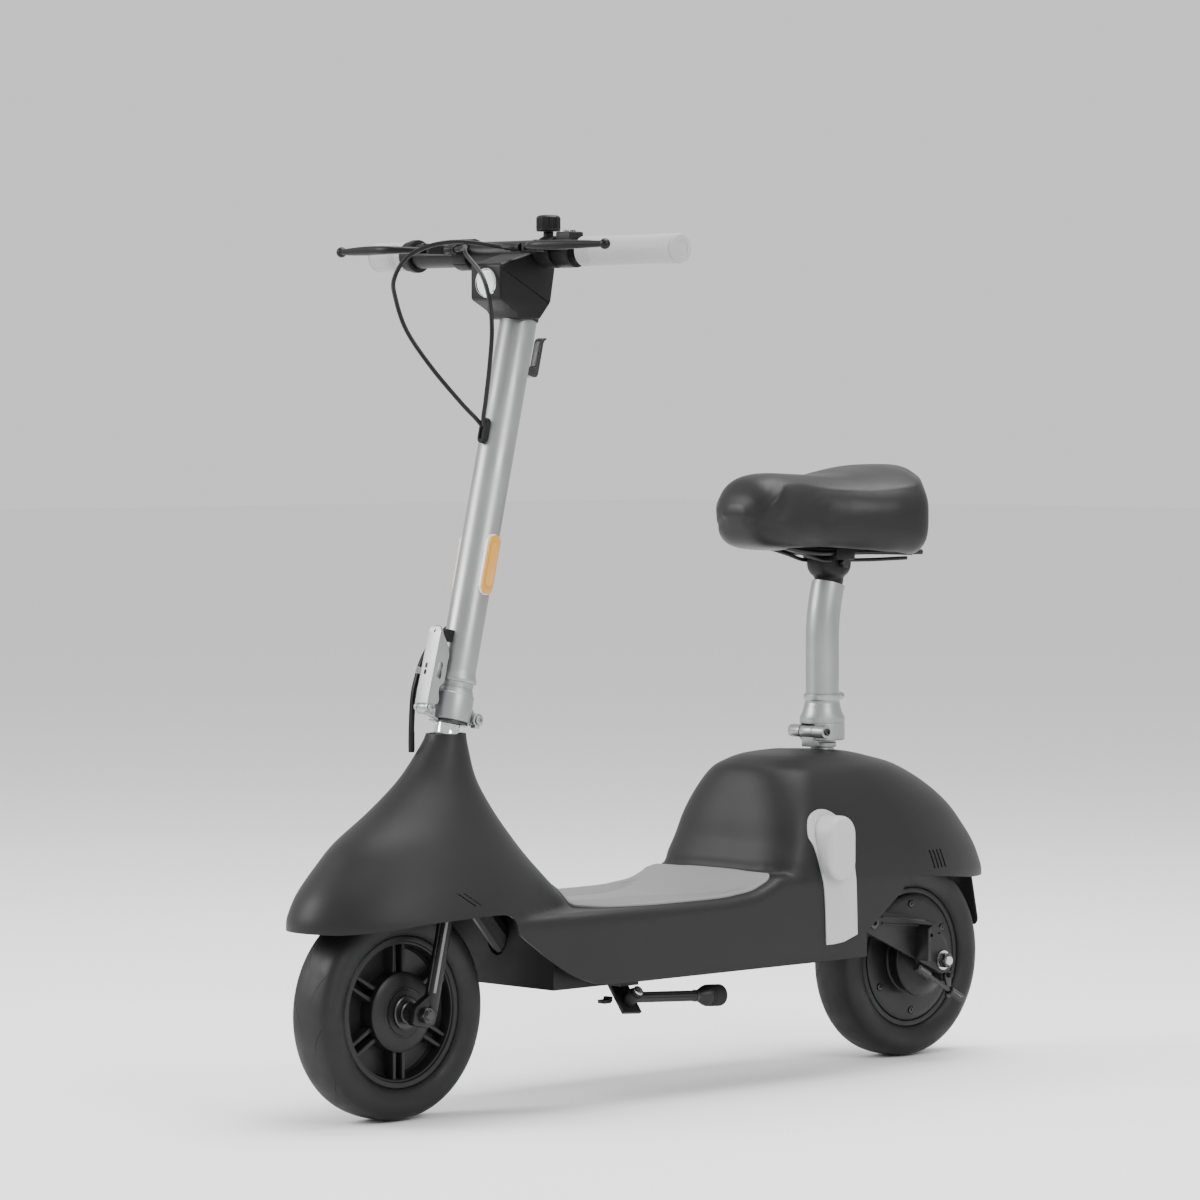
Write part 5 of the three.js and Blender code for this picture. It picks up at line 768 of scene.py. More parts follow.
# Drum brake and rear axle. A pressed plate closes the drum and carries the cam; its arm is pulled
# by the cable, which ends in two adjusters. Blackened nuts on plated washers clamp the axle.
cam_y, cam_z = 892.5, 106
brake_plate_profile = [(6.6, 42), (48.4, 42), (49, 42.8), (49, 46), (48, 47), (44, 47.4), (40, 49.8), (30, 50.8),
                       (18.5, 51), (17, 52.5), (17, 74.6), (6.6, 74.6), (6.6, 42)]
brake_plate = turned_piece("brake_plate_pressing", brake_plate_profile, "x", rear_hub, 96, sharp=28)
joined(brake_plate, rod("cam_boss", 8.8, 44, 69.8, "x", (0, cam_y, cam_z), 40, edge=1), "UNION", 28)
joined(brake_plate, rod("cam_end", 2.9, 60, 79.8, "x", (0, cam_y, cam_z), 24, edge=0.6), "UNION", 28)
finished(brake_plate, cast_black, "chassis", "brake_plate", slot="dark_steel")


def hex_nut(name, radius, low, high, axis, at, bore=0.0):
    """A hexagon nut with chamfered corners."""
    made = rod(name, radius, low, high, axis, at, 6)
    worn = (high - low) * 0.2
    chamfer_profile = [(0, low), (radius * 0.86, low), (radius * 1.01, low + worn), (radius * 1.01, high - worn),
                       (radius * 0.86, high), (0, high)]
    joined(made, turned_piece("chamfer", chamfer_profile, axis, at, 48), "INTERSECT", 25)
    if bore:
        joined(made, rod("thread_bore", bore, low - 2, high + 2, axis, at, 32), sharp=25)
    return made


bright_zinc = Finish("bright_zinc", (0.5, 0.5, 0.5), 0.28, 0.95)
zinc_bloom = bright_zinc.noise(260, 4)
bright_zinc.mottled(0.15, 120, 0.1)
bright_zinc.relief(zinc_bloom, 0.0002, 0.3)
axle_turns = [(0, -92.8), (5.3, -92.6), (5.9, -91.6)]
for k in range(6):
    axle_turns += [(5.9, -91 + 1.2 * k), (5.4, -90.5 + 1.2 * k), (5.9, -90 + 1.2 * k)]
axle_profile = axle_turns + [(5.95, -80), (5.95, 80)] + [(r, -h) for r, h in reversed(axle_turns)]
rear_axle = turned_piece("rear_axle_bolt", axle_profile, "x", rear_hub, 40, sharp=30)
finished(rear_axle, bright_zinc, "chassis", "rear_axle", slot="bright_steel")
washer_profile = [(6, 80.8), (12.2, 80.8), (12.4, 81.3), (12.2, 82.2), (6, 82.2), (6, 80.8)]
both_sides = (("left", 1, Matrix()), ("right", -1, Matrix.Scale(-1, 4, (1, 0, 0))))
for name, side, flip in both_sides:
    low, high = sorted((side * 82.4, side * 90.4))
    nut = hex_nut("rear_nut_" + name, 10, low, high, "x", rear_hub, bore=5.95)
    finished(nut, dark_steel, "chassis")
    washer = turned_piece("rear_washer_" + name, washer_profile, "x", rear_hub, 48, flip)
    finished(washer, bright_zinc, "chassis")

brake_arm_outline = ([(cam_y + 6 * math.cos(a), cam_z + 6 * math.sin(a)) for a in np.linspace(-0.5, math.pi + 0.3, 16)]
                     + [(890.5, 92), (889, 80.2), (892, 77.2), (896, 77), (898.4, 79.5), (898, 92)])
brake_arm = plate("brake_arm_pressing", brake_arm_outline, 70.1, 73.9, "x", rounding=0.7)
joined(brake_arm, rod("cam_bore", 3.4, 60, 90, "x", (0, cam_y, cam_z), 24), sharp=30)
finished(brake_arm, dark_steel, "drum_arm", "brake_arm")
dress("brake_cable_end", dark_steel)
pull_from, pull_to = Vector((92, 812, 124)), Vector((92, 897, 77))
pull_way = (pull_to - pull_from).normalized()
pull_frame = Matrix.Translation(pull_from) @ pull_way.to_track_quat("Z", "Y").to_matrix().to_4x4()
for i, (at, long) in enumerate(((2, 22), (72, 22))):
    ribs = [(3.1, at)]
    for k in range(11):
        ribs += [(5.45, at + 0.4 + long / 11 * k), (5.45, at + long / 11 * (k + 0.6)),
                 (4.8, at + long / 11 * (k + 0.75))]
    ribs += [(3.1, at + long), (3.1, at)]
    barrel_grip = turned_piece(f"cable_adjuster_{i}", ribs, "z", (0, 0, 0), 28, pull_frame, sharp=30)
    finished(barrel_grip, dark_steel, "chassis")

# Rear arms. Flat steel plates, cut to shape, held to the frame by one socket screw each and
# clamped on the axle; the left one carries a bent tab that holds the brake cable.


def turned_over(piece):
    """Turns a piece made for the rider's left into its twin for the right."""
    piece.data.transform(Matrix.Scale(-1, 4, (1, 0, 0)))
    piece.data.flip_normals()


arm_y, arm_z = 742, 184
around_axle = [math.radians(a) for a in range(-130, 61, 10)]
around_bolt = [math.radians(a) for a in range(80, 251, 10)]
arm_outline = [(wheelbase + 17 * math.cos(a), wheel_radius + 17 * math.sin(a)) for a in around_axle]
arm_outline += [(862, 176), (802, 190.5)]
arm_outline += [(arm_y + 15 * math.cos(a), arm_z + 15 * math.sin(a)) for a in around_bolt]
for name, side in (("left", 1), ("right", -1)):
    arm = plate("rear_arm_plate_" + name, arm_outline, side * 78 - 2.5, side * 78 + 2.5, rounding=0.9)
    low, high = sorted((side * 60, side * 100))
    joined(arm, rod("axle_slot", 6.4, low, high, "x", rear_hub, 32))
    if side > 0:
        for rise in (5, -3.5):
            ridge_outline = [(760, 183.5 + rise), (838, 174 + rise), (838, 177 + rise), (760, 186.5 + rise)]
            ridge = plate("arm_ridge", ridge_outline, 80.4, 81.9, rounding=0.5)
            joined(arm, ridge, "UNION")
        joined(arm, plate("cable_tab", [(822.5, 131), (827, 131), (827, 168), (832, 176), (822.5, 172)], 78, 102.3,
                          rounding=0.6), "UNION")
        for y, z in ((868, 163), (853, 160)):
            joined(arm, rod("arm_hole", 2.6, 60, 100, "x", (0, y, z), 24))
        joined(arm, rod("cable_hole", 5.9, -6, 40, "z", (0, 0, 0), 32, pull_frame))
    finished(arm, powder_coat, "chassis", "rear_arm_" + name, slot="frame_paint" if side > 0 else None)
    bolt = socket_screw("arm_bolt_" + name, 8, 5, "x", (80.6, arm_y, arm_z), 0.5)
    if side < 0:
        turned_over(bolt)
    finished(bolt, dark_steel, "chassis")

# Kickstand. A black leg with fine flutes turns on a bright pivot bolt in its leaning bracket; it
# flares out into a pushed-on rubber foot and is held up or down by a spring inside the barrel.
pivot_way = Vector((-0.769767, -0.038231, -0.637179))
stowed_way = Vector((0, 1, -0.06)).normalized()
stand_axes = Matrix((stowed_way, pivot_way.cross(stowed_way), pivot_way)).transposed()
stand_frame = Matrix.Translation((90, 310, 125)) @ stand_axes.to_4x4()
leg_steps = [(4, 6.5, 0), (15, 6.5, 0), (18, 6.5, 0.75), (101, 6.5, 0.75), (104, 6.5, 0), (105, 6.5, 0),
             (105.5, 7.1, 0), (109, 7.1, 0), (109.6, 6.7, 0), (112, 7.2, 0), (117, 9.2, 0), (122, 11.7, 0),
             (126, 13, 0), (127.4, 13.2, 0)]
leg_rings = []
for run, radius, depth in leg_steps:
    ring = []
    for i in range(80):
        angle = 2 * math.pi * i / 80
        r = radius - depth * (0.5 - 0.5 * math.cos(10 * angle)) ** 3
        ring.append((run, r * math.cos(angle), r * math.sin(angle)))
    leg_rings.append(ring)
stand_leg = skinned("kickstand_leg_tube", leg_rings, stand_frame, sharp=24)
joined(stand_leg, rod("barrel", 8.5, -8.4, 8.4, "z", (0, 0, 0), 56, stand_frame, edge=0.9), "UNION", 26)
joined(stand_leg, rod("pivot_bore", 4.1, -12, 12, "z", (0, 0, 0), 40, stand_frame), sharp=26)
finished(stand_leg, powder_coat, "stand", "kickstand_leg")
foot_profile = [(0, 128.2), (12.7, 128.2), (13.3, 128.9), (13.3, 131), (12.6, 131.6), (12.6, 132.4), (13.4, 133)]
foot_profile += ([(13.4, 145)] + [(7.4 + 6 * math.cos(a), 147.6 + 6 * math.sin(a))
                                  for a in np.linspace(0, math.pi / 2, 8)] + [(0, 153.9)])
stand_foot = turned_piece("kickstand_foot_rubber", foot_profile, "x", (0, 0, 0), 48, stand_frame, sharp=30)
finished(stand_foot, black_rubber, "stand", "kickstand_foot")
leg_band = turned_piece("kickstand_band", [(6.6, 105.7), (7.3, 105.8), (7.3, 108.7), (6.6, 108.8), (6.6, 105.7)], "x",
                        (0, 0, 0), 48, stand_frame)
finished(leg_band, dark_steel, "stand")
pivot_bolt = socket_screw("kickstand_pivot_head", 6.6, 3, "z", (0, 0, -15.6), 0.5, stand_frame)
finished(pivot_bolt, bright_zinc, "chassis")
catch_hook_outline = [(280, 118), (291, 118), (294, 121), (294, 126), (290, 126), (289, 122.5), (280, 122.5)]
catch_hook = plate("stand_catch", catch_hook_outline, 62, 74, rounding=0.8)
finished(catch_hook, powder_coat, "chassis")

# Fork. Two straight steel legs are pressed into a forged crown under the head tube and end in
# boxy lugs that take the axle; thin silver strips down the face of each leg are a painted highlight.
rake = Matrix.Translation((0, 15.557, 123.26)) @ Matrix.Rotation(math.radians(-13.52), 4, "X")
leg_x, leg_y = 58, -4
crown_end = [(9.8 * math.cos(a), 9.8 * math.sin(a)) for a in np.linspace(-math.pi / 2, math.pi / 2, 15)]
crown_plan = [(leg_x + u, leg_y + v) for u, v in crown_end] + [(19, 17), (-19, 17)]
crown_plan += [(-leg_x - u, leg_y - v) for u, v in crown_end] + [(-19, -21), (19, -21)]
fork_crown = plate("fork_crown_forging", crown_plan, 141.2, 157.8, "z", rake, rounding=2, steps=3)
joined(fork_crown, rod("steerer", 12.6, 150, 342.9, "z", (0, 0, 0), 56, rake, edge=0.8), "UNION")
finished(fork_crown, powder_coat, "steering", "fork_crown")
lug = [(-31, -12), (-28, -14.6), (-8, -14.6), (2.6, -8), (4.6, 8), (4.6, 22), (1, 25), (-11, 25), (-18, 19),
       (-29.4, 8), (-31, 4)]
axle_from_rake = (0, -15.557 / 0.97233, 0)
painted_highlight_strip = Finish("silver_leg_strip", (0.2, 0.2, 0.205), 0.32, 0.85)
painted_highlight_strip.mottled(0.08, 30, 0.06)
painted_highlight_strip.relief(painted_highlight_strip.noise(300, 3), 0.0002, 0.2)
for name, side in (("left", 1), ("right", -1)):
    leg = rod("fork_leg_tube_" + name, 9, 8, 140.9, "z", (side * leg_x, leg_y, 0), 72, rake, edge=0.6)
    middle = side * leg_x
    joined(leg, plate("axle_lug", lug, middle - 5.4, middle + 5.4, "x", rake, rounding=1.8, steps=3), "UNION", 30)
    joined(leg, rod("axle_bore", 6.35, middle - 20, middle + 20, "x", axle_from_rake, 40, rake), sharp=30)
    finished(leg, powder_coat, "steering", "fork_leg_" + name)
    # Painted highlight: a wide and a narrow silver strip on each leg stand in for the tube's reflections of the soft
    # boxes.
    for part, facing, half in (("wide", -30, 10), ("edge", -78, 4)):
        arc_shares = np.linspace(math.radians(facing - half), math.radians(facing + half), 14)
        outline = [(9.35 * math.cos(a) * side, 9.35 * math.sin(a)) for a in arc_shares]
        outline += [(8.8 * math.cos(a) * side, 8.8 * math.sin(a)) for a in arc_shares[::-1]]
        strip = plate(f"fork_strip_{name}_{part}", [(middle + x, leg_y + y) for x, y in outline], 27, 137, "z", rake)
        finished(strip, painted_highlight_strip, "steering")

# Front wheel. The same ten inch tyre sits on a cast rim with six pairs of ribs over a closed web;
# a domed cap, spacer rings and a blackened hexagon nut sit on each end of the axle.
front_hub = (0, 0, wheel_radius)
tyre("front_tyre_rubber", 0, 1, "front_wheel", "front_tyre", slot="tyre_rubber")
web_side = [(6.6, 31), (27, 31), (27, 28), (46, 24), (46, 21), (46, 3.4), (70, 3.4), (74.5, 4.6), (77.2, 8), (78, 13),
            (78.3, 19), (79.4, 21.8), (81.2, 22.2)]
front_half = web_side + rim_edge[::-1][1:-1] + [(85.4, 21.4), (84.4, 16), (82.6, 12)]
front_rim = turned_piece("front_rim_casting", mirrored(front_half), "x", front_hub, 144, sharp=28)
rib_frame = Matrix.Translation(front_hub)
for y in (-7, 7):
    rib_shape = [(-3.2, 24), (3.2, 24), (2.2, 79.5), (-2.2, 79.5)]
    rib = plate("web_rib", [(y + u, z) for u, z in rib_shape], -19.5, 19.5, "x", rib_frame, rounding=1.2, steps=2)
    joined(front_rim, repeated(rib, cast_black, 6, math.radians(60), front_hub), "UNION", 28)
joined(front_rim, rod("axle_room", 6.55, -40, 40, "x", front_hub, 40), sharp=28)
finished(front_rim, cast_black, "front_wheel", "front_rim", slot="rim_black")
cap_profile = [(27.3, 21.6), (47, 21.6), (47.2, 22.6), (46.6, 24.6), (45, 25.8), (41, 27.2), (35, 28.6), (30, 29.2),
               (29.2, 30), (27.3, 30), (27.3, 21.6)]
spacer_profile = [(6.3, 31.3), (19, 31.3), (19.6, 32), (19.6, 33.6), (18, 34.4), (13.2, 34.4), (13.2, 38),
                  (12.2, 38.8), (11.4, 39), (11.4, 52.2), (6.3, 52.2), (6.3, 31.3)]
for name, side, flip in both_sides:
    cap = turned_piece("front_hub_cap_" + name, cap_profile, "x", front_hub, 96, flip, sharp=26)
    finished(cap, cast_black, "front_wheel")
    spacer = turned_piece("front_spacer_" + name, spacer_profile, "x", front_hub, 64, flip, sharp=26)
    finished(spacer, dark_steel, "steering")
    low, high = sorted((side * 64.2, side * 71.6))
    nut = hex_nut("front_nut_" + name, 10, low, high, "x", front_hub, bore=5.95)
    finished(nut, dark_steel, "steering")
end_turns = [(0, -75.4), (5.2, -75.2), (5.9, -74.2)]
for k in range(3):
    end_turns += [(5.9, -73.6 + 1.2 * k), (5.4, -73.1 + 1.2 * k), (5.9, -72.6 + 1.2 * k)]
front_axle_profile = end_turns + [(5.95, -64), (5.95, 64)] + [(r, -h) for r, h in reversed(end_turns)]
front_axle = turned_piece("front_axle_bolt", front_axle_profile, "x", front_hub, 40, sharp=30)
finished(front_axle, dark_steel, "steering", "front_axle")

# Stem base. A dark steel disc closes the steerer below the folding joint; two silver hinge lugs
# stand at its rear, an ear for the latch in front, and a polished locknut shows under it.
polished_chrome = Finish("polished_chrome", (0.7, 0.71, 0.72), 0.07, 1.0)
polished_chrome.mottled(0.05, 60, 0.03)
polished_chrome.relief(polished_chrome.noise(90, 2), 0.0002, 0.08)
locknut_profile = [(12.8, 329.4), (17.3, 329.4), (17.4, 330.4), (15.2, 331), (15, 331.6), (15, 339), (14.4, 339.5),
                   (14.4, 340.3), (15, 340.8), (15, 342.4), (14.5, 343), (12.8, 343), (12.8, 329.4)]
locknut = turned_piece("headset_locknut", locknut_profile, "z", (0, 0, 0), 72, rake, sharp=26)
finished(locknut, polished_chrome, "steering", "headset_nut", slot="bright_steel")
satin_silver = Finish("satin_silver_alloy", (0.3, 0.303, 0.307), 0.38, 0.8)
turned_lines = satin_silver.noise(14, 3, vector=satin_silver.stretch(satin_silver.place(), (60, 60, 1.5)))
satin_silver.mottled(0.05, 18, 0.05)
satin_silver.relief(turned_lines, 0.00006, 0.08)
stem_hinge, latch_pivot = (0, 28.4, 353.8), (0, -42, 354.8)
base_disc = rod("stem_base_disc", 22.9, 343.4, 346.6, "z", (0, 0, 0), 96, rake, edge=0.6)
finished(base_disc, dark_steel, "steering", "stem_base", slot="dark_steel")
for name, side in (("left", 1), ("right", -1)):
    low, high = sorted((side * 12.2, side * 20))
    hinge_lug = plate("stem_hinge_lug_" + name, [(24.6, 343.5), (32.2, 343.5), (32.2, 353.8), (24.6, 353.8)], low, high,
                      "x", rake, rounding=0.5)
    joined(hinge_lug, rod("lug_barrel", 8, low, high, "x", stem_hinge, 56, rake, edge=0.9), "UNION", 30)
    finished(hinge_lug, satin_silver, "steering")
latch_post_outline = [(-46, 346.8), (-22.6, 343.6), (-22.6, 346.4), (-30, 347), (-38, 349.6), (-38, 354.8),
                      (-46, 354.8)]
latch_post = plate("stem_latch_post", latch_post_outline, -6.8, 6.8, "x", rake, rounding=0.6)
joined(latch_post, rod("latch_ear", 6, -6.8, 6.8, "x", latch_pivot, 40, rake, edge=0.6), "UNION", 30)
finished(latch_post, satin_silver, "steering")
for name, side in (("left", 1), ("right", -1)):
    for place, low, radius in ((stem_hinge, 20.1, 5.6), (latch_pivot, 11.2, 4.6)):
        head = socket_screw(f"stem_bolt_{name}_{int(radius * 10)}", radius, 2.7, "x", (low, place[1], place[2]), 0.5)
        head.data.transform(ground @ Matrix.Scale(side, 4, (1, 0, 0)) @ rake @ ground.inverted())
        if side < 0:
            head.data.flip_normals()
        finished(head, satin_silver, "steering")

# Folding stem. A welded aluminium tube: a cup that closes on the disc, a cone, a groove, a bead
# and the long tube above it, brushed and clear anodised; a black pad in front meets the latch.
stem_profile = [(0, 346.9), (24.1, 346.9), (25, 347.8), (25, 377.4), (24.5, 378.8), (23.5, 379.8), (22.4, 384.2),
                (22, 385.2), (21.4, 385.5), (21.4, 386.4), (21.8, 386.8), (21.7, 391), (22.3, 392), (23.9, 392.8),
                (24.5, 394.6), (24.4, 397), (23.4, 400.4), (22.4, 403.6), (22, 407), (22, 831.2), (21.6, 832),
                (19.5, 832), (19.5, 800), (0, 800)]
stem_body = turned_piece("stem_tube_welded", stem_profile, "z", (0, 0, 0), 120, rake, sharp=26)
joined(stem_body, plate("knuckle_root", [(6, 354), (28.4, 354), (28.4, 361.8), (24, 366), (6, 370)], -11.8, 11.8, "x",
                        rake, rounding=1), "UNION")
joined(stem_body, rod("hinge_knuckle", 8, -11.8, 11.8, "x", stem_hinge, 56, rake, edge=0.8), "UNION", 28)
for low, high in ((12, 25), (-25, -12)):
    joined(stem_body, rod("lug_room", 8.4, low, high, "x", stem_hinge, 56, rake), sharp=28)
finished(stem_body, satin_silver, "stem", "stem_tube", slot="stem_silver")
catch_pad_outline = [(-21, 437), (-33, 438.6), (-36.4, 441), (-36.4, 447), (-33, 450.4), (-21, 451)]
catch_pad = plate("latch_catch_pad", catch_pad_outline, -6.8, 6.8, "x", rake, rounding=1)
finished(catch_pad, black_moulding, "stem")

# Latch. A pressed and rolled silver channel pivots on the ear of the base and snaps over the pad
# of the stem; slots in its web and its sides show the hook inside it.
latch_frame = rake @ Matrix.Translation(latch_pivot)
roll = [(6 * math.cos(a), 6 * math.sin(a)) for a in np.linspace(math.radians(150), math.radians(360), 20)]
rear_edge = along_rows(swept((6, 0), (19, 98),
                             [(0, 0.04), (0.44, 0.1), (0.19, 0.25), (0.68, 0.36), (0.68, 0.56), (0.72, 0.67),
                              (0.4, 0.765), (0.05, 0.83), (-0.45, 0.92), (-0.37, 1)]), 41)
latch_side = roll + [tuple(p) for p in rear_edge]
latch_side += swept((-6, 0), (-2, 98), [(1, 1), (0.7, 0.97), (0.45, 0.9), (0, 0.04)])
latch = plate("latch_channel", latch_side, -11, 11, "x", latch_frame, rounding=2.1, steps=4, sharp=30)
channel = [(-3.2, 9), (-1.6, 88), (-0.4, 95), (1.2, 101), (45, 101), (45, 9)]
joined(latch, plate("channel_room", channel, -8.3, 8.3, "x", latch_frame))
joined(latch, rod("ear_room", 6.5, -7.2, 7.2, "x", (0, 0, 0), 40, latch_frame))
web_face = ([(-11.2, -9), (11.2, -9)] + [(11.2 * math.cos(a), 86 + 12 * math.sin(a))
                                         for a in np.linspace(0, math.pi, 25)])
joined(latch, plate("web_face", web_face, -12, 50, "y", latch_frame), "INTERSECT", 30)
joined(latch, plate("side_slot", stadium(7, 21, (4.5, 45)), -14, 14, "x", latch_frame), sharp=30)
for low, high in ((38.2, 44), (46, 52)):
    joined(latch, plate("web_slot", [(-5.2, low), (-0.2, low), (-0.2, high), (-5.2, high)], -20, 5, "y", latch_frame,
                        rounding=0.8), sharp=30)
joined(latch, rod("latch_eye", 1.9, -10, 12, "y", (0, 0, 90.5), 24, latch_frame), sharp=30)
finished(latch, satin_silver, "stem_latch", "latch_lever")
latch_hook = plate("latch_hook", [(-1.8, 34), (3, 35), (5, 44), (7.4, 52), (5, 55), (1, 46), (-1.9, 38)], -3, 3, "x",
                   latch_frame, rounding=0.6)
finished(latch_hook, dark_steel, "stem_latch")

# Wiring harness and cable grommet. Sleeved wires leave the stem above the latch, are held by a pale
# tie and run down before the bell; the rubber grommet guards the hole for the brake cables.


def along_route(name, route, radius, around=20, per=7, sharp=40):
    """A round cord along a smooth route; the radius may be a table over the route's share."""
    spine = along_rows(route, (len(route) - 1) * per + 1)
    shares = np.linspace(0, 1, len(spine))
    girth = np.full(len(spine), float(radius)) if np.isscalar(radius) else np.interp(shares, *np.array(radius, float).T)
    ways = np.gradient(spine, axis=0)
    ways /= np.linalg.norm(ways, axis=1)[:, None]
    across = np.cross(ways[0], (1, 0, 0.2))
    rings = []
    for point, way, r in zip(spine, ways, girth):
        across = across - way * across.dot(way)
        across /= np.linalg.norm(across)
        other = np.cross(way, across)
        rings.append([tuple(point + r * (across * math.cos(a) + other * math.sin(a)))
                      for a in np.linspace(0, 2 * math.pi, around, endpoint=False)])
    return skinned(name, rings, sharp=sharp)


cable_jacket = Finish("cable_jacket", (0.005, 0.005, 0.0053), 0.42, Specular_IOR_Level=0.25)
cable_jacket.mottled(0.2, 60, 0.08)
cable_jacket.relief(cable_jacket.noise(700, 2), 0.0002, 0.25)
harness_route = np.array([(-16, 118, 574), (-22, 104, 561), (-24, 88, 546.5), (-24, 76, 529), (-24, 67.7, 508.5),
                          (-24, 62.9, 491), (-24, 60.5, 465), (-24, 59.5, 438), (-24, 59.7, 424)], float)
harness = along_route("harness_sleeve", harness_route, [(0, 2.4), (0.1, 2.9), (0.9, 2.9), (1, 2.6)])
finished(harness, cable_jacket, "stem", "wiring_harness", slot="cable_black")
for k, (dx, dy) in enumerate(((-1.5, -2.2), (1.6, -2), (0.4, 2.4))):
    finished(along_route(f"harness_wire_{k}", harness_route + (dx, dy, 0), 1.15, 10), cable_jacket, "stem")
tie_way = Vector((harness_route[4] - harness_route[3]).tolist()).normalized()
tie_frame = Matrix.Translation(Vector((-24, 72, 519))) @ tie_way.to_track_quat("Z", "Y").to_matrix().to_4x4()
harness_tie = turned_piece("harness_tie", [(3.9, -4), (4.7, -3.7), (4.9, 0), (4.7, 3.7), (3.9, 4), (3.9, -4)], "z",
                           (0, 0, 0), 32, tie_frame)
joined(harness_tie, plate("tie_head", [(3, -3), (8, -3), (8, 3), (3, 3)], -2.4, 2.4, "x", tie_frame, rounding=0.7),
       "UNION")
finished(harness_tie, pale_moulding, "stem")
ferrule = along_route("harness_ferrule", [(-24, 59.6, 448), (-24, 59.5, 438), (-24, 59.7, 426)], 3.7, 28)
finished(ferrule, black_moulding, "stem")
stem_bore, grommet_middle = 22.06, (0, 691)
grommet = plate("cable_grommet_rubber", stadium(13, 31, grommet_middle), -27.8, -19, "y", rake, rounding=1.7, steps=3)
joined(grommet, rod("stem_seat", stem_bore, 660, 720, "z", (0, 0, 0), 96, rake))
joined(grommet, plate("grommet_mouth", stadium(6.4, 22, grommet_middle), -30, -25.6, "y", rake), sharp=30)
finished(grommet, black_rubber, "stem", "cable_grommet")

# Reflectors and bag hook. Amber prism plates in thin frames are glued to both sides of the tube;
# a dark cast hook for a bag is fixed behind it, just below the head.
amber_prisms = Finish("amber_prisms", (0.66, 0.33, 0.03), 0.2, Coat_Weight=0.5)
prism_grid = amber_prisms.node("ShaderNodeTexVoronoi", {"distance": "CHEBYCHEV"},
                               {"Vector": amber_prisms.place(), "Scale": 420.0, "Randomness": 0.0}, output="Distance")
prism_cloud = amber_prisms.steps(prism_grid, 0.1, 0.5)
amber_prisms.feed(Base_Color=amber_prisms.mix(prism_cloud, (0.74, 0.4, 0.05), (0.5, 0.22, 0.015)),
                  Roughness=amber_prisms.steps(prism_cloud, 0, 1, 0.16, 0.3))
amber_prisms.relief(prism_grid, 0.0006, 0.5)
clear_base = Finish("clear_grey_base", (0.62, 0.63, 0.64), 0.24, Coat_Weight=0.3)
clear_base.mottled(0.05, 60, 0.05)
clear_base.relief(clear_base.noise(900, 2), 0.0001, 0.2)
reflector_middle = (0, 535)
for name, side in (("left", 1), ("right", -1)):
    low, high = sorted((side * 18, side * 24.6))
    base_plate = plate("reflector_base_" + name, stadium(19.8, 73, reflector_middle), low, high, "x", rake,
                       rounding=0.7)
    joined(base_plate, rod("tube_seat", 22.12, 480, 590, "z", (0, 0, 0), 120, rake))
    finished(base_plate, clear_base, "stem")
    low, high = sorted((side * 24.7, side * 27.2))
    lens_plate = plate("reflector_lens_" + name, stadium(18.2, 71, reflector_middle), low, high, "x", rake,
                       rounding=1.2, steps=3)
    low, high = sorted((side * 26.6, side * 27.8))
    joined(lens_plate, plate("lens_pad", stadium(12.6, 52, reflector_middle), low, high, "x", rake, rounding=0.4),
           "UNION", 30)
    finished(lens_plate, amber_prisms, "stem", "reflector_" + name, slot="amber_reflector")
hook_side = [(18, 770), (36, 770), (39.6, 771.5), (41, 775), (41, 813), (42.6, 817), (46, 819.4), (45, 820),
             (40.5, 819.6), (37.4, 817), (36.2, 813), (36, 784), (34.6, 781.6), (32, 781), (18, 781)]
bag_hook = plate("bag_hook_casting", hook_side, -6, 6, "x", rake, rounding=1.5, steps=3)
joined(bag_hook, rod("hook_seat", stem_bore, 760, 830, "z", (0, 0, 0), 96, rake))
finished(bag_hook, dark_steel, "stem", "bag_hook")

# Head housing. Two black mouldings meet on a slanting seam and wrap the bar and the lamp; a short
# collar of the lower one slips over the top of the stem.
bar_middle = Matrix.Translation((0, 220.58, 1011.03))
bar_bore, lamp_middle = 15.06, (0, 0, -36)
head_side = [(-64, -14), (-64, -56), (-38.4, -69.2), (-32, -79), (0, -79), (17.5, -59), (25, -18), (12, -0.4),
             (-15, -0.4)]
head_shell = plate("head_housing_moulding", head_side, -27, 27, "x", bar_middle, rounding=3.6, steps=4, sharp=30)
head_collar_profile = [(0, 832.4), (23.2, 832.4), (23.5, 833), (23.5, 852), (23, 856), (0, 856)]
joined(head_shell, turned_piece("head_collar", head_collar_profile, "z", (0, 0, 0), 96, rake), "UNION", 30)
joined(head_shell, rod("bar_bore", bar_bore, -40, 40, "x", (0, 0, 0), 72, bar_middle), sharp=30)
for low, high in ((26.1, 40), (-40, -26.1)):
    joined(head_shell, plate("seam", [(-70, -14.6), (-70, -15.7), (26, -66.2), (26, -65.1)], low, high, "x",
                             bar_middle), sharp=30)
for low, high in ((26.5, 40), (-40, -26.5)):
    joined(head_shell, plate("lower_step", [(-70, -15.7), (26, -66.2), (26, -90), (-70, -90)], low, high, "x",
                             bar_middle), sharp=30)
joined(head_shell, plate("heel_shadow", [(3, -80), (3, -74), (19.5, -54), (30, -54), (30, -80)], 24.8, 40, "x",
                         bar_middle), sharp=30)
joined(head_shell, rod("lamp_seat", 17.9, -70, -57.2, "y", lamp_middle, 96, bar_middle), sharp=30)
finished(head_shell, black_moulding, "stem", "head_housing")

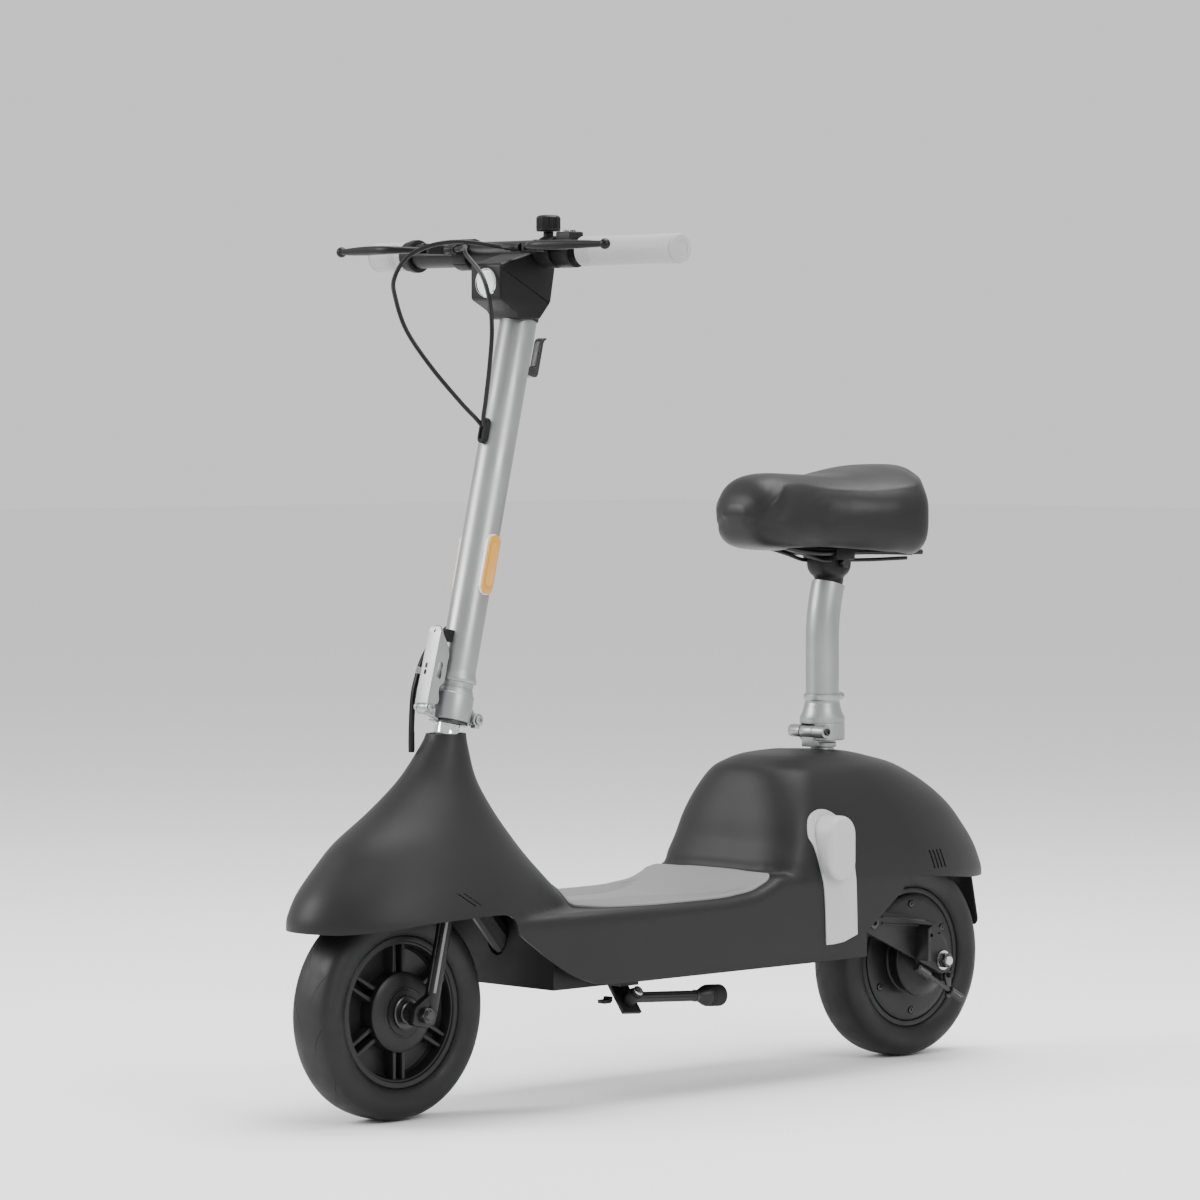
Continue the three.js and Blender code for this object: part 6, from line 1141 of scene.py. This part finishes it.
# Headlamp. A ribbed white lens behind a thin silver ring, pressed into the face of the housing.
lens_profile = [(0, -66)]
for k in range(7):
    r = 1.6 + 2 * k
    lens_profile += [(r, -66 + 0.0075 * r * r), (r + 0.5, -65.75 + 0.0075 * r * r)]
lens_profile += [(15, -64), (15.2, -62), (0, -62)]
lamp_lens = turned_piece("headlamp_lens", lens_profile, "y", lamp_middle, 96, bar_middle, sharp=14)
lens_white = Finish("opal_lens", (0.82, 0.83, 0.84), 0.12, Coat_Weight=0.6)
lens_white.mottled(0.05, 55, 0.04)
lens_white.relief(lens_white.noise(200, 2), 0.0002, 0.2)
finished(lamp_lens, lens_white, "stem", "headlight", slot="lamp_white")
lamp_ring_profile = [(15.3, -64.2), (15.9, -65), (16.8, -65), (17.6, -64), (17.6, -57.6), (15.3, -57.6), (15.3, -64.2)]
lamp_ring = turned_piece("headlamp_ring", lamp_ring_profile, "y", lamp_middle, 96, bar_middle, sharp=26)
finished(lamp_ring, polished_chrome, "stem")

# Handlebar and grips. A straight steel tube in gloss black, drawn down at its ends, carries soft
# pale rubber grips; each ends in a turned-over lip, and the right one is short behind the throttle.
gloss_black = Finish("gloss_black_paint", (0.005, 0.005, 0.0053), 0.4, Specular_IOR_Level=0.2)
gloss_black.mottled(0.2, 40, 0.06)
gloss_black.relief(gloss_black.noise(600, 2), 0.0002, 0.12)
bar_tube_profile = [(0, -258.6), (10.9, -258.6), (10.9, -187), (12, -186.4), (15, -185.8), (15, 89.8), (12, 90.4),
                    (10.9, 91), (10.9, 258.6), (0, 258.6)]
bar_tube = turned_piece("handlebar_tube", bar_tube_profile, "x", (0, 0, 0), 72, bar_middle, sharp=30)
finished(bar_tube, gloss_black, "stem", "handlebar")
pale_grip = Finish("pale_grip_rubber", (0.33, 0.33, 0.34), 0.6)
grip_skin = pale_grip.noise(480, 4)
pale_grip.mottled(0.06, 35, 0.05)
pale_grip.relief(grip_skin, 0.0004, 0.35)
for name, side, start in (("left", 1, 101), ("right", -1, 204)):
    long = 262 - start
    lip = [(11, start + 0.2), (17.1, start + 0.3), (17.7, start + 1), (17.7, start + 4.4), (16.9, start + 5)]
    grooves = []
    for k in range(5):
        at = start + 8 + 3 * k
        grooves += [(17.3, at), (17.3, at + 1.6), (16.8, at + 2), (16.8, at + 2.6)]
    waist = [(17.3, start + 24), (16.9, start + long * 0.5), (17.2, start + long * 0.8), (17.5, 255)]
    tail = [(17.5, 257.4), (16.8, 257.9), (16.8, 258.8), (17.3, 259.3), (17, 260.8), (15.6, 261.8), (10, 261.9),
            (9.4, 261.2), (0, 261.2), (0, 259), (11, 259), (11, start + 0.2)]
    grip = turned_piece("grip_rubber_" + name, lip + grooves + waist + tail, "x", (0, 0, 0), 80, bar_middle, sharp=28)
    if side < 0:
        turned_over(grip)
    finished(grip, pale_grip, "stem", "grip_" + name, slot="grip_grey" if side > 0 else None)

# Lever perches and brake levers. Cast black perches are clamped on the bar by one screw each; the
# forged blades turn on a pivot screw, sweep forward and out, and end in safety balls.
lever_coat = Finish("lever_black_coat", (0.005, 0.005, 0.0053), 0.42, Specular_IOR_Level=0.2)
lever_coat.mottled(0.2, 70, 0.07)
lever_coat.relief(lever_coat.noise(420, 3), 0.0003, 0.2)
bell_x = 40
blade_rows = along_rows([(0, 0, 8), (12, -20.4, 7.6), (31.7, -34, 6.6), (59.4, -33, 5.6), (95, -25.8, 4.8),
                         (132, -17, 4.3)], 41)
for name, side, start in (("left", 1, 34), ("right", -1, 87)):
    perch = rod("lever_perch_casting_" + name, 19, start, start + 24, "x", (0, 0, 0), 72, bar_middle, edge=1.4)
    arm_plan = [(start, 0), (start, -36), (start + 6, -44), (start + 20, -57), (start + 41, -57), (start + 44, -54),
                (start + 44, -43), (start + 36, -37), (start + 24, -15), (start + 24, 0)]
    joined(perch, plate("perch_arm", arm_plan, -0.8, 10.8, "z", bar_middle, rounding=2.2, steps=3), "UNION", 30)
    perch_link_outline = [(start + 0.3, -40), (start + 12, -40), (start + 12, -10), (start + 0.3, -10)]
    joined(perch, plate("perch_link", perch_link_outline, -0.8, 10.8, "z", bar_middle), "UNION", 30)
    lever_gate_outline = [(start + 24, -80), (start + 70, -80), (start + 70, -36), (start + 24, -36)]
    joined(perch, plate("lever_gate", lever_gate_outline, 1.1, 8.9, "z", bar_middle), sharp=30)
    stop = [(2, start - 12), (4.2, start - 12), (4.6, start - 11.4)]
    for k in range(5):
        stop += [(4.9, start - 10.6 + 1.4 * k), (4.9, start - 9.9 + 1.4 * k), (4.3, start - 9.6 + 1.4 * k)]
    stop += [(4.6, start - 3), (4.9, start + 4), (2, start + 4), (2, start - 12)]
    joined(perch, turned_piece("cable_adjuster", stop, "x", (0, -43, 5), 32, bar_middle), "UNION", 30)
    joined(perch, rod("bar_room", bar_bore, start - 5, start + 30, "x", (0, 0, 0), 72, bar_middle), sharp=30)
    clamp_split_outline = [(start - 1, -20), (start + 25, -20), (start + 25, -14), (start - 1, -14)]
    joined(perch, plate("clamp_split", clamp_split_outline, -12.8, -11.6, "z", bar_middle), sharp=30)
    if side > 0:
        joined(perch, rod("bell_post", 6, 14, 24.1, "z", (bell_x, 0, 0), 40, bar_middle, edge=0.5), "UNION", 30)
    pivot_x, pivot_y = start + 36, -48
    pivot = socket_screw("lever_pivot_" + name, 5, 2.4, "z", (pivot_x, pivot_y, 10.9), 0.5, bar_middle)
    clamp_screw = socket_screw("perch_screw_" + name, 3.2, 2, "z", (start + 12, -17.5, 10.9), 0.55, bar_middle)
    rings = []
    slope = np.gradient(blade_rows[:, :2], axis=0)
    slope /= np.linalg.norm(slope, axis=1)[:, None]
    for (u, v, half), (tu, tv) in zip(blade_rows, slope):
        thick = 3.6 + 2 * math.sin(math.pi * min(u / 128, 1))
        ring = []
        for a in np.linspace(0, 2 * math.pi, 24, endpoint=False):
            c, s = math.cos(a), math.sin(a)
            wide = half * squared_off(c, 0.75)
            ring.append((pivot_x + u - tv * wide, pivot_y + v + tu * wide, 5 + thick * squared_off(s, 0.7)))
        rings.append(ring)
    blade = skinned("brake_lever_blade_" + name, rings, bar_middle)
    joined(blade, rod("lever_root", 7.8, 1.6, 8.4, "z", (pivot_x, pivot_y, 0), 40, bar_middle, edge=0.7), "UNION", 35)
    ball = [(6.4 * math.sin(a), -6.4 * math.cos(a)) for a in np.linspace(0, math.pi, 17)]
    joined(blade, turned_piece("lever_ball", ball, "z", (pivot_x + 132, pivot_y - 17, 5), 32, bar_middle), "UNION", 35)
    joined(blade, rod("pivot_room", 3.1, -8, 20, "z", (pivot_x, pivot_y, 0), 32, bar_middle), sharp=35)
    parts = [(perch, black_moulding, "stem", "lever_perch_" + name), (pivot, dark_steel, "stem", None),
             (clamp_screw, dark_steel, "stem", None), (blade, lever_coat, name + "_lever", "brake_lever_" + name)]
    for part, finish, body, stands_for in parts:
        if side < 0:
            turned_over(part)
        finished(part, finish, body, *([stands_for] if stands_for else []))

# Control pod, its two buttons, the thumb throttle and the bell. Small black mouldings on the bar:
# the pod and the throttle are split clamps, the bell is a ribbed knob that is twisted to ring.
pod_x = 76
pod = rod("control_pod_moulding", 19, pod_x - 12.9, pod_x + 12.9, "x", (0, 0, 0), 72, bar_middle, edge=1)
joined(pod, plate("pod_top", [(63.2, -11), (88.8, -11), (88.8, 11), (63.2, 11)], 10, 23.4, "z", bar_middle, rounding=2,
                  steps=3), "UNION", 30)
joined(pod, rod("pod_bore", bar_bore, 55, 95, "x", (0, 0, 0), 72, bar_middle), sharp=30)
for name, y in (("light", -5.5), ("horn", 5.5)):
    joined(pod, rod("button_well", 4.1, 16.8, 30, "z", (pod_x, y, 0), 40, bar_middle), sharp=30)
    cap_profile = [(0, 19.9), (3.4, 19.9), (3.5, 20.2), (3.5, 24.8), (3.1, 25.5), (2.4, 25.75), (0, 25.5)]
    cap = turned_piece(name + "_button_cap", cap_profile, "z", (pod_x, y, 0), 40, bar_middle, sharp=30)
    button_plastic = Finish(name + "_button_plastic", (0.16, 0.16, 0.165) if name == "light" else (0.05, 0.05, 0.052),
                            0.4)
    button_plastic.mottled(0.1, 60, 0.05)
    button_plastic.relief(button_plastic.noise(900, 2), 0.0002, 0.2)
    finished(cap, button_plastic, name, name + "_button")
finished(pod, black_moulding, "stem", "control_pod")
throttle = rod("throttle_ring", 20, 186.5, 195.2, "x", (0, 0, 0), 72, bar_middle, edge=1)
joined(throttle, rod("throttle_core", 18.2, 195, 203.6, "x", (0, 0, 0), 72, bar_middle, edge=0.8), "UNION", 30)
paddle_side = [(12, -4), (26, -4.6), (40, -3.4), (44.6, -1.4), (45.9, 1), (44.6, 2.6), (40, 2.2), (28, 2), (14, 4)]
joined(throttle, plate("thumb_paddle", paddle_side, 186.6, 195, "x", bar_middle, rounding=1.2, steps=3), "UNION", 30)
joined(throttle, rod("throttle_bore", bar_bore, 180, 210, "x", (0, 0, 0), 72, bar_middle), sharp=30)
for k in range(4):
    joined(throttle, plate("thumb_groove", [(30 + 3 * k, 1), (31 + 3 * k, 1), (31 + 3 * k, 6), (30 + 3 * k, 6)], 188,
                           193.6, "x", bar_middle), sharp=30)
turned_over(throttle)
finished(throttle, black_moulding, "throttle", "throttle_lever")
bell_rings = []
bell_steps = [(24.4, 12.6, 0), (24.6, 13.8, 0), (25.6, 14.3, 0), (27.4, 14.3, 0), (28, 14.4, 0.75), (39.6, 14.4, 0.75),
              (40.4, 14.3, 0), (41.4, 13.9, 0), (42.6, 12.8, 0), (43.6, 10.6, 0), (44.1, 7, 0), (44.2, 3, 0)]
for height, radius, rib in bell_steps:
    ring = []
    for i in range(96):
        r, angle = radius - rib * (i % 4 in (1, 2)), 2 * math.pi * i / 96
        ring.append((bell_x + r * math.cos(angle), r * math.sin(angle), height))
    bell_rings.append(ring)
bell_knob = skinned("bell_knob", bell_rings, bar_middle, sharp=24)
finished(bell_knob, gloss_black, "bell_cap", "bell")

# Brake cables. Two black housings leave the perches in loose loops in front of the lamp and enter
# the stem through the grommet; black ferrules close them at the adjusters.
left_loop = [(21.6, 177.4, 1016), (14, 177.2, 1016.2), (0, 174, 1018.5), (-37.1, 150, 1023.7), (-65.5, 128, 1019.1),
             (-88, 110, 1004.4), (-98.1, 100, 980.2), (-92, 96, 958.8), (-74.9, 98, 919.6), (-46.1, 110, 877),
             (-17.9, 132, 834.6), (-4, 148, 812), (-3.4, 158, 800)]
right_loop = [(-74.6, 177.4, 1016), (-67, 177.2, 1016.2), (-52, 172, 1018.5), (-26.8, 150, 1009), (8.7, 142, 984),
              (26.1, 138, 954.1), (32.7, 136, 918.8), (25.4, 139, 876.8), (12, 145, 834.6), (4, 149, 812),
              (3.4, 158, 800)]
for name, loop in (("left", left_loop), ("right", right_loop)):
    finished(along_route("brake_cable_housing_" + name, loop, 2.65, 16, 9), cable_jacket, "stem", "brake_cable_" + name)
    near = np.array(loop[0]) + (np.array(loop[1]) - np.array(loop[0])) * np.array([[0.02], [0.5], [1.1]])
    finished(along_route("cable_ferrule_" + name, near.tolist(), 3.1, 20), lever_coat, "stem")

# Seat socket. A turned silver sleeve stands on the seat tube inside the shell; its flange
# meets the collar of the post and its knuckle holds the bolt of the folding barrel.
barrel_y, barrel_z = seat_y - 24, 421.5
seat_sleeve_profile = [(0, 380.4), (14.4, 380.4), (17.3, 381), (17.4, 386), (17, 392), (14.9, 399.6), (14.9, 401),
                       (17.2, 401.2), (17.9, 402), (17.9, 406.6), (17.2, 407.4), (0, 407.4)]
seat_sleeve = turned_piece("seat_socket_sleeve", seat_sleeve_profile, "z", (0, seat_y, 0), 96, sharp=28)
knuckle_arm_outline = [(seat_y - 27, 402), (seat_y, 402), (seat_y, 407), (seat_y - 16, 407), (seat_y - 17, 429),
                       (seat_y - 27, 429)]
joined(seat_sleeve, plate("knuckle_arm", knuckle_arm_outline, -10.6, 10.6, "x", rounding=1), "UNION", 28)
joined(seat_sleeve, rod("knuckle_barrel", 7.9, -10.6, 10.6, "x", (0, barrel_y, barrel_z), 56, edge=0.8), "UNION", 28)
finished(seat_sleeve, satin_silver, "chassis", "seat_socket", slot="bright_steel")
for name, side in (("left", 1), ("right", -1)):
    bolt_head = socket_screw("seat_bolt_" + name, 4.6, 2.8, "x", (30.2, barrel_y, barrel_z), 0.5)
    if side < 0:
        turned_over(bolt_head)
    finished(bolt_head, dark_steel, "seat")

# Seat post. A collar, a cone and a bead are turned and welded to a silver tube that is bent back
# near its top and cut off at a slant; the barrel in front takes the hinge bolt.
post_collar_profile = [(0, 410.2), (27.4, 410.2), (28.4, 411.2), (28.4, 430.6), (27.9, 431.2), (27.9, 432),
                       (28.4, 432.6), (28.4, 438.6), (27.6, 440), (24.6, 446), (22.8, 453.4), (22.4, 456), (21.8, 457),
                       (21.8, 459.4), (22.8, 460), (23.7, 462), (23.7, 466.4), (22.9, 467.8), (21.4, 468.6), (0, 468.6)]
post_collar = turned_piece("seat_post_collar", post_collar_profile, "z", (0, seat_y, 0), 120, sharp=28)
barrel_web_outline = [(seat_y - 24, 416.6), (seat_y, 416.6), (seat_y, 429.3), (seat_y - 24, 429.3)]
joined(post_collar, plate("barrel_web", barrel_web_outline, -24, 24, "x", rounding=0.8), "UNION", 28)
joined(post_collar, rod("collar_barrel", 8, -30, 30, "x", (0, barrel_y, barrel_z), 64, edge=0.7), "UNION", 28)
knuckle_room_outline = [(seat_y - 33, 408), (seat_y - 14.6, 408), (seat_y - 14.6, 431.4), (seat_y - 33, 431.4)]
joined(post_collar, plate("knuckle_room", knuckle_room_outline, -11.4, 11.4, "x"), sharp=28)
finished(post_collar, satin_silver, "seat", "seat_post", slot="stem_silver")
bend_foot, bend_rise, bend_back = 536, 74, 12
bend = [(0, seat_y, 462), (0, seat_y, 500), (0, seat_y, bend_foot)]
bend += [(0, seat_y + bend_back * s * s, bend_foot + bend_rise * s) for s in (0.2, 0.35, 0.5, 0.7, 0.85, 1, 1.12)]
seat_tube = along_route("seat_post_tube", bend, 21, 96, 8, sharp=30)
slant_outline = [(seat_y - 60, 626), (seat_y + 70, 590.5), (seat_y + 70, 680), (seat_y - 60, 680)]
slant = plate("slant_cut", slant_outline, -60, 60, "x")
joined(seat_tube, slant, sharp=28)
joined(seat_tube, along_route("tube_bore", bend[-4:], 18.5, 64, 8, sharp=30), sharp=28)
finished(seat_tube, satin_silver, "seat")
lock_pin_profile = [(0, -4.2), (3.3, -4.2), (3.3, 4), (4.9, 4.4), (5, 5.4), (5, 10.4), (4.4, 11.6), (4.9, 12.4),
                    (4.9, 22.4), (4.2, 24.2), (0, 24.8)]
lock_pin = turned_piece("seat_lock_pin_turned", lock_pin_profile, "y", (0, seat_y + 12.6, 464), 48, sharp=28)
joined(lock_pin, rod("post_room", 21.2, 455, 475, "z", (0, seat_y, 0), 96))
finished(lock_pin, satin_silver, "seat_pin", "seat_lock_pin", slot="bright_steel")

# Saddle clamp. The plug of a black cast cup is pressed in the bent post; its head widens to a grip
# that holds the two rails and is drawn together by one cross bolt with nuts.
clamp_y = seat_y + bend_back
rail_x, rail_z = 23, 646
clamp_rows = [(588.4, 18.1, 18.1, 2), (606, 18.1, 18.1, 2), (613, 18.4, 18.4, 2), (616, 19.6, 20, 2.1),
              (619, 21, 23, 2.4), (624, 21.8, 26, 2.8), (631, 22, 27.6, 3), (639, 22, 27.6, 3), (640, 21, 26.8, 3)]
cup_rings = []
for height, across, along, power in along_rows(clamp_rows, 45):
    shift = min(bend_back, bend_back * ((height - bend_foot) / bend_rise) ** 2)
    cup_rings.append([(across * squared_off(math.cos(a), 2 / power),
                       seat_y + shift + along * squared_off(math.sin(a), 2 / power), height)
                      for a in np.linspace(0, 2 * math.pi, 72, endpoint=False)])
clamp_cup = skinned("saddle_clamp_cup", cup_rings, sharp=30)
clamp_grip_outline = [(clamp_y - 16.6, 637), (clamp_y + 16.6, 637), (clamp_y + 16.6, 651.6), (clamp_y + 14, 653.4),
                      (clamp_y - 14, 653.4), (clamp_y - 16.6, 651.6)]
joined(clamp_cup, plate("clamp_grip", clamp_grip_outline, -29.6, 29.6, "x", rounding=1), "UNION", 30)
for side in (1, -1):
    joined(clamp_cup, rod("rail_bed", 3.8, clamp_y - 40, clamp_y + 40, "y", (side * rail_x, 0, rail_z), 32), sharp=30)
finished(clamp_cup, black_moulding, "seat", "seat_clamp", slot="black_plastic")
for side in (1, -1):
    low, high = sorted((side * 24.3, side * 29.4))
    finished(hex_nut(f"clamp_nut_{side + 1}", 6.4, low, high, "x", (0, clamp_y, 633)), dark_steel, "seat")

# Saddle frame. Two black steel rails run from a bracket under the nose through the clamp to a cross
# tube at the tail, where grey elastomer posts carry the pan; thin stays brace the frame.
tail_tube_y = clamp_y + 84.3
rail_route = [(0.6, -1.03, 1), (0.8, -0.75, 0.4), (1, -0.4, 0), (1, 0, 0), (1.2, 0.45, 0), (2.6, 0.8, 0), (3, 1, 0)]
for name, side in (("left", 1), ("right", -1)):
    route = [(side * rail_x * across, clamp_y + run * (105 if run < 0 else 98), rail_z + 12 * rise)
             for across, run, rise in rail_route]
    rail = along_route("saddle_rail_" + name, route, 3.4, 24, 9, sharp=40)
    if side > 0:
        finished(rail, powder_coat, "seat", "seat_rails", slot="black_plastic")
    else:
        finished(rail, powder_coat, "seat")
finished(rod("rail_nose_bracket", 4.8, -15.8, 15.8, "x", (0, clamp_y - 106.4, 657.8), 32, edge=1.2), powder_coat,
         "seat")
finished(rod("rail_tail_tube", 4.2, -64.2, 64.2, "x", (0, tail_tube_y, rail_z), 32, edge=1.2), powder_coat, "seat")
damper_grey = Finish("damper_grey", (0.23, 0.23, 0.235), 0.5)
damper_grey.mottled(0.06, 40, 0.05)
damper_grey.relief(damper_grey.noise(500, 2), 0.0002, 0.25)
for name, side in (("left", 1), ("right", -1)):
    rings = [(0, 644), (4.4, 644), (6.6, 646)] + [(6.9 if k % 2 else 5.6, 648 + 1.7 * k) for k in range(7)]
    rings += [(6.8, 660), (6.6, 662.6), (0, 662.6)]
    damper = turned_piece("saddle_damper_" + name, rings, "z", (side * 50.6, tail_tube_y, 0), 40, sharp=40)
    finished(damper, damper_grey, "seat")
stay_ends = [((20, -88, 656), (52, 10, 656.5)), ((-20, -88, 656), (-52, 10, 656.5)), ((56, 4, 656.5), (52, 82, 655)),
             ((-56, 4, 656.5), (-52, 82, 655))]
for k, (a, b) in enumerate(stay_ends):
    middle = tuple((p + q) / 2 for p, q in zip(a, b))
    stay_route = [(x, clamp_y + y, z) for x, y, z in (a, (middle[0], middle[1], middle[2] + 0.6), b)]
    stay = along_route(f"saddle_stay_{k}", stay_route, 1.8, 14, 6)
    finished(stay, powder_coat, "seat")
for name, side in (("left", 1), ("right", -1)):
    spring_route = [(side * 15, clamp_y - 104, 655), (side * 15.6, clamp_y - 62, 645), (side * 17, clamp_y - 34, 637.4),
                    (side * 18, clamp_y - 18, 636), (side * 20, clamp_y + 20, 636), (side * 32, clamp_y + 52, 636.4),
                    (side * 46, clamp_y + 78, 637.6), (side * 50, clamp_y + 90, 638)]
    finished(along_route("saddle_spring_wire_" + name, spring_route, 2.4, 18, 8), powder_coat, "seat")
damper_plate_outline = [(-46, clamp_y + 22), (46, clamp_y + 22), (38, clamp_y + 42), (-38, clamp_y + 42)]
damper_plate = plate("damper_bridge", damper_plate_outline, 655.4, 659.8, "z", rounding=1)
finished(damper_plate, damper_grey, "seat")

# Saddle pan. A black injection-moulded pan follows the plan of the cushion and carries lengthwise
# ribs; the cover is stapled round its edge.
nose_y, tail_y, saddle_half, saddle_low, saddle_high = 575, 867, 115, 636, 757
run_shares = [0, 0.03, 0.085, 0.18, 0.32, 0.44, 0.56, 0.68, 0.8, 0.9, 0.96, 1]
width_shares = [0.17, 0.35, 0.455, 0.525, 0.575, 0.695, 0.86, 0.98, 1, 0.76, 0.58, 0.28]
top_shares = [0.6, 0.74, 0.87, 0.915, 0.9, 0.89, 0.9, 0.945, 0.99, 1, 0.99, 0.91]
floor_shares = [0.4, 0.24, 0.15, 0.12, 0.12, 0.1, 0.06, 0.02, 0, 0.128, 0.24, 0.42]


def saddle_outline(margin, nose, tail):
    """The saddle's plan between two places along it, drawn in by a margin."""
    rows = [(saddle_half * np.interp((y - nose_y) / (tail_y - nose_y), run_shares, width_shares) - margin, y)
            for y in np.linspace(nose, tail, 50)]
    return rows + [(-x, y) for x, y in reversed(rows)]


pan = plate("saddle_pan_moulding", saddle_outline(22.2, 633.2, 840.6), 663.2, 667.8, "z", rounding=0.8)
for x in (-24, 0, 24):
    joined(pan, plate("pan_rib", [(x - 1.4, 640), (x + 1.4, 640), (x + 1.4, 800), (x - 1.4, 800)], 660.4, 664, "z"),
           "UNION")
finished(pan, black_moulding, "seat", "saddle_pan", slot="black_plastic")

# Saddle. A foam cushion in satin black vinyl, narrow at the nose and wide at the tail. A soft ridge
# parts the raised top panel from the drawn-in sides, and the cover tucks in under the nose. It is
# blown up a little as cloth, and the room for the pan is cut out of its underside.
saddle_rows = along_rows(list(zip(run_shares, width_shares, top_shares, floor_shares)), 73)
saddle_rings = []
for run, wide, top, floor in saddle_rows:
    half = saddle_half * wide * 0.982
    high = blended(top, saddle_low, saddle_high) - 0.6
    low = blended(floor, saddle_low, saddle_high) + 0.6
    middle, reach = (high + low) / 2, (high - low) / 2
    ring = []
    for a in np.linspace(0, 2 * math.pi, 112, endpoint=False):
        c, s = math.cos(a), math.sin(a)
        across, up = (0.8, 0.9) if s > 0 else (0.55, 0.5)
        ring.append((half * squared_off(c, across), blended(run, nose_y + 1.6, tail_y - 1.6),
                     middle + reach * squared_off(s, up)))
    saddle_rings.append(ring)
nose_middle = np.mean([point[2] for point in saddle_rings[0]])
nose_dome = [[(x * shrink, y - ahead, nose_middle + (z - nose_middle) * shrink) for x, y, z in saddle_rings[0]]
             for shrink, ahead in ((0.25, 1.5), (0.55, 1.25), (0.8, 0.75))]
cushion = skinned("saddle_cushion", nose_dome + saddle_rings, sharp=180)
worked(cushion, "REMESH", mode="VOXEL", voxel_size=0.0032)
relaxed(cushion.data, 8)
# Where a point lies from nose to tail (share), from underside to crown (level) and from the middle
# to the side (outward), each from 0 to 1, says how far it is pushed sideways.
spots = points_of(cushion.data) * 1000 + (0, front_axle_to_middle, 0)
share = (spots[:, 1] - nose_y) / (tail_y - nose_y)
half_here = saddle_half * np.interp(share, run_shares, width_shares)
high_here = blended(np.interp(share, run_shares, top_shares), saddle_low, saddle_high)
low_here = blended(np.interp(share, run_shares, floor_shares), saddle_low, saddle_high)
level = (spots[:, 2] - low_here) / (high_here - low_here)
ridge = np.interp(share, [0, 0.03, 0.08, 0.145, 0.25, 0.37, 0.56, 0.75, 0.92, 1],
                  [0.57, 0.58, 0.68, 0.88, 0.88, 0.84, 0.81, 0.8, 0.83, 0.8])
hem = np.interp(share, [0, 0.1, 0.2, 0.3, 1], [0.36, 0.34, 0.2, 0.1, 0.08])
outward = np.clip(np.abs(spots[:, 0]) / half_here, 0, 1)
chine = 3.4 * np.exp(-np.abs(level - ridge) / 0.055) - 1.6 * np.exp(-((level - ridge - 0.1) / 0.05) ** 2)
chine *= np.interp(share, [0, 0.05, 0.12, 0.86, 0.97], [0.15, 0.35, 1, 1, 0.4])
waist = -2.6 * np.exp(-((level - ridge + 0.25) / 0.16) ** 2) * np.interp(share, [0, 0.08, 0.2, 0.5], [0, 0.8, 0.6, 0])
tuck = -2.4 * np.interp(level - hem, [-0.04, 0.0], [1, 0]) * np.interp(share, [0.15, 0.4], [1, 0.25])
push = (chine + waist + tuck) * np.interp(outward, [0.45, 0.8], [0, 1])
spots[:, 0] += np.sign(spots[:, 0]) * np.maximum(push, -0.3 * np.abs(spots[:, 0]))
spots[:, 1] -= tuck * np.interp(share, [0, 0.04], [0.6, 0])
spots[:, 1] += chine * np.interp(share, [0.95, 1], [0, 0.8])
cushion.data.vertices.foreach_set("co", ((spots - (0, front_axle_to_middle, 0)) / 1000).ravel())
cushion.data.update()
relaxed(cushion.data, 2)
most_blown = 0.0012
foam = cushion.copy()
foam.data = cushion.data.copy()
bpy.context.collection.objects.link(foam)
worked(foam, "REMESH", mode="VOXEL", voxel_size=0.005)
start = points_of(foam.data)
cloth = foam.modifiers.new("stuffing", "CLOTH").settings
cloth.use_pressure, cloth.uniform_pressure_force = True, 1.2
cloth.tension_stiffness = cloth.compression_stiffness = 40
cloth.effector_weights.gravity = 0
for moment in range(1, 9):
    bpy.context.scene.frame_set(moment)
blown = bpy.data.meshes.new_from_object(foam.evaluated_get(bpy.context.evaluated_depsgraph_get()))
moved = points_of(blown) - start
length = np.linalg.norm(moved, axis=1)[:, None]
moved *= np.minimum(1, most_blown / np.maximum(length, 1e-9))
foam_tree = BVHTree.FromPolygons([tuple(p) for p in start], [tuple(f.vertices) for f in foam.data.polygons])
corners = [tuple(f.vertices) for f in foam.data.polygons]
for vertex in cushion.data.vertices:
    _, _, nearest, _ = foam_tree.find_nearest(vertex.co)
    vertex.co += Vector(np.mean([moved[k] for k in corners[nearest]], axis=0))
bpy.context.scene.frame_set(1)
bpy.data.objects.remove(foam)
relaxed(cushion.data, 2)
room = plate("pan_room", saddle_outline(21.7, 632.7, 841.3), 620, 668.3, "z")
joined(cushion, room, sharp=60)
vinyl = Finish("satin_black_vinyl", (0.0125, 0.0125, 0.013), 0.42, Specular_IOR_Level=0.22)
pebble = vinyl.node("ShaderNodeTexVoronoi", {"feature": "SMOOTH_F1"}, {"Vector": vinyl.place(), "Scale": 900.0},
                    output="Distance")
vinyl.mottled(0.05, 12, 0.05)
vinyl.relief(pebble, 0.00012, 0.3)
finished(cushion, vinyl, "seat", "saddle", slot="saddle_cover")
